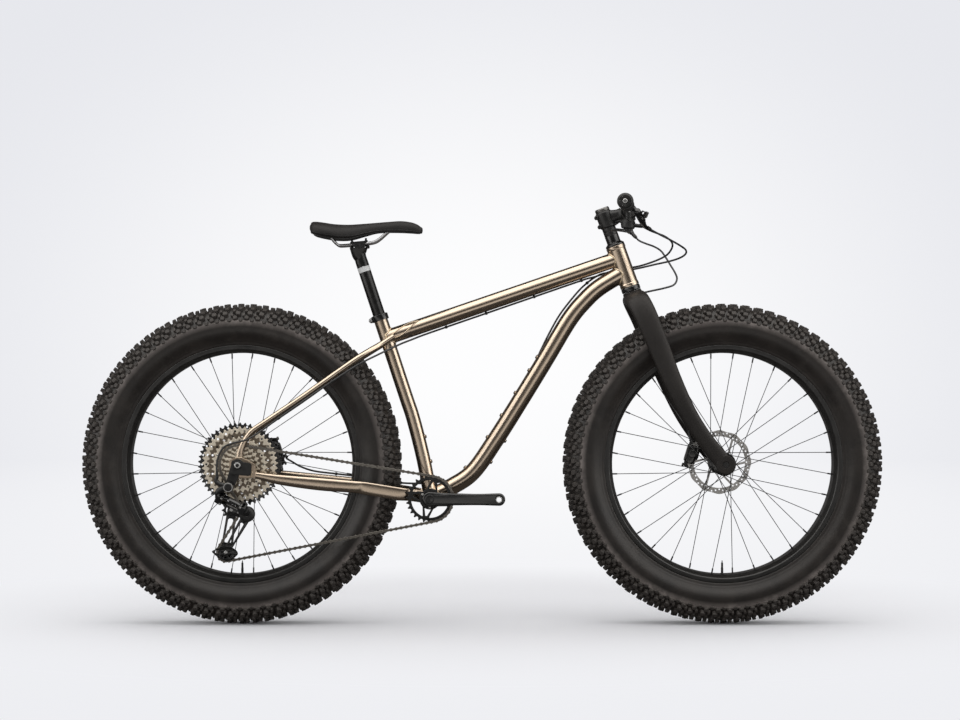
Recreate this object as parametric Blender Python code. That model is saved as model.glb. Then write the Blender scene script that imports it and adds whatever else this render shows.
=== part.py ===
"""A fat tyre bicycle with a bare metal frame, a rigid fork, disc brakes and one chainring.

Axes: +X points forward, +Y to the rider's left and +Z up. The origin is on the ground, half way
between the axles. All sizes are in metres. The crank side of the bicycle is at -Y.

Each sub-part is one closed object, made by its own function. Pieces that move hang on empties
that stand on their joint's axis.
"""

import math

import bmesh
import bpy
from mathutils import Matrix, Vector
from mathutils.geometry import tessellate_polygon

# Clearance left between pieces that touch on the real bicycle
GAP = 0.0003

# Wheels
TYRE_RADIUS = 0.3985
TYRE_HALF_WIDTH = 0.055
KNOB_HEIGHT = 0.006
KNOB_PITCHES = 32
RIM_EDGE_RADIUS = 0.2955
RIM_INNER_RADIUS = 0.2755
RIM_HALF_WIDTH = 0.040
VALVE_LENGTH = 0.034
SPOKES = 32
SPOKE_RADIUS = 0.0010
FRONT_HUB_WIDTH = 0.150
REAR_HUB_WIDTH = 0.197
FRONT_AXLE_RADIUS = 0.0075
AXLE_HEAD = 0.0050
REAR_AXLE_RADIUS = 0.0060
ROTOR_RADIUS = 0.080
ROTOR_THICKNESS = 0.0018
FRONT_DISC_Y = FRONT_HUB_WIDTH / 2 - 0.0105
REAR_DISC_Y = REAR_HUB_WIDTH / 2 - 0.0155

# Frame layout, as a frame builder sets it out
BRACKET_DROP = 0.0845
REAR_CENTRE = 0.4706
FRONT_CENTRE_LOW = 0.4983
HEAD_ANGLE = math.radians(70.0)
HEAD_TUBE_LENGTH = 0.107
FORK_LENGTH = 0.494
FORK_OFFSET = 0.0652
SEAT_LOWER_ANGLE = math.radians(102.5)
SEAT_LOWER_LENGTH = 0.200
SEAT_UPPER_ANGLE = math.radians(108.2)
SEAT_UPPER_LENGTH = 0.272
SEAT_TUBE_BOW = 0.003

# Tube sizes
HEAD_TUBE_RADIUS = 0.0232
HEAD_TUBE_BORE = 0.0187
TOP_TUBE_RADIUS = 0.01905
DOWN_TUBE_RADIUS = 0.0215
SEAT_TUBE_RADIUS = 0.01745
SEAT_POST_RADIUS = 0.01545
SEAT_STAY_RADIUS = 0.0075
STEERER_RADIUS = 0.0143
SHELL_RADIUS = 0.0225
SHELL_BORE = 0.0185
SHELL_HALF_WIDTH = 0.050
DROPOUT_THICKNESS = 0.007

# Drive train
PITCH = 0.0127
CHAIN_LINKS = 120
CHAIN_LINE = 0.0735
RING_TEETH = 28
COG_TEETH = (10, 12, 14, 16, 18, 21, 24, 28, 32, 36, 42, 50)
COG_IN_USE = 6
COG_SPACING = 0.0036
TOOTH_HALF_THICKNESS = 0.0008
TOOTH_HEIGHT = 0.0030
PULLEY_TEETH = 11
PULLEY_BORE = 0.0029
CRANK_LENGTH = 0.170
SPINDLE_RADIUS = 0.0119
CUP_RADIUS = 0.0210
CUP_DEPTH = 0.0115
ROLLER_HALF_LENGTH = 0.0024
PLATE_HALF_HEIGHT = 0.0036
PLATE_WAIST = 0.0027
INNER_SLOT = 0.00115
PLATE_THICKNESS = 0.00065

# Handlebar and controls
BAR_HALF_WIDTH = 0.380
BAR_CLAMP_RADIUS = 0.0159
BAR_END_RADIUS = 0.0111
GRIP_RADIUS = 0.0160
GRIP_LENGTH = 0.128
STEM_LENGTH = 0.060
STEM_HEIGHT = 0.182
HOSE_RADIUS = 0.0024

# Places that follow from the layout
REAR_TO_FRONT = (
    REAR_CENTRE + FRONT_CENTRE_LOW + FORK_LENGTH * math.cos(HEAD_ANGLE) + FORK_OFFSET * math.sin(HEAD_ANGLE)
)
REAR_AXLE = Vector((-REAR_TO_FRONT / 2, 0, TYRE_RADIUS))
FRONT_AXLE = Vector((REAR_TO_FRONT / 2, 0, TYRE_RADIUS))
BRACKET = REAR_AXLE + Vector((REAR_CENTRE, 0, -BRACKET_DROP))
STEER_AXIS = Vector((-math.cos(HEAD_ANGLE), 0, math.sin(HEAD_ANGLE)))
STEER_FORWARD = Vector((math.sin(HEAD_ANGLE), 0, math.cos(HEAD_ANGLE)))
HEAD_LOW = FRONT_AXLE + FORK_LENGTH * STEER_AXIS - FORK_OFFSET * STEER_FORWARD
SEAT_LOWER_AXIS = Vector((math.cos(SEAT_LOWER_ANGLE), 0, math.sin(SEAT_LOWER_ANGLE)))
SEAT_BEND = BRACKET + SEAT_LOWER_LENGTH * SEAT_LOWER_AXIS
SEAT_AXIS = Vector((math.cos(SEAT_UPPER_ANGLE), 0, math.sin(SEAT_UPPER_ANGLE)))
SEAT_TOP = SEAT_BEND + SEAT_UPPER_LENGTH * SEAT_AXIS
ACROSS = Vector((0, 1, 0))
UP = Vector((0, 0, 1))
STEM_DIRECTION = Vector((0.970, 0, 0.243))
BAR_CENTRE = HEAD_LOW + STEM_HEIGHT * STEER_AXIS + STEM_LENGTH * STEM_DIRECTION
BAR_SWEEP = Vector((-0.033, BAR_HALF_WIDTH, 0.001))


def steer_point(along, forward=0.0, side=0.0):
    """A place given by its distance along the steering axis from the head tube's foot."""
    return HEAD_LOW + along * STEER_AXIS + forward * STEER_FORWARD + side * ACROSS


def clear_scene():
    """Remove whatever the scene holds."""
    for obj in list(bpy.data.objects):
        bpy.data.objects.remove(obj, do_unlink=True)


def finish(name, colour, roughness, metallic):
    """One plain Principled material."""
    material = bpy.data.materials.new(name)
    material.use_nodes = True
    shader = material.node_tree.nodes["Principled BSDF"]
    shader.inputs["Base Color"].default_value = (*colour, 1.0)
    shader.inputs["Roughness"].default_value = roughness
    shader.inputs["Metallic"].default_value = metallic
    return material


def finishes():
    """Every material of the bicycle by name."""
    table = {
        "bare_metal": ((0.56, 0.47, 0.38), 0.30, 1.0),
        "carbon": ((0.035, 0.033, 0.031), 0.50, 0.0),
        "black_alloy": ((0.020, 0.020, 0.021), 0.40, 0.3),
        "black_plastic": ((0.018, 0.018, 0.019), 0.55, 0.0),
        "rubber": ((0.025, 0.023, 0.021), 0.80, 0.0),
        "tyre": ((0.030, 0.026, 0.023), 0.85, 0.0),
        "steel": ((0.50, 0.49, 0.47), 0.30, 1.0),
        "champagne_steel": ((0.58, 0.52, 0.42), 0.32, 1.0),
        "chain": ((0.13, 0.12, 0.11), 0.35, 1.0),
        "hose": ((0.012, 0.012, 0.013), 0.45, 0.0),
        "saddle_cover": ((0.020, 0.020, 0.021), 0.60, 0.0),
    }
    return {name: finish(name, *values) for name, values in table.items()}


def shape_from(bm, name, material, sharp_angle=35.0):
    """Turn a bmesh into a named object whose faces point out and whose round sides are smooth."""
    bmesh.ops.recalc_face_normals(bm, faces=bm.faces)
    mesh = bpy.data.meshes.new(name)
    bm.to_mesh(mesh)
    bm.free()
    mesh.materials.append(material)
    mesh.shade_smooth()
    mesh.set_sharp_from_angle(angle=math.radians(sharp_angle))
    obj = bpy.data.objects.new(name, mesh)
    bpy.context.scene.collection.objects.link(obj)
    return obj


def loft(rings, closed=False):
    """A skin through rings of points, with flat ends unless the last ring meets the first."""
    bm = bmesh.new()
    rows = [[bm.verts.new(point) for point in ring] for ring in rings]
    following = rows[1:] + rows[:1] if closed else rows[1:]
    for row, after in zip(rows, following):
        for i in range(len(row)):
            bm.faces.new((row[i - 1], row[i], after[i], after[i - 1]))
    if not closed:
        bm.faces.new(rows[0])
        bm.faces.new(list(reversed(rows[-1])))
    return bm


def square_to(direction, hint):
    """Two unit vectors square to a direction, the first as near to the hint as it can be."""
    first = (hint - hint.dot(direction) * direction).normalized()
    return first, direction.cross(first)


def circle(centre, direction, radius, sides, hint=ACROSS):
    """Points round an axis."""
    first, second = square_to(direction, hint)
    angles = [math.tau * i / sides for i in range(sides)]
    return [centre + radius * (math.cos(a) * first + math.sin(a) * second) for a in angles]


def turned(profile, origin, axis, sides, hint=UP, closed=False):
    """A turned shape: the profile is (distance along the axis, radius), end to end or all round."""
    rings = [circle(origin + along * axis, axis, radius, sides, hint) for along, radius in profile]
    return loft(rings, closed)


def tangents(points):
    """The direction of a path at each of its points."""
    ends = [points[0], *points, points[-1]]
    return [(ends[i + 2] - ends[i]).normalized() for i in range(len(points))]


def swept(path, halves, sides, across=ACROSS, power=1.0):
    """A rounded bar along a path. halves are its half sizes across and upright at each point.

    power under 1 squares the section off."""
    rings = []
    for centre, direction, (wide, tall) in zip(path, tangents(path), halves):
        side, upright = square_to(direction, across)
        ring = []
        for i in range(sides):
            angle = math.tau * (i + 0.5) / sides
            u = math.copysign(abs(math.cos(angle)) ** power, math.cos(angle))
            v = math.copysign(abs(math.sin(angle)) ** power, math.sin(angle))
            ring.append(centre + wide * u * side + tall * v * upright)
        rings.append(ring)
    return loft(rings)


def smooth(points, steps):
    """A smooth curve through the points, by the Catmull-Rom rule, with steps stretches to a span."""
    ends = [2 * points[0] - points[1], *points, 2 * points[-1] - points[-2]]
    found = []
    for i in range(len(points) - 1):
        a, b, c, d = ends[i : i + 4]
        for k in range(steps):
            t = k / steps
            found.append(
                0.5
                * (
                    2 * b
                    + (c - a) * t
                    + (2 * a - 5 * b + 4 * c - d) * t**2
                    + (3 * b - a - 3 * c + d) * t**3
                )
            )
    return [*found, points[-1]]


def thinned(points, within=0.0005):
    """A path without the points that lie so near the line between their neighbours."""
    kept = [points[0]]
    for point, after in zip(points[1:], points[2:]):
        chord = (after - kept[-1]).normalized()
        if (point - kept[-1]).cross(chord).length > within:
            kept.append(point)
    return [*kept, points[-1]]


def clear_of(radius, sides):
    """The radius of a bore with so many flat sides that leaves the clearance all round a pin."""
    return (radius + GAP) / math.cos(math.pi / sides)


def tube(path, radius, sides, across=ACROSS):
    """A round bar along a path."""
    return swept(path, [(radius, radius)] * len(path), sides, across)


def slab(loops, low, high):
    """A plate square to Y: the first loop of (x, z) is its outline and the others are holes."""
    bm = bmesh.new()
    flat = [Vector((x, z, 0)) for loop in loops for x, z in loop]
    sides = []
    for y in (low, high):
        sides.append([bm.verts.new((p.x, y, p.y)) for p in flat])
    triangles = tessellate_polygon([[Vector((x, z, 0)) for x, z in loop] for loop in loops])
    for a, b, c in triangles:
        bm.faces.new((sides[0][a], sides[0][b], sides[0][c]))
        bm.faces.new((sides[1][c], sides[1][b], sides[1][a]))
    start = 0
    for loop in loops:
        for i in range(len(loop)):
            a = start + i
            b = start + (i + 1) % len(loop)
            bm.faces.new((sides[0][a], sides[0][b], sides[1][b], sides[1][a]))
        start += len(loop)
    return bm


def ring_of(centre, radius, count):
    """Points of a circle as (x, z)."""
    angles = [math.tau * i / count for i in range(count)]
    return [(centre.x + radius * math.cos(a), centre.z + radius * math.sin(a)) for a in angles]


def arc_of(centre, radius, start, end, count):
    """Points of an arc as (x, z), with its angles in degrees."""
    angles = [math.radians(start + (end - start) * i / (count - 1)) for i in range(count)]
    return [(centre.x + radius * math.cos(a), centre.z + radius * math.sin(a)) for a in angles]


def block(centre, along, across, half_sizes):
    """A box with its own axes: along, across and the third square to both."""
    third = along.cross(across)
    a, b, c = half_sizes
    corners = ((-1, -1), (1, -1), (1, 1), (-1, 1))
    bottom = [centre - c * third + i * a * along + j * b * across for i, j in corners]
    return loft([bottom, [point + 2 * c * third for point in bottom]])


def merged(*shapes):
    """Several bmeshes in one, which are joined or cut by the Boolean that takes them."""
    whole = bmesh.new()
    for bm in shapes:
        bmesh.ops.recalc_face_normals(bm, faces=bm.faces)
        mesh = bpy.data.meshes.new("piece")
        bm.to_mesh(mesh)
        bm.free()
        whole.from_mesh(mesh)
        bpy.data.meshes.remove(mesh)
    return whole


def combine(obj, operation, shapes):
    """Join each shape to an object, or cut it away, one after the other."""
    for bm in shapes:
        tool = shape_from(bm, "tool", obj.data.materials[0])
        tool.hide_render = True
        tool.display_type = "WIRE"
        modifier = obj.modifiers.new(operation.title(), "BOOLEAN")
        modifier.operation = operation
        modifier.solver = "EXACT"
        modifier.object = tool
        bpy.context.view_layer.update()
        graph = bpy.context.evaluated_depsgraph_get()
        result = bpy.data.meshes.new_from_object(obj.evaluated_get(graph), depsgraph=graph)
        obj.modifiers.clear()
        obj.data = result
        bpy.data.objects.remove(tool, do_unlink=True)
    obj.data.shade_smooth()
    obj.data.set_sharp_from_angle(angle=math.radians(35))
    return obj


def join(obj, *shapes):
    return combine(obj, "UNION", shapes)


def cut(obj, *shapes):
    return combine(obj, "DIFFERENCE", shapes)


# Tubes of the frame, each with a grow value so that a neighbour can be cut to fit it


def seat_tube_shape(grow=0.0):
    bowed = BRACKET.lerp(SEAT_BEND, 0.5) + Vector((SEAT_TUBE_BOW, 0, 0))
    path = thinned(smooth([BRACKET, bowed, SEAT_BEND, SEAT_BEND.lerp(SEAT_TOP, 0.25), SEAT_TOP], 2))
    path[-1] += grow * SEAT_AXIS
    return tube(path, SEAT_TUBE_RADIUS + grow, 14)


def seat_height(below):
    """A place on the upper seat tube's centre line, below its top."""
    return SEAT_TOP - below * SEAT_AXIS


TOP_TUBE_REAR = seat_height(0.058)
TOP_TUBE_FRONT = steer_point(0.0755)


def top_tube_shape(grow=0.0):
    return tube([TOP_TUBE_REAR, TOP_TUBE_FRONT], TOP_TUBE_RADIUS + grow, 16)


# How far the down tube sways above its chord, as (share of the chord, sway)
DOWN_TUBE_FRONT = steer_point(0.039)
DOWN_TUBE_SWAY = (
    (0.0, 0.0),
    (0.074, -0.0229),
    (0.158, -0.0385),
    (0.288, -0.0294),
    (0.445, -0.0119),
    (0.601, 0.0071),
    (0.755, 0.0269),
    (0.842, 0.0285),
    (0.907, 0.0221),
    (1.0, 0.0),
)


def down_tube_point(share, sway):
    chord = DOWN_TUBE_FRONT - BRACKET
    return BRACKET + share * chord + sway * chord.normalized().cross(ACROSS)


def down_tube_shape(grow=0.0):
    path = thinned(smooth([down_tube_point(*place) for place in DOWN_TUBE_SWAY], 2), 0.0012)
    return tube(path, DOWN_TUBE_RADIUS + grow, 14)


def head_tube_shape(grow=0.0):
    profile = [(-grow, HEAD_TUBE_RADIUS + grow), (HEAD_TUBE_LENGTH + grow, HEAD_TUBE_RADIUS + grow)]
    return turned(profile, HEAD_LOW, STEER_AXIS, 16, ACROSS)


def shell_shape(grow=0.0):
    half = SHELL_HALF_WIDTH
    return turned([(-half, SHELL_RADIUS + grow), (half, SHELL_RADIUS + grow)], BRACKET, ACROSS, 16)


def frame_tubes(materials):
    """The head tube, the bottom bracket's shell and the three main tubes, mitred to one another."""
    metal = materials["bare_metal"]
    head = shape_from(head_tube_shape(), "head_tube", metal)
    head_bore = [(-0.01, HEAD_TUBE_BORE), (HEAD_TUBE_LENGTH + 0.01, HEAD_TUBE_BORE)]
    cut(head, turned(head_bore, HEAD_LOW, STEER_AXIS, 16, ACROSS))
    shell = shape_from(shell_shape(), "bottom_bracket_shell", metal)
    cut(shell, turned([(-0.06, SHELL_BORE), (0.06, SHELL_BORE)], BRACKET, ACROSS, 16))
    down = shape_from(down_tube_shape(), "down_tube", metal)
    cut(down, head_tube_shape(GAP), shell_shape(GAP))
    seat = shape_from(seat_tube_shape(), "seat_tube", metal)
    bore = clear_of(SEAT_POST_RADIUS, 14)
    cut(seat, shell_shape(GAP), down_tube_shape(GAP))
    cut(seat, turned([(-0.228, bore), (0.01, bore)], SEAT_TOP, SEAT_AXIS, 14, ACROSS))
    top = shape_from(top_tube_shape(), "top_tube", metal)
    cut(top, seat_tube_shape(GAP), head_tube_shape(GAP), down_tube_shape(GAP))


# Rear triangle

DROPOUT_INNER = REAR_HUB_WIDTH / 2
DROPOUT_OUTER = DROPOUT_INNER + DROPOUT_THICKNESS
DROPOUT_OUTLINE = (
    (-0.0190, 0.0130),
    (-0.0050, 0.0370),
    (0.0130, 0.0370),
    (0.0230, 0.0060),
    (0.0430, -0.0130),
    (0.0430, -0.0330),
    (0.0180, -0.0290),
    (-0.0040, -0.0180),
    (-0.0190, -0.0120),
)
STAY_TO_YOKE = (
    # share of the way from the dropout to the bracket, drop, distance from the middle,
    # half width, half height
    (0.040, -0.0230, 0.1020, 0.0035, 0.0100),
    (0.100, -0.0215, 0.0985, 0.0060, 0.0110),
    (0.220, -0.0155, 0.0900, 0.0080, 0.0120),
    (0.420, -0.0090, 0.0775, 0.0080, 0.0135),
    (0.600, -0.0040, 0.0700, 0.0070, 0.0150),
    (0.660, -0.0030, 0.0670, 0.0038, 0.0155),
    (0.800, -0.0020, 0.0642, 0.0035, 0.0155),
    (0.860, -0.0010, 0.0615, 0.0035, 0.0150),
    (0.915, 0.0000, 0.0500, 0.0040, 0.0150),
    (0.950, 0.0000, 0.0435, 0.0042, 0.0150),
    (0.985, 0.0000, 0.0425, 0.0045, 0.0150),
)


def chain_stay_shape(side, grow=0.0):
    path, halves = [], []
    for share, drop, aside, wide, tall in STAY_TO_YOKE:
        path.append(REAR_AXLE.lerp(BRACKET, share) + Vector((0, side * aside, drop)))
        halves.append((wide + grow, tall + grow))
    return swept(path, halves, 8, ACROSS, 0.8)


def dropout_shape(side, grow=0.0):
    """The plate that holds the axle. Grown, it is the air that its neighbours leave round it."""
    low, high = sorted((side * (DROPOUT_INNER - grow), side * (DROPOUT_OUTER + grow)))
    outline = [(REAR_AXLE.x + x, REAR_AXLE.z + z) for x, z in DROPOUT_OUTLINE]
    if not grow:
        return slab([outline, ring_of(REAR_AXLE, clear_of(REAR_AXLE_RADIUS, 12), 12)], low, high)
    middle_x = sum(x for x, _ in outline) / len(outline)
    middle_z = sum(z for _, z in outline) / len(outline)
    wider = []
    for x, z in outline:
        share = 1 + 1.5 * grow / math.hypot(x - middle_x, z - middle_z)
        wider.append((middle_x + (x - middle_x) * share, middle_z + (z - middle_z) * share))
    return slab([wider], low, high)


def chain_stay(name, side, materials):
    """A chain stay with its yoke plate and its dropout. side is -1 by the chain and 1 on the left."""
    stay = shape_from(chain_stay_shape(side), name, materials["bare_metal"])
    cut(stay, shell_shape(GAP))
    return join(stay, dropout_shape(side))


SEAT_STAY_PATH = (
    # share of the way from the stay's foot to its top, bow, distance from the middle
    (0.000, 0.0000, 0.1020),
    (0.050, 0.0125, 0.1020),
    (0.105, 0.0200, 0.1012),
    (0.200, 0.0185, 0.0975),
    (0.400, 0.0139, 0.0860),
    (0.580, 0.0115, 0.0740),
    (0.760, 0.0092, 0.0650),
    (0.840, 0.0065, 0.0540),
    (0.920, 0.0025, 0.0345),
    (1.000, 0.0000, 0.0271),
)
SEAT_STAY_FOOT = REAR_AXLE + Vector((0.0075, 0, 0.0375))
SEAT_STAY_TOP = seat_height(0.058) + Vector((0.0180, 0, 0.0030))
BRIDGE_SHARE = 0.75


def seat_stay_points(side):
    chord = SEAT_STAY_TOP - SEAT_STAY_FOOT
    upward = chord.normalized().cross(ACROSS)
    return [
        SEAT_STAY_FOOT + share * chord + bow * upward + side * aside * ACROSS
        for share, bow, aside in SEAT_STAY_PATH
    ]


def seat_stay_shape(side, grow=0.0):
    path = seat_stay_points(side)
    radius = SEAT_STAY_RADIUS + grow
    flat = (0.0035, 0.0045, 0.0062)
    halves = [(wide + grow, radius) for wide in flat]
    halves += [(radius, radius)] * (len(path) - len(flat))
    return swept(path, halves, 10, ACROSS)


def seat_stay(name, side, materials):
    """A seat stay from the dropout's top to the side of the top tube. The left one has the bridge."""
    stay = shape_from(seat_stay_shape(side), name, materials["bare_metal"])
    if side > 0:
        join(stay, bridge_shape())
        cut(stay, seat_stay_shape(-1, GAP))
    return cut(stay, dropout_shape(side, GAP), top_tube_shape(GAP), seat_tube_shape(GAP))


def bridge_shape():
    """The short tube over the tyre, which is part of the left seat stay and stops at the right one."""
    points = seat_stay_points(1)
    place = points[6].lerp(points[7], BRIDGE_SHARE)
    path = [Vector((place.x, y, place.z)) for y in (-place.y + 0.5 * SEAT_STAY_RADIUS, place.y)]
    return tube(path, 0.0045, 8, UP)


def seat_collar(materials):
    """The clamp ring on top of the seat tube, with its ears and bolt at the back."""
    inner = clear_of(SEAT_TUBE_RADIUS, 14)
    outer = inner + 0.0030
    lip = clear_of(SEAT_POST_RADIUS, 14)
    profile = [
        (-0.0130, outer),
        (0.0016, outer),
        (0.0030, lip + 0.0010),
        (0.0030, lip),
        (GAP, lip),
        (GAP, inner),
        (-0.0130, inner),
    ]
    ring = turned(profile, SEAT_TOP, SEAT_AXIS, 14, ACROSS, closed=True)
    collar = shape_from(ring, "seat_collar", materials["bare_metal"])
    backward = SEAT_AXIS.cross(ACROSS)
    ear = SEAT_TOP - 0.006 * SEAT_AXIS + (outer + 0.0030) * backward
    join(collar, block(ear, SEAT_AXIS, ACROSS, (0.0062, 0.0085, 0.0042)))
    cut(collar, block(ear, SEAT_AXIS, ACROSS, (0.02, 0.0010, 0.0065)))
    return collar


# Headset


HEADSET_SIDES = 14
HEADSET_BORE = clear_of(STEERER_RADIUS, HEADSET_SIDES)
HEADSET_SEAT = HEAD_TUBE_BORE * math.cos(math.pi / 16) - GAP


def lower_cup(materials):
    """The lower headset cup, pressed into the head tube."""
    profile = [
        (-GAP, HEAD_TUBE_RADIUS),
        (-0.0120, HEAD_TUBE_RADIUS + 0.0006),
        (-0.0120, HEADSET_BORE),
        (0.0090, HEADSET_BORE),
        (0.0090, HEADSET_SEAT),
        (-GAP, HEADSET_SEAT),
    ]
    cup = turned(profile, HEAD_LOW, STEER_AXIS, HEADSET_SIDES, ACROSS, closed=True)
    return shape_from(cup, "lower_headset_cup", materials["black_alloy"])


def headset_stack(materials):
    """The upper bearing, its cover and the spacers under the stem, which turn with the fork."""
    top = HEAD_TUBE_LENGTH
    profile = [
        (top - 0.0080, HEADSET_SEAT),
        (top + GAP, HEADSET_SEAT),
        (top + GAP, HEAD_TUBE_RADIUS),
        (top + 0.0045, HEAD_TUBE_RADIUS),
        (top + 0.0100, 0.0172),
        (0.1570, 0.0172),
        (0.1570, HEADSET_BORE),
        (top - 0.0080, HEADSET_BORE),
    ]
    stack = turned(profile, HEAD_LOW, STEER_AXIS, HEADSET_SIDES, ACROSS, closed=True)
    return shape_from(stack, "headset_cover_and_spacers", materials["black_alloy"])


# Fork

FORK_CROWN_TOP = -0.0123
FORK_FOOT_THICKNESS = 0.015
FORK_FOOT_RADIUS = 0.0240
FORK_LEG_LENGTH = 0.494
FORK_LEG = (
    # distance along the steering axis, forward, aside, half thickness, half depth
    (-0.0300, 0.0000, 0.0000, 0.0180, 0.0280),
    (-0.0320, 0.0010, 0.0300, 0.0160, 0.0290),
    (-0.0450, 0.0030, 0.0600, 0.0150, 0.0290),
    (-0.0850, 0.0070, 0.0760, 0.0130, 0.0280),
    (-0.1600, 0.0100, 0.0790, 0.0120, 0.0265),
    (-0.2500, 0.0130, 0.0800, 0.0115, 0.0235),
    (-0.3400, 0.0210, 0.0815, 0.0105, 0.0215),
    (-0.4100, 0.0360, 0.0825, 0.0095, 0.0205),
    (-0.4600, 0.0520, 0.0828, 0.0080, 0.0210),
    (-0.4850, 0.0615, 0.0828, 0.0072, 0.0205),
)


def fork_blades(grow=0.0):
    """Both legs and the crown over the tyre, as one skin from the right foot round to the left."""
    reach = FORK_LENGTH / FORK_LEG_LENGTH
    left = [steer_point(along * reach, forward, aside) for along, forward, aside, _, _ in FORK_LEG]
    right = [Vector((p.x, -p.y, p.z)) for p in reversed(left[1:])]
    halves = [(wide + grow, tall + grow) for *_, wide, tall in FORK_LEG]
    path = right + left
    sizes = list(reversed(halves[1:])) + halves
    rings = []
    for centre, direction, (wide, tall) in zip(path, tangents(path), sizes):
        along, side = square_to(direction, STEER_FORWARD)
        angles = [math.tau * (i + 0.5) / 8 for i in range(8)]
        rings.append([centre + tall * math.cos(a) * along + wide * math.sin(a) * side for a in angles])
    return loft(rings)


def fork_foot(side):
    """The round end of a leg, outside the hub."""
    half = FRONT_HUB_WIDTH / 2
    ends = sorted((side * half, side * (half + FORK_FOOT_THICKNESS)))
    profile = [(ends[0], FORK_FOOT_RADIUS), (ends[1], FORK_FOOT_RADIUS)]
    return turned(profile, FRONT_AXLE, ACROSS, 16)


def fork(materials):
    """The one-piece fork: two wide legs, the crown over the tyre, the steerer and the feet."""
    body = shape_from(fork_blades(), "fork", materials["carbon"])
    crown = [(FORK_CROWN_TOP, HEAD_TUBE_RADIUS), (-0.022, 0.0245), (-0.034, 0.0235)]
    steerer = [(-0.030, STEERER_RADIUS), (0.1985, STEERER_RADIUS)]
    join(
        body,
        turned(crown, HEAD_LOW, STEER_AXIS, 16, ACROSS),
        turned(steerer, HEAD_LOW, STEER_AXIS, 16, ACROSS),
        fork_foot(-1),
        fork_foot(1),
    )
    half = FRONT_HUB_WIDTH / 2
    bore = clear_of(FRONT_AXLE_RADIUS, 12)
    hub_room = turned([(-half, 0.0300), (half, 0.0300)], FRONT_AXLE, ACROSS, 12)
    return cut(body, turned([(-0.12, bore), (0.12, bore)], FRONT_AXLE, ACROSS, 12), hub_room)


# Stem and handlebar


def bar_point(y):
    """The middle of the handlebar at a distance from the middle of the bicycle."""
    straight = 0.060
    share = max(0.0, (abs(y) - straight) / (BAR_HALF_WIDTH - straight))
    return BAR_CENTRE + Vector((BAR_SWEEP.x * share, y, BAR_SWEEP.z * share))


def bar_direction(side):
    return (bar_point(side * BAR_HALF_WIDTH) - bar_point(side * 0.2)).normalized()


def stem_parts(materials):
    """The stem, its faceplate over the handlebar and the cap that preloads the headset."""
    black = materials["black_alloy"]
    centre = steer_point(STEM_HEIGHT)
    forward = (BAR_CENTRE - centre).normalized()
    collar = [(0.1575, 0.0185), (0.1600, 0.0200), (0.1960, 0.0200), (0.1985, 0.0185)]
    body = shape_from(turned(collar, HEAD_LOW, STEER_AXIS, 14, ACROSS), "stem", black)
    extension = [centre + 0.006 * forward, centre.lerp(BAR_CENTRE, 0.5), BAR_CENTRE - 0.010 * forward]
    halves = [(0.0165, 0.0175), (0.0150, 0.0140), (0.0210, 0.0155)]
    reach = 0.0230
    clamp = [(-reach, 0.0208), (reach, 0.0208)]
    join(body, swept(extension, halves, 10, ACROSS, 0.8), turned(clamp, BAR_CENTRE, ACROSS, 14))
    bar_bore = clear_of(BAR_CLAMP_RADIUS, 14)
    bore = turned([(-0.03, bar_bore), (0.03, bar_bore)], BAR_CENTRE, ACROSS, 14)
    steerer_bore = clear_of(STEERER_RADIUS, 16)
    cut(
        body,
        bore,
        turned([(0.10, steerer_bore), (0.22, steerer_bore)], HEAD_LOW, STEER_AXIS, 16, ACROSS),
        block(BAR_CENTRE + 0.0300 * forward, forward, ACROSS, (0.0305, 0.04, 0.04)),
    )
    plate = shape_from(turned(clamp, BAR_CENTRE, ACROSS, 14), "stem_faceplate", black)
    cut(
        plate,
        turned([(-0.03, bar_bore), (0.03, bar_bore)], BAR_CENTRE, ACROSS, 14),
        block(BAR_CENTRE - 0.0290 * forward, forward, ACROSS, (0.0300, 0.04, 0.04)),
        block(BAR_CENTRE + 0.020 * forward, forward, ACROSS, (0.012, 0.0095, 0.0090)),
    )
    cap_profile = [(0.1988, 0.0183), (0.2050, 0.0183), (0.2080, 0.0165)]
    cap = turned(cap_profile, HEAD_LOW, STEER_AXIS, 14, ACROSS)
    return [body, plate, shape_from(cap, "steerer_top_cap", materials["steel"])]


def handlebar(materials):
    stations = (-BAR_HALF_WIDTH, -0.13, -0.06, -0.035, 0.035, 0.06, 0.13, BAR_HALF_WIDTH)
    halves = []
    for y in stations:
        share = min(1.0, max(0.0, (abs(y) - 0.035) / 0.095))
        radius = BAR_CLAMP_RADIUS + (BAR_END_RADIUS - BAR_CLAMP_RADIUS) * share
        halves.append((radius, radius))
    bar = swept([bar_point(y) for y in stations], halves, 14, UP)
    return shape_from(bar, "handlebar", materials["black_alloy"])


def grip(name, side, materials):
    """A lock-on grip: a ring at each end, and closed at its outer end."""
    direction = bar_direction(side)
    end = bar_point(side * BAR_HALF_WIDTH)
    r = GRIP_RADIUS
    length = GRIP_LENGTH
    profile = [
        (-length, r + 0.0015),
        (-length + 0.010, r + 0.0015),
        (-length + 0.011, r - 0.0008),
        (-0.010, r),
        (-0.009, r + 0.0012),
        (0.0045, r),
    ]
    body = shape_from(turned(profile, end, direction, 12, UP), name, materials["rubber"])
    inner = clear_of(BAR_END_RADIUS, 12)
    return cut(body, turned([(-length - 0.02, inner), (GAP, inner)], end, direction, 12, UP))


# Brake levers and shifter

LEVER_CLAMP_Y = 0.228
SHIFTER_CLAMP_Y = 0.198


def clamp_ring(y, side, half_width, wall):
    """A ring round the handlebar, as a closed profile."""
    inner = clear_of(BAR_END_RADIUS, 12)
    outer = inner + wall
    profile = [(-half_width, inner), (-half_width, outer), (half_width, outer), (half_width, inner)]
    return turned(profile, bar_point(side * y), bar_direction(side), 12, UP, closed=True)


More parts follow.
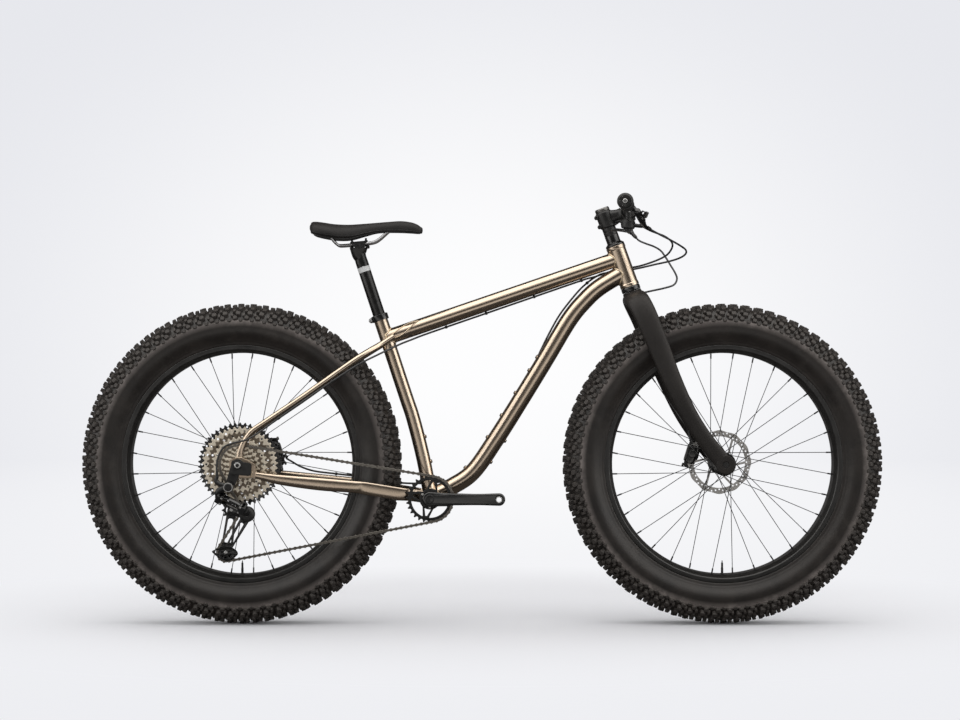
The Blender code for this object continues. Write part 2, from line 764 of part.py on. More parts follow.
def bar_bore(y, side):
    """The bar's space in a clamp."""
    inner = clear_of(BAR_END_RADIUS, 12)
    return turned([(-0.02, inner), (0.02, inner)], bar_point(side * y), bar_direction(side), 12, UP)


def lever_frame(side):
    """The clamp's middle, the master cylinder's two ends and the place of the lever's pivot."""
    clamp = bar_point(side * LEVER_CLAMP_Y)
    outer_end = clamp + Vector((0.020, side * 0.018, -0.012))
    inner_end = clamp + Vector((0.047, -side * 0.036, -0.050))
    pivot = clamp + Vector((0.0375, side * 0.0060, -0.0225))
    return clamp, outer_end, inner_end, pivot


def master_cylinder(name, side, materials):
    """The brake's clamp, its slanted cylinder with a reservoir, and the ears for the lever."""
    clamp, outer_end, inner_end, pivot = lever_frame(side)
    body = shape_from(clamp_ring(LEVER_CLAMP_Y, side, 0.0065, 0.0045), name, materials["black_alloy"])
    direction = (inner_end - outer_end).normalized()
    length = (inner_end - outer_end).length
    barrel = [(0.0, 0.0060), (0.004, 0.0088), (0.044, 0.0088), (0.054, 0.0055), (length, 0.0045)]
    neck_end = outer_end.lerp(inner_end, 0.22)
    neck = swept([clamp + Vector((0.012, 0, -0.006)), neck_end], [(0.0065, 0.0065)] * 2, 8, UP, 0.8)
    ears = block(pivot, LEVER_AXIS, ACROSS, (0.0090, 0.0065, 0.0075))
    join(body, neck, turned(barrel, outer_end, direction, 10, UP), ears)
    forward = ACROSS.cross(LEVER_AXIS)
    slot_centre = pivot + 0.0050 * forward + side * 0.0100 * ACROSS
    slot = block(slot_centre, LEVER_AXIS, ACROSS, (0.0055, 0.0190, 0.0100))
    return cut(body, slot, bar_bore(LEVER_CLAMP_Y, side))


LEVER_AXIS = Vector((0.55, 0, 0.835)).normalized()


def brake_lever(name, side, materials):
    """The blade that the finger pulls, with its hooked end."""
    pivot = lever_frame(side)[-1]
    forward = ACROSS.cross(LEVER_AXIS)
    hinge = pivot + 0.0030 * forward
    offsets = (
        (-0.0010, -0.0030),
        (0.0040, 0.0110),
        (0.0020, 0.0360),
        (-0.0030, 0.0600),
        (0.0020, 0.0780),
    )
    path = smooth([hinge + ahead * forward + side * out * ACROSS for ahead, out in offsets], 2)
    thick = (0.0036, 0.0036, 0.0034, 0.0032, 0.0030, 0.0030, 0.0030, 0.0032, 0.0034)
    blade = swept(path, [(0.0048, t) for t in thick], 8, LEVER_AXIS, 0.8)
    return shape_from(blade, name, materials["black_alloy"]), hinge


SHIFT_AXIS = Vector((0.10, 0.0, 1.0)).normalized()
SHIFTER_CENTRE = bar_point(-SHIFTER_CLAMP_Y) + Vector((0.000, -0.004, -0.043))
PADDLE_HALF_THICKNESS = 0.0019
PADDLES = (
    # name, distance below the pod's middle, turn from straight ahead, length
    ("upshift_paddle", 0.0135, 165, 0.036),
    ("downshift_paddle", 0.0180, 200, 0.044),
)


def shifter_pod(materials):
    """The shifter's clamp and the pod under the right side of the bar."""
    clamp = bar_point(-SHIFTER_CLAMP_Y)
    ring = clamp_ring(SHIFTER_CLAMP_Y, -1, 0.0055, 0.0040)
    body = shape_from(ring, "shifter_pod", materials["black_plastic"])
    neck_path = [clamp - 0.013 * UP, SHIFTER_CENTRE]
    neck = swept(neck_path, [(0.0050, 0.0065)] * 2, 8, ACROSS, 0.8)
    drum = [(-0.0110, 0.0125), (-0.0090, 0.0170), (0.0080, 0.0170), (0.0130, 0.0105)]
    pod = turned(drum, SHIFTER_CENTRE, SHIFT_AXIS, 12, ACROSS)
    first, second = Vector(SHIFT_HOUSING[0]), Vector(SHIFT_HOUSING[1])
    outlet = first - 0.0014 * (second - first).normalized()
    nose = swept([SHIFTER_CENTRE, outlet], [(0.0055, 0.0055), (0.0042, 0.0042)], 8, UP)
    join(body, neck, pod, nose)
    return cut(body, bar_bore(SHIFTER_CLAMP_Y, -1))


def shift_paddle(name, below, turn, length, materials):
    """A thumb paddle under the pod, with the place of its hub. turn is in degrees from forward."""
    thin = PADDLE_HALF_THICKNESS
    heading = Matrix.Rotation(math.radians(turn), 3, SHIFT_AXIS) @ Vector((1, 0, -0.10)).normalized()
    root = SHIFTER_CENTRE - below * SHIFT_AXIS
    path = [root + share * length * heading for share in (0.0, 0.5, 1.0)]
    halves = [(0.0070, thin), (0.0055, thin), (0.0085, thin)]
    arm = swept(path, halves, 8, SHIFT_AXIS.cross(heading), 0.8)
    paddle = shape_from(arm, name, materials["black_plastic"])
    join(paddle, turned([(-thin, 0.0085), (thin, 0.0085)], root, SHIFT_AXIS, 10, ACROSS))
    return paddle, root


# Wheels


def wheel_angle(step, count):
    """Angles start straight down, so that a knob stands on the ground."""
    return -math.pi / 2 + math.tau * step / count


def on_wheel(centre, radius, angle, y):
    return centre + Vector((radius * math.cos(angle), y, radius * math.sin(angle)))


def tyre(name, centre, materials):
    """A wide carcass with rows of knobs that alternate between the crown and the shoulders."""
    bm = bmesh.new()
    count = 2 * KNOB_PITCHES
    bead = (RIM_HALF_WIDTH - 0.0015, RIM_EDGE_RADIUS + GAP / math.cos(math.pi / KNOB_PITCHES))
    flank = (TYRE_HALF_WIDTH - 0.0015, RIM_EDGE_RADIUS + 0.034)
    shoulder = (TYRE_HALF_WIDTH - 0.0035, TYRE_RADIUS - 0.0240)
    crown = (0.030, TYRE_RADIUS)

    def coarse(place, side):
        y, radius = place
        places = [wheel_angle(k, KNOB_PITCHES) for k in range(KNOB_PITCHES)]
        return [bm.verts.new(on_wheel(centre, radius, angle, side * y)) for angle in places]

    def fine(place, side, first_high):
        y, radius = place
        row = []
        for k in range(count):
            low = 0.0 if (k % 2 == 0) == first_high else KNOB_HEIGHT
            inward = 0.0 if first_high else 0.5 * low
            angle = wheel_angle(k, count)
            row.append(bm.verts.new(on_wheel(centre, radius - low, angle, side * (y - inward))))
        return row

    def band(row, after):
        for k in range(len(row)):
            bm.faces.new((row[k - 1], row[k], after[k], after[k - 1]))

    def fan(wide, close):
        """Join a coarse row to one with twice as many points."""
        for k in range(len(wide)):
            a, b = wide[k], wide[(k + 1) % len(wide)]
            c, d, e = close[2 * k], close[2 * k + 1], close[(2 * k + 2) % len(close)]
            bm.faces.new((a, d, c))
            bm.faces.new((a, b, d))
            bm.faces.new((b, e, d))

    beads = [coarse(bead, -1), coarse(bead, 1)]
    flanks = [coarse(flank, -1), coarse(flank, 1)]
    shoulders = [fine(shoulder, -1, False), fine(shoulder, 1, False)]
    crowns = [fine(crown, -1, True), fine(crown, 1, True)]
    band(beads[1], beads[0])
    for side in (0, 1):
        band(beads[side], flanks[side])
        fan(flanks[side], shoulders[side])
        band(shoulders[side], crowns[side])
    band(crowns[0], crowns[1])
    return shape_from(bm, name, materials["tyre"], 60)


def rim(name, centre, materials):
    """A wide single rim with its valve standing in towards the hub."""
    half = RIM_HALF_WIDTH
    profile = (
        (-half, RIM_EDGE_RADIUS),
        (half, RIM_EDGE_RADIUS),
        (half, RIM_EDGE_RADIUS - 0.011),
        (0.5 * half, RIM_INNER_RADIUS),
        (-0.5 * half, RIM_INNER_RADIUS),
        (-half, RIM_EDGE_RADIUS - 0.011),
    )
    rings = []
    for k in range(KNOB_PITCHES):
        angle = wheel_angle(k, KNOB_PITCHES)
        rings.append([on_wheel(centre, radius, angle, y) for y, radius in profile])
    body = shape_from(loft(rings, closed=True), name, materials["black_alloy"])
    foot = centre - (RIM_INNER_RADIUS + 0.004) * UP
    valve = [(0.0, 0.0040), (0.006, 0.0040), (0.0065, 0.0028), (VALVE_LENGTH, 0.0022)]
    join(body, turned(valve, foot, UP, 6, ACROSS))
    return body


def spoke_lines(centre, flange_radius, flanges, rim_aside):
    """Where each spoke starts and ends: half of them lean forward from each flange, half back."""
    lines = []
    per_flange = SPOKES // 2
    for side, flange_y in flanges:
        for k in range(per_flange):
            lean = 1 if k % 2 == 0 else -1
            hub_angle = math.tau * (k + 0.25 * side) / per_flange
            rim_angle = hub_angle + lean * math.tau * 3.0 / per_flange
            start = on_wheel(centre, flange_radius - 0.003, hub_angle, flange_y + 0.0011 * lean)
            end_radius = RIM_INNER_RADIUS - GAP - 0.0012
            end = on_wheel(centre, end_radius, rim_angle, side * (rim_aside + 0.003 * lean))
            lines.append((start, end))
    return lines


def hub(name, centre, flanges, ends, axle_radius, materials):
    """A hub shell with two flanges and its laced spokes. flanges are (side, y), the right one first."""
    (_, right), (_, left) = flanges
    start, end = ends
    bore = clear_of(axle_radius, 12)
    body, rim_radius, thick = 0.0150, 0.0290, 0.0023
    profile = [
        (start, bore + 0.0030),
        (right - thick - 0.004, 0.0130),
        (right - thick, rim_radius),
        (right + thick, rim_radius),
        (right + thick + 0.005, body),
        (left - thick - 0.005, body),
        (left - thick, rim_radius),
        (left + thick, rim_radius),
        (left + thick + 0.003, 0.0164),
        (end, 0.0160),
        (end, bore),
        (start, bore),
    ]
    shape = shape_from(turned(profile, centre, ACROSS, 12, UP, closed=True), name, materials["black_alloy"])
    spokes = []
    for a, b in spoke_lines(centre, rim_radius, flanges, 0.013):
        direction = (b - a).normalized()
        spokes.append(loft([circle(p, direction, SPOKE_RADIUS, 3) for p in (a, b)]))
    return join(shape, merged(*spokes))


def rotor(name, centre, y, materials):
    """A brake disc: a band carried by five leaning arms on a ring round the hub."""
    low, high = y - ROTOR_THICKNESS / 2, y + ROTOR_THICKNESS / 2
    hole = 0.0175
    arms = 5
    loops = [ring_of(centre, ROTOR_RADIUS, 20), ring_of(centre, hole, 12)]
    for k in range(arms):
        start = 360 * k / arms
        wide = arc_of(centre, ROTOR_RADIUS - 0.0145, start + 4, start + 62, 4)
        tight = arc_of(centre, hole + 0.008, start + 34, start - 10, 2)
        loops.append(wide + tight)
    return shape_from(slab(loops, low, high), name, materials["steel"])


def axle(name, centre, ends, radius, materials):
    """A through axle. ends are its plain end and the far face of its head."""
    plain, far = ends
    inward = math.copysign(AXLE_HEAD, plain - far)
    wide = radius + 0.003
    profile = [(plain, radius), (far + inward, radius), (far + inward, wide), (far, wide)]
    return shape_from(turned(profile, centre, ACROSS, 12), name, materials["black_alloy"])


# Chain, chainring, cassette and pulleys


def tooth_pitch_radius(teeth):
    """The radius at which the chain's pitch, laid round the circle, gives this many teeth."""
    return teeth * PITCH / math.tau


GUIDE_FROM_PIVOT = Vector((-0.0400, 0, 0.0069))
TENSION_FROM_PIVOT = Vector((-0.0480, 0, -0.0985))
CAGE_PIVOT = REAR_AXLE + Vector((0.0212, 0, -0.1209))


def pulley_centres(swing):
    """The guide and tension pulleys when the cage is swung forward by an angle."""
    turn = Matrix.Rotation(-swing, 3, ACROSS)
    return CAGE_PIVOT + turn @ GUIDE_FROM_PIVOT, CAGE_PIVOT + turn @ TENSION_FROM_PIVOT


def chain_circles(swing):
    """The four circles that the chain runs round, with the sense in which it turns there."""
    guide, tension = pulley_centres(swing)
    teeth = (RING_TEETH, COG_TEETH[COG_IN_USE], PULLEY_TEETH, PULLEY_TEETH)
    centres = (BRACKET, REAR_AXLE, guide, tension)
    return [(c, tooth_pitch_radius(n), sense) for c, n, sense in zip(centres, teeth, (1, 1, -1, 1))]


def chain_pieces(circles):
    """Straight runs and arcs, in order, as (kind, place, radius, sense, heading, length)."""
    headings = []
    for (c1, r1, s1), (c2, r2, s2) in zip(circles, circles[1:] + circles[:1]):
        step = c2 - c1
        headings.append(math.atan2(step.z, step.x) + math.asin((s1 * r1 - s2 * r2) / step.length))
    pieces = []
    for i, heading in enumerate(headings):
        after = (i + 1) % len(circles)
        (c1, r1, s1), (c2, r2, s2) = circles[i], circles[after]
        right = Vector((math.sin(heading), 0, -math.cos(heading)))
        start = c1 + s1 * r1 * right
        end = c2 + s2 * r2 * right
        pieces.append(("run", start, 0.0, 0, heading, (end - start).length))
        sweep = (s2 * (headings[after] - heading)) % math.tau
        pieces.append(("arc", c2, r2, s2, heading, r2 * sweep))
    return pieces


def chain_length(swing):
    return sum(piece[-1] for piece in chain_pieces(chain_circles(swing)))


def cage_swing():
    """The swing at which the chain's whole number of links is taken up: it is shorter further forward."""
    back, forward = -0.6, 0.6
    for _ in range(50):
        middle = (back + forward) / 2
        if chain_length(middle) > CHAIN_LINKS * PITCH:
            back = middle
        else:
            forward = middle
    return (back + forward) / 2


def on_chain(pieces, distance):
    """The place and heading on the chain's line, and whether a tooth reaches between its plates there."""
    distance %= sum(piece[-1] for piece in pieces)
    for i, (kind, place, radius, sense, heading, length) in enumerate(pieces):
        if distance <= length:
            break
        distance -= length
    if kind == "run":
        point = place + distance * Vector((math.cos(heading), 0, math.sin(heading)))
        near = tooth_reach(pieces[i - 1][2]) > distance or tooth_reach(pieces[i + 1][2]) > length - distance
        return point, heading, near
    heading += sense * distance / radius
    return place + sense * radius * Vector((math.sin(heading), 0, -math.cos(heading))), heading, True


def tooth_reach(radius):
    """How far along a straight run the teeth of a wheel still reach into the chain."""
    return radius * math.acos((radius - PLATE_HALF_HEIGHT - GAP) / (radius + TOOTH_HEIGHT))


def tooth_phases(pieces):
    """For each toothed wheel, the angle of a roller that lies on it."""
    phases = []
    travelled = 0.0
    for kind, centre, _, _, _, length in pieces:
        if kind == "arc":
            roller = math.ceil(travelled / PITCH) * PITCH
            place, _, _ = on_chain(pieces, roller)
            phases.append(math.atan2(place.z - centre.z, place.x - centre.x))
        travelled += length
    return phases


def toothed(centre, teeth, phase, seats_chain):
    """A toothed outline as (x, z). Where the chain seats, each gullet is as wide as a roller."""
    radius = tooth_pitch_radius(teeth)
    root, tip = radius - PLATE_HALF_HEIGHT - 0.00035, radius + TOOTH_HEIGHT
    outline = []
    for k in range(teeth):
        gullet = phase + math.tau * k / teeth
        half = math.pi / teeth
        stops = ((gullet, root), (gullet + half, tip - 0.0004))
        if seats_chain:
            seat = (ROLLER_HALF_LENGTH + 0.0004) / root
            stops = ((gullet - seat, root), (gullet + seat, root), (gullet + half, tip))
        outline += [(centre.x + r * math.cos(a), centre.z + r * math.sin(a)) for a, r in stops]
    return outline


def chain(materials, pieces):
    """The roller chain: narrow and wide links in turn, open between their rollers where teeth enter."""
    bm = bmesh.new()

    def crossing(distance, slot, tall, is_open):
        """A cut across the chain: its points from left to right along its top and its foot."""
        place, heading, _ = on_chain(pieces, distance)
        normal = Vector((-math.sin(heading), 0, math.cos(heading)))
        edge = slot + PLATE_THICKNESS
        aside = (edge, slot, -slot, -edge) if is_open else (edge, -edge)
        line = [place + (y - CHAIN_LINE) * ACROSS for y in aside]
        return [[bm.verts.new(point + height * normal) for point in line] for height in (tall, -tall)]

    def solid_stretch(a, b):
        for end in (0, 1):
            bm.faces.new(a[end] + b[end][::-1])
        for side in (0, -1):
            bm.faces.new((a[0][side], a[1][side], b[1][side], b[0][side]))

    def open_stretch(a, b):
        for left, right in ((0, 1), (2, 3)):
            one = (a[0][left], a[0][right], a[1][right], a[1][left])
            two = (b[0][left], b[0][right], b[1][right], b[1][left])
            for i in range(4):
                bm.faces.new((one[i - 1], one[i], two[i], two[i - 1]))
        for end in (a, b):
            bm.faces.new((end[0][1], end[0][2], end[1][2], end[1][1]))

    slots = [INNER_SLOT + PLATE_THICKNESS * (k % 2) for k in range(CHAIN_LINKS)]
    opened = [on_chain(pieces, (k + 0.5) * PITCH)[2] for k in range(CHAIN_LINKS)]
    rollers = []
    for k in range(CHAIN_LINKS):
        at = k * PITCH
        if opened[k - 1] or opened[k]:
            before = crossing(at - ROLLER_HALF_LENGTH, slots[k - 1], PLATE_HALF_HEIGHT, opened[k - 1])
            after = crossing(at + ROLLER_HALF_LENGTH, slots[k], PLATE_HALF_HEIGHT, opened[k])
            solid_stretch(before, after)
        else:
            tall = PLATE_HALF_HEIGHT if k % 2 else PLATE_WAIST
            before = after = crossing(at, slots[k], tall, False)
        rollers.append((before, after))
    for k in range(CHAIN_LINKS):
        start, end = rollers[k][1], rollers[(k + 1) % CHAIN_LINKS][0]
        if opened[k]:
            open_stretch(start, end)
            continue
        solid_stretch(start, end)
    return shape_from(bm, "chain", materials["chain"])


def chainring(materials, phase):
    """The chainring: a toothed band on five arms, with an open window between each two."""
    radius = tooth_pitch_radius(RING_TEETH)
    bore = 0.0170
    windows = []
    for k in range(5):
        start = 72 * k + 8
        wide = arc_of(BRACKET, radius - 0.012, start, start + 56, 4)
        tight = arc_of(BRACKET, bore + 0.009, start + 44, start + 12, 2)
        windows.append(wide + tight)
    y = -CHAIN_LINE
    loops = [toothed(BRACKET, RING_TEETH, phase, True), ring_of(BRACKET, bore, 12), *windows]
    plate = slab(loops, y - TOOTH_HALF_THICKNESS, y + TOOTH_HALF_THICKNESS)
    return shape_from(plate, "chainring", materials["black_alloy"])


def cassette(materials, phase):
    """Twelve cogs on their carrier, which is also the freehub body that the hub coasts on."""
    bm = bmesh.new()
    sides = 8
    bore = clear_of(REAR_AXLE_RADIUS, sides)

    def row(outline, y):
        return [bm.verts.new((x, y, z)) for x, z in outline]

    def band(a, b):
        for i in range(len(a)):
            bm.faces.new((a[i - 1], a[i], b[i], b[i - 1]))

    def points(rims, tips):
        """Pointed teeth: each tip stands over the gap between two places of both rims."""
        near, far = rims
        for i, tip in enumerate(tips):
            j = (i + 1) % len(tips)
            bm.faces.new((near[i], near[j], tip))
            bm.faces.new((far[j], far[i], tip))
            bm.faces.new((far[i], near[i], tip))
            bm.faces.new((near[j], far[j], tip))

    def flat_ring(outer, inner):
        loops = [[Vector((v.co.x, v.co.z, 0)) for v in loop] for loop in (outer, inner)]
        both = outer + inner
        for a, b, c in tessellate_polygon(loops):
            bm.faces.new((both[a], both[b], both[c]))

    first_y = -CHAIN_LINE - COG_IN_USE * COG_SPACING
    start = row(ring_of(REAR_AXLE, bore, sides), first_y - 0.0014)
    edge = row(ring_of(REAR_AXLE, 0.0125, sides), first_y - 0.0014)
    flat_ring(edge, start)
    for k, teeth in enumerate(COG_TEETH):
        y = first_y + k * COG_SPACING
        carrier = max(0.0125, 0.42 * tooth_pitch_radius(teeth))
        levels = (y - TOOTH_HALF_THICKNESS, y + TOOTH_HALF_THICKNESS)
        inner = [row(ring_of(REAR_AXLE, carrier, sides), level) for level in levels]
        outline = toothed(REAR_AXLE, teeth, phase, k == COG_IN_USE)
        if k == COG_IN_USE:
            outer = [row(outline, level) for level in levels]
            band(outer[0], outer[1])
        else:
            outer = [row(outline[::2], level) for level in levels]
            points(outer, row(outline[1::2], y))
        band(edge, inner[0])
        flat_ring(outer[0], inner[0])
        flat_ring(outer[1], inner[1])
        edge = inner[1]
    end = row(ring_of(REAR_AXLE, 0.0180, sides), y + 0.0040)
    band(edge, end)
    last = row(ring_of(REAR_AXLE, bore, sides), y + 0.0040)
    flat_ring(end, last)
    band(last, start)
    return shape_from(bm, "cassette", materials["champagne_steel"])


def pulley(name, centre, phase, materials):
    """A pulley of the cage: a toothed disc on a bolt."""
    loops = [toothed(centre, PULLEY_TEETH, phase, True), ring_of(centre, PULLEY_BORE, 8)]
    wheel = slab(loops, -CHAIN_LINE - TOOTH_HALF_THICKNESS, -CHAIN_LINE + TOOTH_HALF_THICKNESS)
    return shape_from(wheel, name, materials["black_plastic"])


# Cranks


def crank_shape(reach, low, high, shift):
    """A crank arm between two faces, which bends outwards by a shift on its way to the pedal."""
    tip = BRACKET + Vector((reach, 0, 0))
    heading = 0 if reach > 0 else 180
    sense = math.copysign(1, reach)
    bends = [BRACKET + Vector((sense * along, 0, 0)) for along in (0.045, 0.120)]
    outline = [
        *arc_of(BRACKET, 0.0185, heading + 95, heading + 265, 8),
        *[(bends[i].x, bends[i].z - sense * half) for i, half in ((0, 0.0175), (1, 0.0162))],
        *arc_of(tip, 0.0155, heading - 84, heading + 84, 6),
        *[(bends[i].x, bends[i].z + sense * half) for i, half in ((1, 0.0162), (0, 0.0175))],
    ]
    bm = slab([outline, ring_of(tip, 0.0070, 10)], low, high)
    for vertex in bm.verts:
        share = min(1.0, max(0.0, (abs(vertex.co.x - BRACKET.x) - 0.045) / 0.075))
        vertex.co.y += shift * share
    return bm


def crank_arms(materials):
    """Both arms, half a turn apart. The spindle belongs to the arm by the chain."""
    black = materials["black_alloy"]
    face = SHELL_HALF_WIDTH + CUP_DEPTH + GAP
    inner, outer, shift = 0.0790, 0.0920, 0.0110
    drive = shape_from(crank_shape(CRANK_LENGTH, -outer, -inner, -shift), "drive_crank_arm", black)
    join(
        drive,
        turned([(-inner - 0.002, 0.0160), (-face, 0.0160)], BRACKET, ACROSS, 14),
        turned([(-face - 0.004, SPINDLE_RADIUS), (0.0890, SPINDLE_RADIUS)], BRACKET, ACROSS, 14),
    )
    left = shape_from(crank_shape(-CRANK_LENGTH, inner, outer, shift), "left_crank_arm", black)
    join(left, turned([(face, 0.0160), (inner + 0.002, 0.0160)], BRACKET, ACROSS, 14))
    bore = clear_of(SPINDLE_RADIUS, 14)
    cut(left, turned([(face - 0.01, bore), (0.0893, bore)], BRACKET, ACROSS, 14))
    return [drive, left]


def bottom_bracket(materials):
    """The bottom bracket: a cup at each end of the shell, on one sleeve round the spindle."""
    bore = clear_of(SPINDLE_RADIUS, 12)
    sleeve, seat = 0.0150, SHELL_BORE * math.cos(math.pi / 16) - GAP
    a, b, c = SHELL_HALF_WIDTH - 0.012, SHELL_HALF_WIDTH + GAP, SHELL_HALF_WIDTH + CUP_DEPTH
    half = [(a, sleeve), (a, seat), (b, seat), (b, CUP_RADIUS), (c, CUP_RADIUS - 0.001), (c, bore)]
    profile = [(-y, radius) for y, radius in reversed(half)] + half
    body = turned(profile, BRACKET, ACROSS, 12, UP, closed=True)
    return shape_from(body, "bottom_bracket", materials["black_alloy"])


# Derailleur

LINK_ALONG = Vector((0.900, 0, -0.436)).normalized()
LINK_TRAVEL = Vector((-0.341, 0.623, -0.705))
LINK_TRAVEL = (LINK_TRAVEL - LINK_TRAVEL.dot(LINK_ALONG) * LINK_ALONG).normalized()
LINK_PIN = LINK_ALONG.cross(LINK_TRAVEL)
LINK_LENGTH = 0.050
LINK_PIVOT = REAR_AXLE + Vector((-0.0370, -0.1190, -0.0810))
LINK_HALF_APART = 0.0090
HANGER_BOLT = REAR_AXLE + Vector((-0.0204, 0, -0.0524))
HANGER_THICKNESS = 0.0060


def hanger(materials):
    """The replaceable plate on the outside of the dropout that carries the derailleur."""
    high = -DROPOUT_OUTER - GAP
    low = high - HANGER_THICKNESS
    top = arc_of(REAR_AXLE, 0.0155, 10, 170, 7)
    foot = arc_of(HANGER_BOLT, 0.0115, 180, 350, 7)
    hole = ring_of(REAR_AXLE, clear_of(REAR_AXLE_RADIUS, 12), 12)
    return shape_from(slab([top + foot, hole], low, high), "derailleur_hanger", materials["bare_metal"])


def link_barrel(place):
    """The round end of a link, on its pin."""
    return turned([(-0.0075, 0.0040), (0.0075, 0.0040)], place, LINK_PIN, 8, LINK_ALONG)


def derailleur_link(name, offset, materials):
    """A bar with a barrel at each end that turns on its pins."""
    start = LINK_PIVOT + offset * LINK_TRAVEL
    end = start + LINK_LENGTH * LINK_ALONG
    body = shape_from(link_barrel(start), name, materials["black_alloy"])
    web = block(start.lerp(end, 0.5), LINK_ALONG, LINK_PIN, (LINK_LENGTH / 2, 0.0068, 0.0014))
    return join(body, web, link_barrel(end))


def knuckle_forks(base, away):
    """Two cheeks that hold both links' pins, and the bridge behind them."""
    depth = LINK_HALF_APART + 0.0035
    cheek = 0.0095
    middle = base + away * 0.0045 * LINK_ALONG
    bridge_centre = base + away * 0.0105 * LINK_ALONG
    shapes = [block(bridge_centre, LINK_ALONG, LINK_PIN, (0.0030, cheek, depth - 0.0006))]
    for side in (-1, 1):
        shapes.append(block(middle + side * cheek * LINK_PIN, LINK_ALONG, LINK_PIN, (0.0085, 0.0017, depth)))
    return shapes


def in_link_frame(place, along, pin, travel):
    """A place near the links, given along them, along their pins and along their travel."""
    return place + along * LINK_ALONG + pin * LINK_PIN + travel * LINK_TRAVEL


def b_knuckle(materials):
    """The knuckle on the hanger's bolt: its round boss, the housing stop and the upper cheeks."""
    face = -DROPOUT_OUTER - 2 * GAP - HANGER_THICKNESS
    boss = [(face - 0.0260, 0.0105), (face - 0.0240, 0.0125), (face, 0.0125)]
    body = shape_from(turned(boss, HANGER_BOLT, ACROSS, 12), "b_knuckle", materials["black_alloy"])
    base = HANGER_BOLT + Vector((-0.004, face - 0.014, 0.001))
    shoulder = in_link_frame(LINK_PIVOT, -0.0155, 0.0060, -0.0120)
    bridge = in_link_frame(LINK_PIVOT, -0.0115, 0.0, 0.0020)
    outlet = Vector(SHIFT_HOUSING[-1]) - 2 * GAP * UP
    stop = [base, outlet - Vector((0.0010, 0, 0.0150)), outlet]
    join(
        body,
        swept([base, shoulder, bridge], [(0.0075, 0.0075), (0.0065, 0.0065), (0.0060, 0.0060)], 8, UP, 0.8),
        *knuckle_forks(LINK_PIVOT, -1),
        swept(stop, [(0.0065, 0.0065), (0.0055, 0.0055), (0.0045, 0.0045)], 8, ACROSS),
    )
    return body


CAGE_OUTER_Y = -CHAIN_LINE - 0.0064
CAGE_INNER_Y = -CHAIN_LINE + 0.0050
CAGE_PLATE = 0.0014


def p_knuckle(materials):
    """The lower knuckle: cheeks for the links and the drum of the cage's spring."""
    end = LINK_PIVOT + LINK_LENGTH * LINK_ALONG
    face = CAGE_OUTER_Y - GAP
    drum = [(face - 0.0240, 0.0120), (face - 0.0215, 0.0180), (face - 0.0030, 0.0195), (face, 0.0185)]
    body = shape_from(turned(drum, CAGE_PIVOT, ACROSS, 16), "p_knuckle", materials["black_alloy"])
    drum_middle = CAGE_PIVOT + Vector((0, face - 0.0130, 0))
    neck = [end + 0.0110 * LINK_ALONG, drum_middle]
    return join(body, swept(neck, [(0.0095, 0.0085)] * 2, 8, UP, 0.8), *knuckle_forks(end, 1))


def cage(materials, swing):
    """Two open plates on the pulleys' bolts, and a lobe on the outer one for the cage's pivot."""
    guide, tension = pulley_centres(swing)
    down = (tension - guide).normalized()
    forward = Vector((-down.z, 0, down.x))
    turn = math.degrees(math.atan2(down.z, down.x))

    def window(start, end, half_start, half_end):
        corners = ((start, half_start), (start, -half_start), (end, -half_end), (end, half_end))
        places = [guide + along * down + half * forward for along, half in corners]
        return [(place.x, place.z) for place in places]

    length = (tension - guide).length
    opening = window(0.024, length - 0.022, 0.0070, 0.0085)
    plates = []
    for low, reach in ((CAGE_OUTER_Y, 0.0150), (CAGE_INNER_Y, 0.0115)):
        upper = arc_of(guide, reach, turn + 90, turn + 270, 6)
        lower = arc_of(tension, reach + 0.004, turn - 90, turn + 90, 6)
        plates.append(slab([upper + lower, opening], low, low + CAGE_PLATE))
    body = shape_from(plates[0], "pulley_cage", materials["black_alloy"])
    lobe_end = [(guide.x + 0.002, guide.z + 0.0140), (guide.x, guide.z - 0.0130)]
    lobe = arc_of(CAGE_PIVOT, 0.0165, -80, 110, 7) + lobe_end
    bolts = []
    for centre in (guide, tension):
        bolt = PULLEY_BORE - 0.0006
        ends = [(CAGE_OUTER_Y + 0.0004, bolt), (CAGE_INNER_Y + 0.0010, bolt)]
        bolts.append(turned(ends, centre, ACROSS, 6))
    return join(body, slab([lobe], CAGE_OUTER_Y, CAGE_OUTER_Y + CAGE_PLATE), *bolts, plates[1])


# Brakes


def caliper(name, centre, axle_place, mount, neighbour, materials, *more):
    """A brake caliper that straddles the disc, with a lug that ends on its neighbour's face."""
    to_hub = Vector((axle_place.x - centre.x, 0, axle_place.z - centre.z)).normalized()
    along = to_hub.cross(ACROSS)
    path = [centre + offset * along for offset in (-0.027, -0.020, 0.020, 0.027)]
    small, large = (0.0120, 0.0110), (0.0175, 0.0150)
    housing = swept(path, [small, large, large, small], 10, ACROSS, 0.7)
    body = shape_from(housing, name, materials["black_alloy"])
    join(body, swept([centre + 0.010 * ACROSS, mount], [(0.0060, 0.0090)] * 2, 8, ACROSS, 0.8), *more)
    slot = block(centre + 0.016 * to_hub, to_hub, along, (0.0240, 0.0300, 0.0016))
    return cut(body, slot, neighbour)


def rear_caliper(materials):
    """The rear caliper, on the left chain stay."""
    centre = REAR_AXLE + Vector((0.0780, REAR_DISC_Y, 0.0240))
    mount = REAR_AXLE + Vector((0.0860, 0.0890, -0.0220))
    return caliper("rear_caliper", centre, REAR_AXLE, mount, chain_stay_shape(1, GAP), materials)


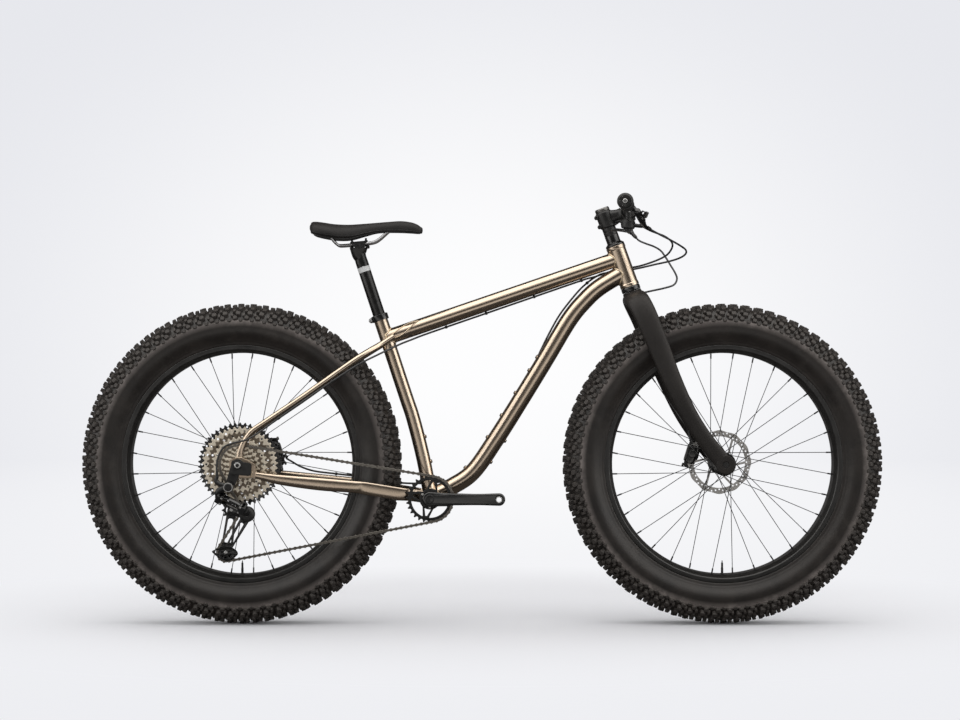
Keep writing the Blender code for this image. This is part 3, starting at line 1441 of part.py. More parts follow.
def front_caliper(materials):
    """The front caliper with the end of its hose, which comes out of the fork's left leg."""
    centre = FRONT_AXLE + Vector((-0.0700, FRONT_DISC_Y, 0.0215))
    mount = FRONT_AXLE + Vector((-0.0300, 0.0800, 0.0420))
    hose_end = tube([Vector(place) for place in FRONT_HOSE_END], HOSE_RADIUS, 6)
    return caliper("front_caliper", centre, FRONT_AXLE, mount, fork_blades(GAP), materials, hose_end)


# Saddle and seat post

POST_BELOW = 0.130
POST_TOP = 0.158
CLAMP_CENTRE = SEAT_TOP + Vector((-0.0510, 0, 0.1780))
RAIL_AXIS = Vector((0.9957, 0, 0.0926)).normalized()
RAIL_APART = 0.0220
RAIL_RADIUS = 0.0035
TILT_RADIUS = 0.0190
TILT_CENTRE = CLAMP_CENTRE + Vector((0, 0, 0.0080))


def seat_post(materials):
    """The post's tube and its head, which is hollowed to seat the clamp's cradle."""
    r = SEAT_POST_RADIUS
    body = turned([(-POST_BELOW, r), (POST_TOP, r)], SEAT_TOP, SEAT_AXIS, 14, ACROSS)
    post = shape_from(body, "seat_post", materials["black_alloy"])
    neck = SEAT_TOP + 0.140 * SEAT_AXIS
    head = CLAMP_CENTRE - 0.0100 * UP
    halves = [(0.0140, 0.0140), (0.0150, 0.0190), (0.0150, 0.0240)]
    join(post, swept([neck, neck.lerp(head, 0.55), head], halves, 10, ACROSS, 0.8))
    seat = TILT_RADIUS + GAP
    return cut(post, turned([(-0.03, seat), (0.03, seat)], TILT_CENTRE, ACROSS, 20))


RAIL_UP = RAIL_AXIS.cross(ACROSS)


def rail_grooves():
    grooves = []
    radius = clear_of(RAIL_RADIUS, 8)
    for side in (-1, 1):
        start = CLAMP_CENTRE + side * RAIL_APART * ACROSS - 0.04 * RAIL_AXIS
        grooves.append(turned([(0, radius), (0.08, radius)], start, RAIL_AXIS, 8, ACROSS))
    return grooves


def saddle_clamp(materials):
    """The cradle under the rails and the plate over them."""
    black = materials["black_alloy"]
    drum = turned([(-0.0280, TILT_RADIUS), (0.0280, TILT_RADIUS)], TILT_CENTRE, ACROSS, 20)
    cradle = shape_from(drum, "clamp_cradle", black)
    above = block(CLAMP_CENTRE + 0.0296 * RAIL_UP, RAIL_AXIS, ACROSS, (0.04, 0.05, 0.0300))
    cut(cradle, above, *rail_grooves())
    over = block(CLAMP_CENTRE + 0.0034 * RAIL_UP, RAIL_AXIS, ACROSS, (0.0200, 0.0280, 0.0031))
    plate = shape_from(over, "clamp_top_plate", black)
    cut(plate, *rail_grooves())
    return [cradle, plate]


RAIL_HALF_PATH = (
    # along, aside and above the middle of the clamp
    (-0.0680, 0.0360, 0.0270),
    (-0.0610, 0.0330, 0.0130),
    (-0.0520, 0.0260, 0.0020),
    (-0.0430, 0.0220, 0.0000),
    (0.0340, 0.0220, 0.0000),
    (0.0480, 0.0210, 0.0040),
    (0.0780, 0.0150, 0.0260),
    (0.0920, 0.0110, 0.0330),
)


def rail_path():
    left = [CLAMP_CENTRE + a * RAIL_AXIS + b * ACROSS + c * RAIL_UP for a, b, c in RAIL_HALF_PATH]
    nose = CLAMP_CENTRE + 0.0990 * RAIL_AXIS + 0.0345 * RAIL_UP
    right = [Vector((p.x, -p.y, p.z)) for p in reversed(left)]
    return [*left, nose, *right]


def rails_shape(grow=0.0):
    """Both rails and the bend that joins them under the saddle's nose."""
    path = rail_path()
    radius = RAIL_RADIUS + grow
    rings = []
    side = UP
    for centre, direction in zip(path, tangents(path)):
        side, other = square_to(direction, side)
        angles = [math.tau * i / 6 for i in range(6)]
        rings.append([centre + radius * (math.cos(a) * side + math.sin(a) * other) for a in angles])
    return loft(rings)


SADDLE_STATIONS = (
    # ahead of the clamp's middle, height of the crown, height of the skirt, half width
    (-0.1185, 0.0490, 0.0330, 0.0420),
    (-0.1160, 0.0540, 0.0260, 0.0560),
    (-0.1070, 0.0555, 0.0215, 0.0660),
    (-0.0880, 0.0535, 0.0170, 0.0705),
    (-0.0580, 0.0492, 0.0123, 0.0680),
    (-0.0220, 0.0483, 0.0124, 0.0535),
    (0.0150, 0.0510, 0.0213, 0.0360),
    (0.0450, 0.0535, 0.0285, 0.0270),
    (0.0750, 0.0560, 0.0300, 0.0225),
    (0.1050, 0.0575, 0.0297, 0.0205),
    (0.1300, 0.0540, 0.0285, 0.0190),
    (0.1470, 0.0470, 0.0275, 0.0160),
    (0.1570, 0.0395, 0.0290, 0.0110),
)


def saddle(materials):
    """The padded seat: wide wings, a slim nose, a channel down its crown and a drawn-in skirt."""
    half_section = (
        # share of the half width, share of the way from the skirt to the crown
        (0.90, 0.00),
        (1.03, 0.26),
        (0.96, 0.62),
        (0.72, 0.88),
        (0.32, 1.00),
        (0.12, 0.95),
    )
    rings = []
    for x, crown, skirt, half in SADDLE_STATIONS:
        side = [(wide * half, skirt + tall * (crown - skirt)) for wide, tall in half_section]
        channel = (0.0, skirt + 0.88 * (crown - skirt))
        shell = [(-0.5 * half, skirt + 0.0070), (0.0, skirt + 0.0085), (0.5 * half, skirt + 0.0070)]
        ring = [*side, channel, *[(-y, z) for y, z in reversed(side)], *shell]
        rings.append([CLAMP_CENTRE + Vector((x, y, z)) for y, z in ring])
    body = shape_from(loft(rings), "saddle", materials["saddle_cover"], 50)
    return cut(body, rails_shape(GAP))


# Hoses and housing, as places that they pass, chosen by hand from the photograph

FRONT_HOSE = (
    (0.4060, 0.1860, 0.9650),
    (0.4230, 0.1670, 0.9560),
    (0.4400, 0.1430, 0.9480),
    (0.4560, 0.1200, 0.9360),
    (0.4670, 0.1000, 0.9180),
    (0.4770, 0.0800, 0.8980),
    (0.4870, 0.0560, 0.8770),
    (0.4900, 0.0360, 0.8610),
    (0.4810, 0.0200, 0.8455),
    (0.4570, 0.0100, 0.8370),
    (0.4300, 0.0040, 0.8310),
    (0.4032, 0.0006, 0.8252),
)
FRONT_HOSE_END = (
    (0.5260, 0.0760, 0.5020),
    (0.5215, 0.0680, 0.4880),
    (0.5220, 0.0655, 0.4700),
    (0.5300, 0.0645, 0.4480),
    (0.5320, 0.0645, 0.4400),
)
REAR_HOSE = (
    (0.4035, -0.1900, 0.9735),
    (0.4190, -0.1750, 0.9660),
    (0.4360, -0.1560, 0.9590),
    (0.4590, -0.1280, 0.9500),
    (0.4860, -0.0940, 0.9380),
    (0.5030, -0.0600, 0.9290),
    (0.5050, -0.0340, 0.9200),
    (0.4930, -0.0090, 0.9115),
    (0.4690, 0.0110, 0.9040),
    (0.4330, 0.0275, 0.8965),
    (0.3960, 0.0340, 0.8880),
    (0.3600, 0.0362, 0.8815),
    (0.3280, 0.0338, 0.8770),
    (0.3030, 0.0290, 0.8740),
    (0.2840, 0.0230, 0.8650),
    (0.2630, 0.0135, 0.8500),
    (0.2380, 0.0065, 0.8260),
    (0.1960, 0.0060, 0.7730),
    (0.1655, 0.0070, 0.7195),
    (0.1400, 0.0160, 0.6665),
    (0.1150, 0.0214, 0.6134),
    (0.0850, 0.0214, 0.5636),
    (0.0550, 0.0214, 0.5137),
    (0.0222, 0.0214, 0.4640),
    (-0.0095, 0.0214, 0.4144),
    (-0.0320, 0.0216, 0.3872),
    (-0.0560, 0.0235, 0.3680),
    (-0.0880, 0.0285, 0.3540),
    (-0.1270, 0.0380, 0.3475),
    (-0.1650, 0.0490, 0.3455),
    (-0.2060, 0.0600, 0.3465),
    (-0.2600, 0.0650, 0.3540),
    (-0.3180, 0.0700, 0.3625),
    (-0.3700, 0.0745, 0.3685),
    (-0.4250, 0.0800, 0.3750),
    (-0.4600, 0.0830, 0.3860),
    (-0.4830, 0.0835, 0.3990),
    (-0.4985, 0.0835, 0.4080),
)
SHIFT_HOUSING = (
    (0.3872, -0.1820, 0.9792),
    (0.4080, -0.1680, 0.9700),
    (0.4290, -0.1440, 0.9640),
    (0.4470, -0.1160, 0.9590),
    (0.4640, -0.0880, 0.9495),
    (0.4705, -0.0590, 0.9390),
    (0.4660, -0.0300, 0.9255),
    (0.4550, -0.0100, 0.9150),
    (0.4310, 0.0120, 0.9040),
    (0.3940, 0.0262, 0.8925),
    (0.3600, 0.0295, 0.8870),
    (0.3260, 0.0272, 0.8800),
    (0.3000, 0.0215, 0.8715),
    (0.2830, 0.0140, 0.8655),
    (0.2660, 0.0060, 0.8610),
    (0.2480, 0.0000, 0.8553),
    (0.1300, 0.0000, 0.8147),
    (0.0100, 0.0000, 0.7734),
    (-0.0900, 0.0000, 0.7390),
    (-0.1500, -0.0020, 0.7180),
    (-0.1750, -0.0110, 0.7080),
    (-0.2000, -0.0260, 0.6980),
    (-0.2270, -0.0420, 0.6850),
    (-0.2600, -0.0590, 0.6690),
    (-0.3080, -0.0760, 0.6440),
    (-0.3700, -0.0840, 0.6040),
    (-0.4400, -0.0930, 0.5560),
    (-0.5000, -0.1000, 0.5140),
    (-0.5450, -0.1110, 0.4810),
    (-0.5760, -0.1210, 0.4620),
    (-0.6080, -0.1250, 0.4540),
    (-0.6320, -0.1250, 0.4430),
    (-0.6460, -0.1240, 0.4180),
    (-0.6490, -0.1235, 0.3920),
    (-0.6480, -0.1235, 0.3740),
)


def hose(name, places, radius, materials):
    """A round hose along a smooth curve through the places that it passes."""
    points = thinned(smooth([Vector(place) for place in places], 2), 0.0018)
    curve = bpy.data.curves.new(name, "CURVE")
    curve.dimensions = "3D"
    spline = curve.splines.new("POLY")
    spline.points.add(len(points) - 1)
    for target, point in zip(spline.points, points):
        target.co = (*point, 1.0)
    curve.bevel_depth = radius
    curve.bevel_resolution = 1
    curve.use_fill_caps = True
    curve.materials.append(materials["hose"])
    obj = bpy.data.objects.new(name, curve)
    bpy.context.scene.collection.objects.link(obj)
    return obj


# Assembly


def hang(pieces, empty):
    """Parent pieces to an empty and leave them where they are."""
    place = empty.matrix_world.translation
    for piece in pieces:
        piece.parent = empty
        piece.location = -place


def pivot(name, place, parent=None):
    """An empty on a joint's axis."""
    empty = bpy.data.objects.new(name, None)
    empty.empty_display_size = 0.03
    bpy.context.scene.collection.objects.link(empty)
    empty.parent = parent
    empty.location = place - (parent.matrix_world.translation if parent else Vector())
    bpy.context.view_layer.update()
    return empty


def main():
    clear_scene()
    materials = finishes()
    swing = cage_swing()
    pieces = chain_pieces(chain_circles(swing))
    cog_phase, guide_phase, tension_phase, ring_phase = tooth_phases(pieces)
    guide, tension = pulley_centres(swing)

    frame_tubes(materials)
    chain_stay("drive_chain_stay", -1, materials)
    chain_stay("left_chain_stay", 1, materials)
    seat_stay("drive_seat_stay", -1, materials)
    seat_stay("left_seat_stay", 1, materials)
    seat_collar(materials)
    lower_cup(materials)
    bottom_bracket(materials)
    rear_axle_ends = (DROPOUT_OUTER, -DROPOUT_OUTER - HANGER_THICKNESS - 2 * GAP - AXLE_HEAD)
    axle("rear_axle", REAR_AXLE, rear_axle_ends, REAR_AXLE_RADIUS, materials)
    hanger(materials)
    b_knuckle(materials)
    chain(materials, pieces)
    hose("rear_brake_hose", REAR_HOSE, HOSE_RADIUS, materials)
    hose("shift_housing", SHIFT_HOUSING, HOSE_RADIUS, materials)
    rear_caliper(materials)

    steer = pivot("steer_pivot", HEAD_LOW)
    front_face = FRONT_HUB_WIDTH / 2 + FORK_FOOT_THICKNESS
    front_axle_ends = (-front_face, front_face + GAP + AXLE_HEAD)
    steering = [
        headset_stack(materials),
        fork(materials),
        *stem_parts(materials),
        handlebar(materials),
        grip("drive_grip", -1, materials),
        grip("left_grip", 1, materials),
        master_cylinder("drive_master_cylinder", -1, materials),
        master_cylinder("left_master_cylinder", 1, materials),
        axle("front_axle", FRONT_AXLE, front_axle_ends, FRONT_AXLE_RADIUS, materials),
        hose("front_brake_hose", FRONT_HOSE, HOSE_RADIUS, materials),
        front_caliper(materials),
        shifter_pod(materials),
    ]
    hang(steering, steer)
    for name, side in (("drive_brake_lever", -1), ("left_brake_lever", 1)):
        lever, hinge = brake_lever(name, side, materials)
        hang([lever], pivot(name + "_pivot", hinge, steer))
    for name, below, turn, length in PADDLES:
        paddle, root = shift_paddle(name, below, turn, length, materials)
        hang([paddle], pivot(name + "_pivot", root, steer))
    front = pivot("front_wheel_pivot", FRONT_AXLE, steer)
    front_flanges = ((-1, -0.0520), (1, 0.0400))
    front_ends = (GAP - FRONT_HUB_WIDTH / 2, FRONT_HUB_WIDTH / 2 - GAP)
    front_parts = [
        tyre("front_tyre", FRONT_AXLE, materials),
        rim("front_rim", FRONT_AXLE, materials),
        hub("front_hub", FRONT_AXLE, front_flanges, front_ends, FRONT_AXLE_RADIUS, materials),
        rotor("front_rotor", FRONT_AXLE, FRONT_DISC_Y, materials),
    ]
    hang(front_parts, front)

    rear = pivot("rear_wheel_pivot", REAR_AXLE)
    rear_flanges = ((-1, -0.0440), (1, 0.0600))
    rear_ends = (-0.0511, REAR_HUB_WIDTH / 2 - GAP)
    rear_parts = [
        tyre("rear_tyre", REAR_AXLE, materials),
        rim("rear_rim", REAR_AXLE, materials),
        hub("rear_hub", REAR_AXLE, rear_flanges, rear_ends, REAR_AXLE_RADIUS, materials),
        rotor("rear_rotor", REAR_AXLE, REAR_DISC_Y, materials),
    ]
    hang(rear_parts, rear)
    hang([cassette(materials, cog_phase)], pivot("cassette_pivot", REAR_AXLE))
    hang([*crank_arms(materials), chainring(materials, ring_phase)], pivot("crank_pivot", BRACKET))

    outer_pivot = pivot("outer_link_pivot", LINK_PIVOT - LINK_HALF_APART * LINK_TRAVEL)
    hang([derailleur_link("outer_link", -LINK_HALF_APART, materials)], outer_pivot)
    inner_pivot = pivot("inner_link_pivot", LINK_PIVOT + LINK_HALF_APART * LINK_TRAVEL)
    hang([derailleur_link("inner_link", LINK_HALF_APART, materials)], inner_pivot)
    outer_end = LINK_PIVOT - LINK_HALF_APART * LINK_TRAVEL + LINK_LENGTH * LINK_ALONG
    knuckle_pivot = pivot("p_knuckle_pivot", outer_end, outer_pivot)
    hang([p_knuckle(materials)], knuckle_pivot)
    cage_pivot = pivot("cage_pivot", CAGE_PIVOT, knuckle_pivot)
    hang([cage(materials, swing)], cage_pivot)
    for name, place, phase in (("guide", guide, guide_phase), ("tension", tension, tension_phase)):
        wheel = pulley(name + "_pulley", place, phase, materials)
        hang([wheel], pivot(name + "_pulley_pivot", place, cage_pivot))

    post = pivot("seat_post_pivot", SEAT_TOP)
    hang([seat_post(materials)], post)
    tilt = pivot("saddle_tilt_pivot", TILT_CENTRE, post)
    hang(saddle_clamp(materials), tilt)
    slide = pivot("saddle_slide_pivot", CLAMP_CENTRE, tilt)
    hang([saddle(materials), shape_from(rails_shape(), "saddle_rails", materials["steel"])], slide)


main()
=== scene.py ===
"""The looks of a fat tyre bicycle with a bare metal frame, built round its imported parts.

+X points forward, +Y to the rider's left and +Z up, in metres. The cranks and the chain are at -Y,
which is the side that the camera sees. Surfaces are grids or profiles worked out as whole arrays.
"""

import math

import bpy
import numpy as np
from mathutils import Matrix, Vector
from mathutils.geometry import tessellate_polygon

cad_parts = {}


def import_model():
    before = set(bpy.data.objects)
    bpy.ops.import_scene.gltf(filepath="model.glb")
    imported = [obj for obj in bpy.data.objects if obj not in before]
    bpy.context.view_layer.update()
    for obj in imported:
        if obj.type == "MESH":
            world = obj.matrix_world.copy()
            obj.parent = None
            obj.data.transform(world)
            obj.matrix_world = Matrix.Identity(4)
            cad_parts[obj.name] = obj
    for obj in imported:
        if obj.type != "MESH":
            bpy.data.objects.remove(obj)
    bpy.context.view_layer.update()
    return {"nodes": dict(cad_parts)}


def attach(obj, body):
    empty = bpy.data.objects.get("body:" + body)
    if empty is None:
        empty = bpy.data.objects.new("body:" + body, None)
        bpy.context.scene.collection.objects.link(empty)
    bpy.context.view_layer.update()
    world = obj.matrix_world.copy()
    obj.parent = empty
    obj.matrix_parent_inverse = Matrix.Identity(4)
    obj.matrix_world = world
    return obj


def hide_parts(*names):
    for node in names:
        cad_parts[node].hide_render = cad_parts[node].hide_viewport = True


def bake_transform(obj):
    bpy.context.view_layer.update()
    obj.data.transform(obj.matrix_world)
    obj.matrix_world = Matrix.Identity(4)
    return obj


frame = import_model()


def at(*place):
    """A place or a direction as an array."""
    return np.array(place, float)


# Places of the bicycle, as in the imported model
ACROSS = at(0, 1, 0)
UP = at(0, 0, 1)
REAR_AXLE = at(-0.59956, 0, 0.3985)
FRONT_AXLE = at(0.59956, 0, 0.3985)
BRACKET = at(-0.12896, 0, 0.3140)
STEER_AXIS = at(-0.34202, 0, 0.93969)
STEER_FORWARD = at(0.93969, 0, 0.34202)
HEAD_LOW = at(0.36934, 0, 0.84041)
SEAT_TOP = at(-0.25721, 0, 0.76765)
SEAT_AXIS = at(-0.31234, 0, 0.94997)
BAR_CENTRE = at(0.36529, 0, 1.02601)
CLAMP_CENTRE = at(-0.30821, 0, 0.94565)
CHAIN_LINE = 0.0735

# Sizes
RIM_HALF_WIDTH = 0.040
HEAD_TUBE_RADIUS = 0.0232
HEAD_TUBE_LENGTH = 0.107
TOP_TUBE_RADIUS = 0.01905
DOWN_TUBE_RADIUS = 0.0215
SEAT_TUBE_RADIUS = 0.01745
SEAT_POST_RADIUS = 0.01545
SEAT_STAY_RADIUS = 0.0075
SHELL_RADIUS = 0.0225
SHELL_HALF_WIDTH = 0.050
DROPOUT_INNER = 0.0985
DROPOUT_OUTER = 0.1055
HOSE_RADIUS = 0.0024
GRIP_BORE = 0.0114
STEERER_BORE = 0.0150
AXLE_HOLE = 0.0064
BRIDGE_RADIUS = 0.0045
# A direction that no edge of a bolt or a bead lies along.
SLANTED = at(0.13, 0.52, 0.84)


# Vectors and paths


def unit(v):
    """Vectors divided by their own lengths."""
    return v / np.linalg.norm(v, axis=-1, keepdims=True)


cross = np.cross


def turns(count):
    """Angles at even steps, once round a circle."""
    return np.arange(count) * math.tau / count


def oval(axes, wide, tall, angle, power=1.0):
    """Offsets round an oval: wide * cos^power along the first axis and tall * sin^power along the
    second, each with its own sign."""
    u, v = (np.sign(f) * np.abs(f) ** power for f in (np.cos(angle), np.sin(angle)))
    side, other = (axis[..., None, :] for axis in axes)
    return wide * u[:, None] * side + tall * v[:, None] * other


def tangents(path, closed=False):
    """Direction at each place of a path: the step from the place before to the place after."""
    if closed:
        return unit(np.roll(path, -1, 0) - np.roll(path, 1, 0))
    ends = np.concatenate([path[:1], path, path[-1:]])
    return unit(ends[2:] - ends[:-2])


def square_axes(directions, hint):
    """Two unit vectors square to each direction: the hint less its part along, and their cross."""
    side = unit(hint - (hint * directions).sum(-1, keepdims=True) * directions)
    return side, cross(directions, side)


def carried_axes(directions, hint):
    """As square_axes, but each place takes its hint from the place before, so nothing twists."""
    sides = []
    for direction in directions:
        hint = unit(hint - hint.dot(direction) * direction)
        sides.append(hint)
    sides = np.array(sides)
    return sides, cross(directions, sides)


def smooth_path(places, steps=6):
    """A Catmull-Rom curve: each span is a cubic whose ends have the slopes of their neighbours."""
    places = np.array(places, float)
    ends = np.concatenate([[2 * places[0] - places[1]], places, [2 * places[-1] - places[-2]]])
    a, b, c, d = (ends[k : k + len(places) - 1, None] for k in range(4))
    t = (np.arange(steps) / steps)[None, :, None]
    curve = 0.5 * (2 * b + (c - a) * t + (2 * a - 5 * b + 4 * c - d) * t**2 + (3 * b - a - 3 * c + d) * t**3)
    return np.concatenate([curve.reshape(-1, places.shape[1]), places[-1:]])


def even_path(path, step):
    """The same path with places at an even distance along it."""
    lengths = np.concatenate([[0], np.cumsum(np.linalg.norm(np.diff(path, axis=0), axis=1))])
    count = max(2, int(round(lengths[-1] / step)) + 1)
    marks = np.linspace(0, lengths[-1], count)
    return np.stack([np.interp(marks, lengths, path[:, k]) for k in range(path.shape[1])], 1)


def spread(values, count):
    """A short list of values drawn out evenly to so many, straight between each two."""
    return np.interp(np.linspace(0, len(values) - 1, count), np.arange(len(values)), values)


def eased(corners, reach, steps=3, closed=False):
    """A profile whose corners are rounded: each gives way to a parabola that starts and ends a
    reach before and after it, or 0.45 of the side where that is less."""
    corners = np.array(corners, float)
    before, after = np.roll(corners, 1, 0) - corners, np.roll(corners, -1, 0) - corners
    first = np.linalg.norm(before, axis=1, keepdims=True)
    second = np.linalg.norm(after, axis=1, keepdims=True)
    start = corners + before / first * np.minimum(reach, 0.45 * first)
    end = corners + after / second * np.minimum(reach, 0.45 * second)
    t = np.linspace(0, 1, steps + 1)[None, :, None]
    curve = (1 - t) ** 2 * start[:, None] + 2 * t * (1 - t) * corners[:, None] + t**2 * end[:, None]
    if closed:
        return curve.reshape(-1, corners.shape[1])
    middle = curve[1:-1].reshape(-1, corners.shape[1])
    return np.concatenate([corners[:1], middle, corners[-1:]])


# Forms: points, faces and the place of each face corner on the surface, in metres


class Form:
    def __init__(self, points, quads, others=(), quad_places=None):
        self.points = np.array(points, float).reshape(-1, 3)
        self.quads = np.array(quads, int).reshape(-1, 4)
        self.others = [list(map(int, face)) for face in others]
        if quad_places is None:
            quad_places = np.zeros((len(self.quads), 4, 2))
        self.quad_places = quad_places

    def turned_out(self):
        """Faces reversed if the volume, summed from the cross products of their corners, is negative."""
        p = self.points - self.points.mean(0)
        a, b, c, d = (p[self.quads[:, k]] for k in range(4))
        volume = (a * (cross(b, c) + cross(c, d))).sum()
        for face in self.others:
            q = p[face]
            volume += (q[0] * cross(q[1:-1], q[2:])).sum()
        if volume < 0:
            self.quads = self.quads[:, ::-1]
            self.quad_places = self.quad_places[:, ::-1]
            self.others = [face[::-1] for face in self.others]
        return self


def quads_between(low, high):
    """Quads between rings of point numbers and the rings that follow them."""
    return np.stack([low, np.roll(low, -1, 1), np.roll(high, -1, 1), high], -1).reshape(-1, 4)


def together(*forms):
    """Several forms as one."""
    points, quads, others, places, start = [], [], [], [], 0
    for form in forms:
        points.append(form.points)
        quads.append(form.quads + start)
        others += [[i + start for i in face] for face in form.others]
        places.append(form.quad_places)
        start += len(form.points)
    return Form(np.concatenate(points), np.concatenate(quads), others, np.concatenate(places))


def skin(grid, closed=False):
    """Quads between the neighbours of a grid of rows of points. Each row is a ring. The last row
    meets the first if it is closed, and otherwise a flat cap closes each end."""
    rows, columns = grid.shape[:2]
    index = np.arange(rows * columns).reshape(rows, columns)
    low = index if closed else index[:-1]
    high = np.roll(index, -1, 0) if closed else index[1:]
    round_steps = np.linalg.norm(np.roll(grid, -1, 1) - grid, axis=2).mean(0)
    u = np.concatenate([[0], np.cumsum(round_steps)])
    step = np.linalg.norm(np.roll(grid, -1, 0) - grid, axis=2).max(1)
    v = np.concatenate([[0], np.cumsum(step)])
    i, j = np.meshgrid(np.arange(len(low)), np.arange(columns), indexing="ij")
    corners = [(u[j], v[i]), (u[j + 1], v[i]), (u[j + 1], v[i + 1]), (u[j], v[i + 1])]
    places = np.stack([np.stack(corner, -1) for corner in corners], -2).reshape(-1, 4, 2)
    others = [] if closed else [index[0, ::-1], index[-1]]
    return Form(grid, quads_between(low, high), others, places).turned_out()


def revolve(profile, centre, axis, sides=48, hint=UP, closed=False):
    """A turned form: the profile's (distance along the axis, radius) goes round as
    centre + along * axis + radius * (cos * side + sin * other)."""
    profile = np.array(profile, float)
    rim = oval(square_axes(unit(axis), hint), 1.0, 1.0, turns(sides))
    grid = centre + profile[:, 0, None, None] * unit(axis) + profile[:, 1, None, None] * rim
    return skin(grid, closed)


def turned_ring(corners, reach, centre, axis, sides, hint=UP, steps=3):
    """A closed ring turned from a section whose corners are eased."""
    return revolve(eased(corners, reach, steps, closed=True), centre, axis, sides, hint, closed=True)


def turned_cap(corners, reach, centre, axis, sides, hint=UP, steps=3):
    """A solid turned from a line with eased corners, with a flat cap at each end."""
    return revolve(eased(corners, reach, steps), centre, axis, sides, hint)


def screw_thread(levels, half, foot, crest, centre, axis, sides, hint=UP):
    """Thin ridges round an axis, one at each level, whose sections rise from a foot to a crest."""
    rows = ([(level - half, foot), (level, crest), (level + half, foot)] for level in levels)
    return [revolve(row, centre, axis, sides, hint, closed=True) for row in rows]


def sweep(path, wide, tall, sides=24, hint=ACROSS, power=1.0, closed=False, carried=False):
    """A bar along a path. Its section is the oval wide * cos^power, tall * sin^power, whose sizes
    may be short lists that are drawn out along it. A power under 1 squares it off."""
    path = np.array(path, float)
    directions = tangents(path, closed)
    axes = carried_axes(directions, hint) if carried else square_axes(directions, hint)
    wide, tall = (spread(np.atleast_1d(size), len(path))[:, None, None] for size in (wide, tall))
    angle = (np.arange(sides) + 0.5) * math.tau / sides
    return skin(path[:, None] + oval(axes, wide, tall, angle, power), closed)


def bar(path, wide, tall, sides=20, hint=ACROSS, power=0.8, nose=0.35, carried=False, step=0.003):
    """A sweep with rounded ends: over the last nose * width its section shrinks as a quarter circle."""
    path = even_path(np.array(path, float), step)
    count = len(path)
    wide, tall = spread(np.atleast_1d(wide), count), spread(np.atleast_1d(tall), count)
    reach = nose * max(wide[0], tall[0], wide[-1], tall[-1])
    lead = reach * (1 - np.cos(np.linspace(0, math.pi / 2, 6)[:-1]))
    lengths = np.concatenate([[0], np.cumsum(np.linalg.norm(np.diff(path, axis=0), axis=1))])
    marks = np.unique(np.concatenate([lead, lengths, lengths[-1] - lead]))
    path = np.stack([np.interp(marks, lengths, path[:, k]) for k in range(3)], 1)
    near = np.clip(np.minimum(marks, marks[-1] - marks) / reach, 0, 1)
    shrink = 0.35 + 0.65 * np.sqrt(1 - (1 - near) ** 2)
    wide, tall = np.interp(marks, lengths, wide) * shrink, np.interp(marks, lengths, tall) * shrink
    return sweep(path, wide, tall, sides, hint, power, carried=carried)


def lug(place, line, start, end, wide, tall, hint=ACROSS, power=0.8, nose=0.3, sides=28, step=0.001):
    """A short rounded block along a line, from a start to an end past a place."""
    return bar([place + start * line, place + end * line], wide, tall, sides, hint, power, nose, step=step)


def rods(starts, ends, radius, sides=8):
    """Straight round bars between two lists of places, all worked out together."""
    starts, ends = np.array(starts, float), np.array(ends, float)
    directions = unit(ends - starts)
    hint = np.where(np.abs(directions[:, 1:2]) < 0.9, ACROSS, UP)
    rim = oval(square_axes(directions, hint), radius, radius, turns(sides))
    grid = np.stack([starts[:, None] + rim, ends[:, None] + rim], 1)
    index = np.arange(grid[..., 0].size).reshape(len(starts), 2, sides)
    low, high = index[:, 0], index[:, 1]
    return Form(grid, quads_between(low, high), [*low[:, ::-1], *high]).turned_out()


def inset(loop, amount):
    """A closed outline moved to its left by an amount: each corner slides along its mitre."""
    before, after = unit(loop - np.roll(loop, 1, 0)), unit(np.roll(loop, -1, 0) - loop)
    normal = unit(np.stack([-(before + after)[:, 1], (before + after)[:, 0]], 1) + 1e-12)
    left = np.stack([-before[:, 1], before[:, 0]], 1)
    stretch = np.clip((normal * left).sum(1, keepdims=True), 0.5, 1)
    return loop + amount * normal / stretch


def winding(loop):
    """The sign of a closed outline's area, which is 1 where it runs anticlockwise."""
    return np.sign((loop[:, 0] * np.roll(loop[:, 1], -1) - np.roll(loop[:, 0], -1) * loop[:, 1]).sum())


def plate(loops, low, high, edge=0.0003, steps=1):
    """A plate square to Y. The first loop of (x, z) is its outline and the others are holes. Its
    edges are rounded by an edge: step k of the quarter circle insets by 1 - cos and rises by sin."""
    loops = [np.array(loop, float) for loop in loops]
    loops = [loop if (winding(loop) > 0) == (k == 0) else loop[::-1] for k, loop in enumerate(loops)]
    turn = np.linspace(0, math.pi / 2, steps + 1)
    levels = [(edge * (1 - math.sin(a)), low + edge * (1 - math.cos(a))) for a in turn]
    levels += [(edge * (1 - math.sin(a)), high - edge * (1 - math.cos(a))) for a in turn[::-1]]
    points, quads, start = [], [], 0
    tops = []
    for loop in loops:
        rows = [
            np.stack([*inset(loop, amount).T, np.full(len(loop), y)], 1)[:, [0, 2, 1]]
            for amount, y in levels
        ]
        index = start + np.arange(len(rows) * len(loop)).reshape(len(rows), len(loop))
        quads.append(
            np.stack(
                [index[:-1], index[1:], np.roll(index[1:], -1, 1), np.roll(index[:-1], -1, 1)], -1
            ).reshape(-1, 4)
        )
        points += rows
        tops.append((index[0], index[-1], rows[0]))
        start += index.size
    flat = [[Vector((x, z, 0)) for x, _, z in row] for _, _, row in tops]
    below, above = (np.concatenate([top[k] for top in tops]) for k in (0, 1))
    others = []
    for a, b, c in tessellate_polygon(flat):
        others += [(below[a], below[b], below[c]), (above[c], above[b], above[a])]
    corner = np.concatenate([row for _, _, row in tops])
    a, b, c = (corner[[t[k] for t in tessellate_polygon(flat)[:1]]] for k in range(3))
    if cross(b - a, c - a)[0, 1] > 0:
        others = [face[::-1] for face in others]
    return Form(np.concatenate(points), np.concatenate(quads), others).turned_out()


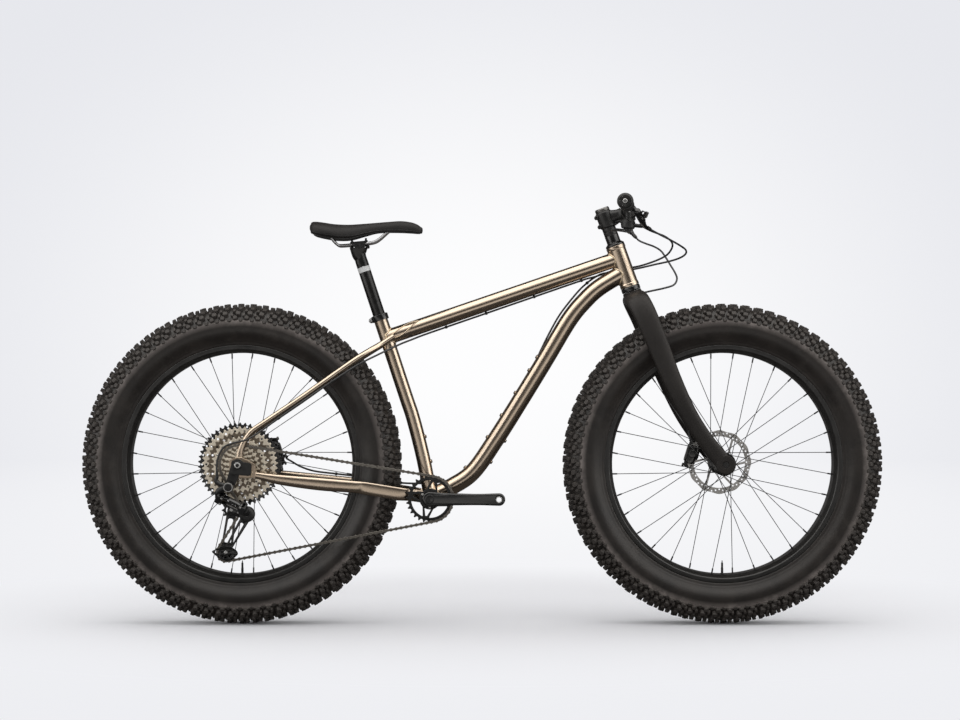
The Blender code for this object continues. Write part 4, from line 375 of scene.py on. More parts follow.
def ring(centre, radius, count=32, start=0.0, end=math.tau):
    """Places of a circle, or of its arc from start to end, as (x, z)."""
    whole = abs(end - start - math.tau) < 1e-9
    angle = np.linspace(start, end, count, endpoint=not whole)
    return np.stack([centre[0] + radius * np.cos(angle), centre[2] + radius * np.sin(angle)], 1)


def arc(centre, radius, count, start, end):
    """Places of an arc from a start to an end in degrees, as (x, z)."""
    return ring(centre, radius, count, math.radians(start), math.radians(end))


def copies(form, places, axes):
    """A form repeated: each point p becomes place + p.x * a + p.y * b + p.z * c."""
    places = np.array(places, float)
    points = places[:, None] + np.einsum("pk,nkj->npj", form.points, axes)
    starts = np.arange(len(places)) * len(form.points)
    quads = (form.quads[None] + starts[:, None, None]).reshape(-1, 4)
    others = [[i + s for i in face] for s in starts for face in form.others]
    return Form(points, quads, others, np.tile(form.quad_places, (len(places), 1, 1)))


def piece(name, forms, finish, body, stands_for=(), sharp=40.0, blend=None):
    """One object from its forms, with its finish, riding on a body. Given a blend, it rides on none."""
    whole = together(*forms) if isinstance(forms, (list, tuple)) else forms
    mesh = bpy.data.meshes.new(name)
    faces = whole.quads.tolist() + whole.others
    mesh.from_pydata(whole.points.tolist(), [], faces)
    layer = mesh.uv_layers.new(name="surface")
    rest = sum(len(face) for face in whole.others)
    places = np.concatenate([whole.quad_places.reshape(-1), np.zeros(2 * rest)])
    layer.data.foreach_set("uv", places)
    mesh.materials.append(FINISHES[finish][0])
    mesh.shade_smooth()
    mesh.set_sharp_from_angle(angle=math.radians(sharp))
    mesh.update()
    obj = bpy.data.objects.new(name, mesh)
    bpy.context.scene.collection.objects.link(obj)
    if stands_for:
        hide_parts(*stands_for)
    if blend:
        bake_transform(obj)
    else:
        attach(obj, body)
    return obj


# Shader groups: what several finishes share


def new_group(name, inputs, outputs):
    """A shader group with its named sockets. Kinds are VECTOR, FLOAT and COLOR."""
    group = bpy.data.node_groups.new(name, "ShaderNodeTree")
    kinds = {"VECTOR": "NodeSocketVector", "FLOAT": "NodeSocketFloat", "COLOR": "NodeSocketColor"}
    for label, kind, value in inputs:
        socket = group.interface.new_socket(name=label, in_out="INPUT", socket_type=kinds[kind])
        if value is not None:
            socket.default_value = value
    for label, kind in outputs:
        group.interface.new_socket(name=label, in_out="OUTPUT", socket_type=kinds[kind])
    return group, group.nodes.new("NodeGroupInput"), group.nodes.new("NodeGroupOutput")


def feed(tree, socket, value):
    """A socket gets a link from another socket, or else a plain value."""
    if isinstance(value, bpy.types.NodeSocket):
        tree.links.new(value, socket)
    else:
        socket.default_value = value


def put(tree, kind, **settings):
    """One shader node. Settings name its sockets, or its own properties where it has no such socket."""
    node = tree.nodes.new("ShaderNode" + kind)
    for label, value in settings.items():
        socket = node.inputs.get(label.replace("_", " "))
        if socket is None:
            setattr(node, label, value)
        else:
            feed(tree, socket, value)
    return node


def worked(tree, operation, *values, kind="Math"):
    """What a Math or VectorMath node makes of its values, fed to its sockets in order."""
    node = put(tree, kind, operation=operation)
    for socket, value in zip(node.inputs, values):
        feed(tree, socket, value)
    return node.outputs["Value"] if operation == "LENGTH" else node.outputs[0]


def blended(tree, factor, first, second):
    """A colour between two, by a factor. A colour given as three numbers is opaque."""
    node = put(tree, "Mix", data_type="RGBA")
    for k, value in ((0, factor), (6, first), (7, second)):
        feed(tree, node.inputs[k], (*value, 1) if isinstance(value, tuple) else value)
    return node.outputs[2]


def ranged(tree, value, low, high, start=0.0, end=1.0, **settings):
    """A value stretched from start..end to low..high and kept inside them."""
    node = put(tree, "MapRange", clamp=True, **settings)
    for k, number in enumerate((value, start, end, low, high)):
        feed(tree, node.inputs[k], number)
    return node.outputs[0]


def give_out(group, outlet, **nodes):
    """The first output of each node goes to the group's own output of that name."""
    for label, node in nodes.items():
        group.links.new(node.outputs[0], outlet.inputs[label])


def grain_group():
    """Fine moulded or blasted grain: a small noise for the bump and a large one for the mottle."""
    sockets = [
        ("Place", "VECTOR", None), ("Grain", "FLOAT", 1500.0), ("Depth", "FLOAT", 0.15),
        ("Cloud", "FLOAT", 25.0),
    ]
    group, come, go = new_group(
        "grain", sockets, [("Mottle", "FLOAT"), ("Fine", "FLOAT"), ("Normal", "VECTOR")],
    )
    given = come.outputs
    fine = put(group, "TexNoise", Vector=given["Place"], Scale=given["Grain"], Detail=3.0)
    cloud = put(group, "TexNoise", Vector=given["Place"], Scale=given["Cloud"], Detail=4.0)
    bump = put(group, "Bump", Strength=given["Depth"], Distance=0.0004, Height=fine.outputs[0])
    give_out(group, go, Mottle=cloud, Fine=fine, Normal=bump)
    return group


def brushing_group():
    """Brush marks: noise stretched by the Lay, which says how fine it is in each direction."""
    sockets = [("Place", "VECTOR", None), ("Lay", "VECTOR", (40.0, 2500.0, 40.0)), ("Depth", "FLOAT", 0.1)]
    group, come, go = new_group(
        "brushing", sockets, [("Streak", "FLOAT"), ("Wide", "FLOAT"), ("Normal", "VECTOR")],
    )
    given = come.outputs
    scaled = worked(group, "MULTIPLY", given["Place"], given["Lay"], kind="VectorMath")
    streak = put(group, "TexNoise", Vector=scaled, Scale=1.0, Detail=4.0, Roughness=0.65)
    wide = put(group, "TexNoise", Vector=given["Place"], Scale=14.0, Detail=3.0)
    bump = put(group, "Bump", Strength=given["Depth"], Distance=0.0003, Height=streak.outputs[0])
    give_out(group, go, Streak=streak, Wide=wide, Normal=bump)
    return group


def dust_group():
    """Where dust and worn places lie: patches of noise, kept to their peaks."""
    sockets = [("Place", "VECTOR", None), ("Patch", "FLOAT", 60.0), ("Amount", "FLOAT", 0.3)]
    group, come, go = new_group("dust", sockets, [("Mask", "FLOAT")])
    given = come.outputs
    patch = put(group, "TexNoise", Vector=given["Place"], Scale=given["Patch"], Detail=6.0, Roughness=0.7)
    kept = ranged(group, patch.outputs[0], 0.0, 1.0, 0.5, 0.72)
    group.links.new(worked(group, "MULTIPLY", kept, given["Amount"]), go.inputs["Mask"])
    return group


GRAIN, BRUSHING, DUST = grain_group(), brushing_group(), dust_group()


def placed(tree, group, **settings):
    """The outputs of a shared group placed in a material with its own values."""
    node = put(tree, "Group", node_tree=group)
    for label, value in settings.items():
        feed(tree, node.inputs[label], value)
    return node.outputs


def new_material(name):
    """A material with shader nodes, and its tree."""
    material = bpy.data.materials.new(name)
    material.use_nodes = True
    return material, material.node_tree


def start_finish(name, metallic, **plain):
    """A material with its shader and its coordinates. Plain values go on the shader's own sockets."""
    material, tree = new_material(name)
    shader = tree.nodes["Principled BSDF"]
    for label, value in {"Metallic": metallic, **plain}.items():
        shader.inputs[label.replace("_", " ")].default_value = value
    return material, tree, shader, tree.nodes.new("ShaderNodeTexCoord").outputs


def coloured(tree, shader, colour, roughness, normal):
    """Links what the finishes vary to the shader."""
    for label, value in (("Base Color", colour), ("Roughness", roughness), ("Normal", normal)):
        tree.links.new(value, shader.inputs[label])


def grained(name, dark, light, rough, grain=1500.0, depth=0.15, cloud=25.0, dust=0.0, metallic=0.0, **plain):
    """Moulded, painted or blasted: two shades by the mottle, a roughness range and a little dust."""
    material, tree, shader, where = start_finish(name, metallic, **plain)
    here = where["Object"]
    marks = placed(tree, GRAIN, Place=here, Grain=grain, Depth=depth, Cloud=cloud)
    colour = blended(tree, ranged(tree, marks["Mottle"], 0.0, 1.0, 0.35, 0.65), dark, light)
    settled = placed(tree, DUST, Place=here, Patch=45.0, Amount=dust)
    colour = blended(tree, settled["Mask"], colour, (0.17, 0.15, 0.13))
    coloured(tree, shader, colour, ranged(tree, marks["Mottle"], *rough, 0.3, 0.7), marks["Normal"])
    return material


def brushed(name, dark, light, rough, lay, depth=0.08, surface="UV", **plain):
    """Bare metal: streaks along the brushing shade it and change its roughness."""
    material, tree, shader, where = start_finish(name, 1.0, **plain)
    marks = placed(tree, BRUSHING, Place=where[surface], Lay=lay, Depth=depth)
    colour = blended(tree, ranged(tree, marks["Streak"], 0.0, 1.0, 0.3, 0.7), dark, light)
    colour = blended(tree, ranged(tree, marks["Wide"], 0.0, 0.35, 0.45, 0.7), colour, dark)
    coloured(tree, shader, colour, ranged(tree, marks["Streak"], *rough, 0.25, 0.75), marks["Normal"])
    return material


def weld_finish():
    """Weld beads: the bare metal, tinted straw and faintly blue by the heat."""
    material, tree, shader, where = start_finish("weld_bead", 1.0)
    marks = placed(tree, GRAIN, Place=where["Object"], Grain=900.0, Depth=0.2, Cloud=160.0)
    colour = blended(
        tree, ranged(tree, marks["Mottle"], 0, 1, 0.4, 0.62), (0.50, 0.42, 0.33), (0.56, 0.44, 0.28),
    )
    colour = blended(tree, ranged(tree, marks["Fine"], 0, 0.35, 0.45, 0.8), colour, (0.38, 0.38, 0.42))
    coloured(tree, shader, colour, ranged(tree, marks["Fine"], 0.3, 0.45), marks["Normal"])
    return material


def fabric_finish(name, dark, light, lines, rough):
    """Braid or knit: two crossed wave patterns over the surface's own places make its threads."""
    material, tree, shader, where = start_finish(name, 0.0)
    heights = []
    for turn in (1, -1):
        scaled = put(tree, "Mapping", Rotation=(0, 0, turn * math.radians(45)), Vector=where["UV"])
        wave = put(tree, "TexWave", Vector=scaled.outputs[0], Scale=lines, Distortion=0.0)
        heights.append(wave.outputs["Fac"])
    woven = worked(tree, "MAXIMUM", *heights)
    bump = put(tree, "Bump", Strength=0.25, Distance=0.0003, Height=woven)
    colour = blended(tree, woven, dark, light)
    coloured(tree, shader, colour, ranged(tree, woven, *rough), bump.outputs[0])
    return material


BRUSHED = (
    # name, slot, dark shade, light shade, roughness, fineness in each direction, depth, coordinates
    (
        "titanium", "bare_metal", (0.44, 0.355, 0.275), (0.55, 0.455, 0.36), (0.17, 0.24), (700, 9, 1),
        0.006, "UV",
    ),
    (
        "titanium_plate", "bare_metal", (0.36, 0.285, 0.215), (0.48, 0.39, 0.305), (0.24, 0.36),
        (30, 30, 900), 0.05, "Object",
    ),
    ("steel", "steel", (0.42, 0.42, 0.42), (0.58, 0.58, 0.57), (0.22, 0.36), (300, 300, 300), 0.04, "Object"),
    (
        "disc_steel", "steel", (0.40, 0.39, 0.38), (0.56, 0.55, 0.54), (0.25, 0.38), (220, 60, 220), 0.06,
        "Object",
    ),
    ("rail_steel", "steel", (0.36, 0.36, 0.37), (0.50, 0.50, 0.51), (0.25, 0.38), (60, 900, 1), 0.04, "UV"),
    (
        "cog_steel", "champagne_steel", (0.74, 0.66, 0.54), (0.92, 0.85, 0.72), (0.26, 0.42),
        (240, 240, 240), 0.05, "Object",
    ),
    # darker steel for every other cog: a painted shade between the cogs
    (
        "cog_painted_shade", "champagne_steel", (0.13, 0.105, 0.080), (0.24, 0.20, 0.155), (0.26, 0.42),
        (240, 240, 240), 0.05, "Object",
    ),
    (
        "chain_steel", "chain", (0.125, 0.115, 0.102), (0.23, 0.215, 0.195), (0.24, 0.36), (160, 160, 160),
        0.03, "Object",
    ),
    (
        "roller_steel", "chain", (0.10, 0.095, 0.09), (0.20, 0.19, 0.18), (0.25, 0.4), (500, 500, 500),
        0.05, "Object",
    ),
)

GRAINED = (
    # name, slot, dark shade, light shade, roughness, grain, depth, cloud, dust, metallic
    (
        "carbon", "carbon", (0.0088, 0.0066, 0.0054), (0.0136, 0.0106, 0.0088), (0.44, 0.56), 2200, 0.05, 9,
        0.02, 0,
    ),
    (
        "anodised", "black_alloy", (0.006, 0.006, 0.006), (0.012, 0.0115, 0.011), (0.30, 0.42), 2600, 0.08,
        60, 0.03, 0.2,
    ),
    (
        "post_black", "black_alloy", (0.006, 0.0056, 0.0052), (0.010, 0.0094, 0.0088), (0.20, 0.30), 2600,
        0.03, 60, 0.01, 0.3,
    ),
    ("cap_grey", "steel", (0.10, 0.098, 0.095), (0.16, 0.156, 0.15), (0.30, 0.42), 900, 0.05, 60, 0.02, 0.9),
    (
        "gloss_black", "black_alloy", (0.005, 0.005, 0.005), (0.009, 0.009, 0.009), (0.14, 0.24), 900, 0.02,
        40, 0.01, 0.1,
    ),
    (
        "rim_black", "black_alloy", (0.006, 0.0055, 0.005), (0.011, 0.010, 0.009), (0.30, 0.42), 1800, 0.04,
        30, 0.03, 0,
    ),
    (
        "plastic", "black_plastic", (0.008, 0.008, 0.008), (0.013, 0.0125, 0.012), (0.42, 0.56), 1400, 0.12,
        50, 0.02, 0,
    ),
    ("rubber", "rubber", (0.009, 0.0085, 0.008), (0.015, 0.014, 0.013), (0.60, 0.75), 900, 0.2, 40, 0.04, 0),
    (
        "spoke_black", "black_alloy", (0.02, 0.02, 0.021), (0.045, 0.045, 0.046), (0.25, 0.35), 900, 0.03,
        60, 0, 0.6,
    ),
    (
        "cover", "saddle_cover", (0.0065, 0.0056, 0.0052), (0.0110, 0.0095, 0.0088), (0.50, 0.62), 1700,
        0.3, 30, 0.01, 0,
    ),
    ("band", "steel", (0.50, 0.50, 0.49), (0.60, 0.60, 0.59), (0.4, 0.5), 1200, 0.05, 40, 0, 0),
)

PLAIN_SETTINGS = {
    "carbon": {"Specular_IOR_Level": 0.28},
    "gloss_black": {"Coat_Weight": 0.4, "Coat_Roughness": 0.1},
    "plastic": {"Specular_IOR_Level": 0.4},
    "rubber": {"Specular_IOR_Level": 0.35},
    "cover": {"Specular_IOR_Level": 0.25},
}


def finishes():
    """Every finish by name, with the record's slot that it belongs to."""
    made = {name: (brushed(name, *values), slot) for name, slot, *values in BRUSHED}
    for name, slot, *values in GRAINED:
        made[name] = (grained(name, *values, **PLAIN_SETTINGS.get(name, {})), slot)
    made["weld"] = (weld_finish(), "bare_metal")
    made["tyre"] = (tyre_finish("tyre_knobs"), "tyre")
    # the casing's pale band, 50 to 65 mm from each bead, is a painted highlight
    made["tyre_side"] = (tyre_finish("tyre_side", (0.0500, 0.0650, 0.2653)), "tyre")
    hose = fabric_finish("hose", (0.008, 0.008, 0.009), (0.020, 0.020, 0.021), 900.0, (0.34, 0.5))
    made["hose"] = (hose, "hose")
    return made


def tyre_finish(name, highlight_and_dust_band=None):
    """Tyre rubber: brown black with fine moulding grain, lighter on its edges by their pointiness, as
    rubbing and a painted edge highlight, with patches of dust. The casing also has a pale band
    beside the tread, between two distances round its section from either bead, a painted highlight
    that follows the dust patches."""
    material, tree, shader, where = start_finish(name, 0.0, Specular_IOR_Level=0.38)
    here = where["Object"]
    marks = placed(tree, GRAIN, Place=here, Grain=1100.0, Depth=0.35, Cloud=16.0)
    settled = placed(tree, DUST, Place=here, Patch=22.0, Amount=0.45)
    mottle = ranged(tree, marks["Mottle"], 0, 1, 0.35, 0.65)
    colour = blended(tree, mottle, (0.0078, 0.0055, 0.0042), (0.0150, 0.0110, 0.0086))
    shape = tree.nodes.new("ShaderNodeNewGeometry")
    # pointiness lightens the knobs' edges: rubbing, and also a painted edge highlight
    edge_wear_and_highlight = ranged(tree, shape.outputs["Pointiness"], 0.0, 0.6, 0.51, 0.62)
    colour = blended(tree, edge_wear_and_highlight, colour, (0.062, 0.052, 0.045))
    colour = blended(tree, settled["Mask"], colour, (0.034, 0.028, 0.023))
    # a pale band round the casing beside the tread: a painted highlight, made patchy by the dust mask
    if highlight_and_dust_band:
        start, end, section = highlight_and_dust_band
        parts = tree.nodes.new("ShaderNodeSeparateXYZ")
        tree.links.new(where["UV"], parts.inputs[0])
        away = worked(tree, "ABSOLUTE", worked(tree, "SUBTRACT", parts.outputs["X"], section / 2))
        rise = ranged(tree, away, 1.0, 0.0, section / 2 - end, section / 2 - start)
        fall = ranged(tree, away, 0.0, 1.0, section / 2 - end - 0.004, section / 2 - end)
        patchy = ranged(tree, settled["Mask"], 0.55, 1.0, 0.0, 0.3)
        band_highlight_and_dust = worked(tree, "MULTIPLY", worked(tree, "MULTIPLY", rise, fall), patchy)
        colour = blended(tree, band_highlight_and_dust, colour, (0.190, 0.163, 0.148))
    low, high = (0.30, 0.46) if highlight_and_dust_band else (0.46, 0.70)
    coloured(tree, shader, colour, ranged(tree, marks["Fine"], low, high), marks["Normal"])
    return material


FINISHES = finishes()


# Shared small forms


def even_loop(loop, step):
    """A closed line with places at an even distance round it."""
    return even_path(np.concatenate([loop, loop[:1]]), step)[:-1]


def fitted(points, direction, neighbour):
    """Points slid along a direction until they lie on a neighbour's round side. The slide is the
    outer root of the quadratic for their distance from its axis, or its middle where they pass by."""
    place, axis, radius = neighbour
    away = points - place
    away = away - (away @ axis)[:, None] * axis
    along = direction - direction.dot(axis) * axis
    a, b, c = along.dot(along), 2 * away @ along, (away**2).sum(1) - radius**2
    root = np.sqrt(np.clip(b**2 - 4 * a * c, 0, None))
    return points + ((root - b) / (2 * a))[:, None] * direction


def round_rim(centre, direction, radius, sides, hint=ACROSS):
    """A circle of places square to a direction: centre + radius * (cos * side + sin * other)."""
    return centre + radius * oval(square_axes(direction, hint), 1.0, 1.0, turns(sides))


def fitted_tube(path, radius, wall, start=None, end=None, sides=56):
    """A tube with a wall whose ends are mitred to the tubes that they meet. Its skin goes one way
    outside and back again inside."""
    path = np.array(path, float)
    if start:
        path = path[(np.arange(len(path)) == 0) | (np.linalg.norm(path - path[0], axis=1) > 1.9 * start[2])]
    if end:
        last = np.arange(len(path)) == len(path) - 1
        path = path[last | (np.linalg.norm(path - path[-1], axis=1) > 1.9 * end[2])]
    directions = tangents(path)
    rows = []
    for r in (radius, radius - wall):
        grid = path[:, None] + oval(square_axes(directions, ACROSS), r, r, turns(sides))
        if start:
            grid[0] = fitted(grid[0], directions[0], start)
        if end:
            grid[-1] = fitted(grid[-1], -directions[-1], end)
        rows.append(grid)
    return skin(np.concatenate([rows[0], rows[1][::-1]]), closed=True)


def weld(loop, hint, size=0.0020):
    """A bead of overlapping pools along a closed line. Every 2.4 mm its thickness rises as the root
    of the way along the pool and then drops."""
    loop = even_loop(loop, 0.0006)
    pools = max(3, round(len(loop) * 0.0006 / 0.0024))
    phase = np.arange(len(loop)) * pools / len(loop) % 1
    thick = size * (0.80 + 0.30 * np.sqrt(phase))
    return sweep(loop, thick, thick, 10, hint, closed=True)


def joint_weld(centre, direction, radius, neighbour, size=0.0020):
    """The bead where a round tube meets its neighbour. direction points away from the neighbour."""
    rim = round_rim(centre, direction, radius + 0.0002, 120, at(0.31, 0.52, 0.80))
    return weld(fitted(rim, direction, neighbour), direction, size)


def bolt(place, axis, radius, height=0.004, dome=0.25, key=0.55):
    """A bolt's head with a six-sided socket: the socket's radius is key / cos of the angle from the
    middle of its nearest side."""
    axis = unit(np.array(axis, float))
    sides = 36
    hexagon = key * radius * 0.9 / np.cos((turns(sides) + math.pi / 6) % (math.pi / 3) - math.pi / 6)
    rings = [(0.0, radius), (height * (1 - dome), radius), (height * (1 - 0.3 * dome), radius * 0.93)]
    rings += [(height, radius * 0.80), (height, hexagon[:, None]), (height * 0.35, hexagon[:, None])]
    return skin(np.array([round_rim(place + along * axis, axis, r, sides, SLANTED) for along, r in rings]))


def knob_boss(place, axis, radius, height):
    """A low turned boss with an eased edge."""
    return turned_cap(
        [(-0.004, radius), (height, radius), (height, 0.0006)], 0.0007, place, axis, 28, SLANTED,
    )


# Frame


def steer_point(along, forward=0.0, side=0.0):
    """A place by its distance along the steering axis from the head tube's foot."""
    return HEAD_LOW + along * STEER_AXIS + forward * STEER_FORWARD + side * ACROSS


def seat_height(below):
    """A place on the upper seat tube's centre line, below its top."""
    return SEAT_TOP - below * SEAT_AXIS


SEAT_BEND = at(-0.17225, 0, 0.50926)
TOP_TUBE_REAR = seat_height(0.058)
TOP_TUBE_FRONT = steer_point(0.0755)
TOP_TUBE_LINE = unit(TOP_TUBE_FRONT - TOP_TUBE_REAR)
DOWN_TUBE_FRONT = steer_point(0.039)
DOWN_TUBE_SWAY = (
    # share of the chord, sway above it
    (0.0, 0.0),
    (0.074, -0.0229),
    (0.158, -0.0385),
    (0.288, -0.0294),
    (0.445, -0.0119),
    (0.601, 0.0071),
    (0.755, 0.0269),
    (0.842, 0.0285),
    (0.907, 0.0221),
    (1.0, 0.0),
)
STAY_TO_YOKE = (
    # share of the way from the dropout to the bracket, drop, distance from the middle,
    # half width, half height
    (0.070, -0.0160, 0.1020, 0.0035, 0.0065),
    (0.110, -0.0170, 0.0980, 0.0060, 0.0085),
    (0.220, -0.0175, 0.0900, 0.0080, 0.0128),
    (0.420, -0.0120, 0.0775, 0.0080, 0.0158),
    (0.600, -0.0040, 0.0700, 0.0070, 0.0150),
    (0.660, -0.0030, 0.0670, 0.0038, 0.0155),
    (0.800, -0.0020, 0.0642, 0.0035, 0.0155),
    (0.860, -0.0010, 0.0615, 0.0035, 0.0150),
    (0.915, 0.0000, 0.0500, 0.0040, 0.0150),
    (0.945, 0.0000, 0.0440, 0.0042, 0.0150),
    (0.962, 0.0000, 0.0427, 0.0045, 0.0150),
)
SEAT_STAY_PATH = (
    # share of the way from the stay's foot to its top, bow, distance from the middle, half width
    (-0.041, -0.0177, 0.1020, 0.0040),
    (-0.022, -0.0080, 0.1020, 0.0037),
    (0.000, 0.0000, 0.1020, 0.0035),
    (0.050, 0.0125, 0.1020, 0.0045),
    (0.105, 0.0200, 0.1012, 0.0062),
    (0.200, 0.0185, 0.0975, 0.0075),
    (0.400, 0.0139, 0.0860, 0.0075),
    (0.580, 0.0115, 0.0740, 0.0075),
    (0.760, 0.0092, 0.0650, 0.0075),
    (0.840, 0.0065, 0.0540, 0.0075),
    (0.920, 0.0025, 0.0345, 0.0075),
    (1.000, 0.0000, 0.0240, 0.0075),
)
SEAT_STAY_FOOT = REAR_AXLE + at(0.0075, 0, 0.0375)
SEAT_STAY_TOP = seat_height(0.058) + at(0.0180, 0, 0.0030)
DROPOUT_OUTLINE = (
    (-0.0215, -0.0060),
    (-0.0205, 0.0135),
    (-0.0060, 0.0185),
    (0.0130, 0.0180),
    (0.0300, 0.0090),
    (0.0425, 0.0030),
    (0.0440, -0.0320),
    (0.0180, -0.0325),
    (-0.0170, -0.0290),
)

HEAD = (HEAD_LOW, STEER_AXIS, HEAD_TUBE_RADIUS)
SHELL = (BRACKET, ACROSS, SHELL_RADIUS)
SEAT = (SEAT_TOP, SEAT_AXIS, SEAT_TUBE_RADIUS)
TOP = (TOP_TUBE_REAR, TOP_TUBE_LINE, TOP_TUBE_RADIUS)


def down_tube_path():
    """The down tube's centre line: places on its chord moved square to it by their sway."""
    chord = DOWN_TUBE_FRONT - BRACKET
    share, sway = np.array(DOWN_TUBE_SWAY).T
    aside = cross(unit(chord), ACROSS)
    return smooth_path(BRACKET + share[:, None] * chord + sway[:, None] * aside, 10)


def seat_tube_path():
    lower = BRACKET + 0.5 * (SEAT_BEND - BRACKET) + at(0.003, 0, 0)
    return smooth_path([BRACKET, lower, SEAT_BEND, SEAT_BEND + 0.25 * (SEAT_TOP - SEAT_BEND), SEAT_TOP], 10)


def main_tubes():
    """Head tube with flared ends, shell, and the three mitred tubes between them."""
    r, bore, top = HEAD_TUBE_RADIUS, 0.0187, HEAD_TUBE_LENGTH
    flare = [(0, bore), (0, r + 0.0010), (0.007, r + 0.0010), (0.0095, r), (top - 0.0095, r)]
    flare += [(top - 0.007, r + 0.0010), (top, r + 0.0010), (top, bore)]
    head = turned_ring(flare, 0.0007, HEAD_LOW, STEER_AXIS, 72, ACROSS)
    piece("bare_head_tube", head, "titanium", "frame", ["head_tube"])
    half = SHELL_HALF_WIDTH
    edge = [(-half, 0.0185), (-half, SHELL_RADIUS), (half, SHELL_RADIUS), (half, 0.0185)]
    shell = turned_ring(edge, 0.0008, BRACKET, ACROSS, 72)
    piece("bare_bracket_shell", shell, "titanium", "frame", ["bottom_bracket_shell"])
    top_path = np.linspace(TOP_TUBE_REAR, TOP_TUBE_FRONT, 12)
    tube = fitted_tube(top_path, TOP_TUBE_RADIUS, 0.0009, SEAT, HEAD)
    piece("bare_top_tube", tube, "titanium", "frame", ["top_tube"])
    tube = fitted_tube(down_tube_path(), DOWN_TUBE_RADIUS, 0.0009, SHELL, HEAD)
    piece("bare_down_tube", tube, "titanium", "frame", ["down_tube"])
    tube = fitted_tube(seat_tube_path(), SEAT_TUBE_RADIUS, 0.0016, SHELL)
    piece("bare_seat_tube", tube, "titanium", "frame", ["seat_tube"])


def main_welds():
    down = down_tube_path()
    seat_low = unit(seat_tube_path()[4] - BRACKET)
    beads = [
        joint_weld(TOP_TUBE_FRONT, -TOP_TUBE_LINE, TOP_TUBE_RADIUS, HEAD, 0.0021),
        joint_weld(TOP_TUBE_REAR, TOP_TUBE_LINE, TOP_TUBE_RADIUS, SEAT, 0.0021),
        joint_weld(DOWN_TUBE_FRONT, unit(down[-5] - down[-1]), DOWN_TUBE_RADIUS, HEAD, 0.0022),
        joint_weld(BRACKET, unit(down[4] - down[0]), DOWN_TUBE_RADIUS, SHELL, 0.0021),
        joint_weld(BRACKET, seat_low, SEAT_TUBE_RADIUS, SHELL, 0.0019),
    ]
    piece("main_weld_beads", beads, "weld", "frame")


def stay_rows(side):
    """The chain stay's centre line and half sizes, by distance from the middle of the bicycle."""
    rows = smooth_path(STAY_TO_YOKE, 8)
    share, drop, aside, wide, tall = rows.T
    path = REAR_AXLE + share[:, None] * (BRACKET - REAR_AXLE)
    return path + side * aside[:, None] * ACROSS + drop[:, None] * UP, wide, tall


def seat_stay_rows(side):
    rows = smooth_path(SEAT_STAY_PATH, 8)
    share, bow, aside, wide = rows.T
    chord = SEAT_STAY_TOP - SEAT_STAY_FOOT
    path = SEAT_STAY_FOOT + share[:, None] * chord + bow[:, None] * cross(unit(chord), ACROSS)
    return path + side * aside[:, None] * ACROSS, wide


def rear_triangle():
    """On each side a yoked chain stay, a swept seat stay, and the thick dropout that joins them."""
    for side, word in ((-1, "drive"), (1, "left")):
        path, wide, tall = stay_rows(side)
        stay = sweep(path, wide, tall, 40, ACROSS, 0.75)
        outline = eased(np.array(DROPOUT_OUTLINE) + REAR_AXLE[[0, 2]], 0.006, 5, closed=True)
        low, high = sorted((side * DROPOUT_INNER, side * DROPOUT_OUTER))
        dropout = plate([outline, ring(REAR_AXLE, AXLE_HOLE, 40)], low, high, 0.0009, 3)
        piece(f"bare_{word}_chain_stay", stay, "titanium", "frame", [f"{word}_chain_stay"])
        piece(f"machined_{word}_dropout", dropout, "titanium_plate", "frame")
        path, wide = seat_stay_rows(side)
        stay = sweep(path, wide, SEAT_STAY_RADIUS, 32, ACROSS)
        forms = [stay]
        if side > 0:
            near = int(np.argmin(np.linalg.norm(path - bridge_place(), axis=1)))
            y = path[near][1]
            place = bridge_place()
            line = [at(place[0], v, place[2]) for v in (0.002 - y, y - 0.002)]
            forms.append(sweep(line, BRIDGE_RADIUS, BRIDGE_RADIUS, 24, UP))
        piece(f"bare_{word}_seat_stay", forms, "titanium", "frame", [f"{word}_seat_stay"])


def bridge_place():
    """The middle of the bridge over the tyre, three quarters of the way between two stay places."""
    rows = np.array(SEAT_STAY_PATH)[8:10]
    share, bow, _, _ = rows[0] + 0.75 * (rows[1] - rows[0])
    chord = SEAT_STAY_TOP - SEAT_STAY_FOOT
    return SEAT_STAY_FOOT + share * chord + bow * cross(unit(chord), ACROSS)


def rear_welds():
    """Beads at the stays' ends: on the dropouts, on the shell, on the top tube and at the bridge."""
    beads = []
    for side in (-1, 1):
        path, wide, tall = stay_rows(side)
        for k, inside, back in ((0, 1, 0.0), (-1, -2, 0.0045)):
            line = unit(path[k] - path[inside])
            bead = oval(square_axes(line, ACROSS), wide[k] + 0.0004, tall[k] + 0.0004, turns(160), 0.75)
            loop = path[k] - back * line + bead
            if k:
                loop = fitted(loop, -line, SHELL)
            beads.append(weld(loop, line, 0.0017))
        path, _ = seat_stay_rows(side)
        beads.append(joint_weld(path[-1], unit(path[-6] - path[-1]), SEAT_STAY_RADIUS, TOP, 0.0017))
        foot = unit(path[5] - path[3])
        loop = path[4] + oval(square_axes(foot, ACROSS), 0.0046, 0.0078, turns(120))
        beads.append(weld(loop, foot, 0.0015))
        place = bridge_place()
        near = int(np.argmin(np.linalg.norm((path - place)[:, [0, 2]], axis=1)))
        neighbour = (path[near], unit(path[near + 1] - path[near - 1]), SEAT_STAY_RADIUS)
        start = at(place[0], path[near][1], place[2])
        beads.append(joint_weld(start, -side * ACROSS, BRIDGE_RADIUS, neighbour, 0.0014))
    piece("rear_weld_beads", beads, "weld", "frame")


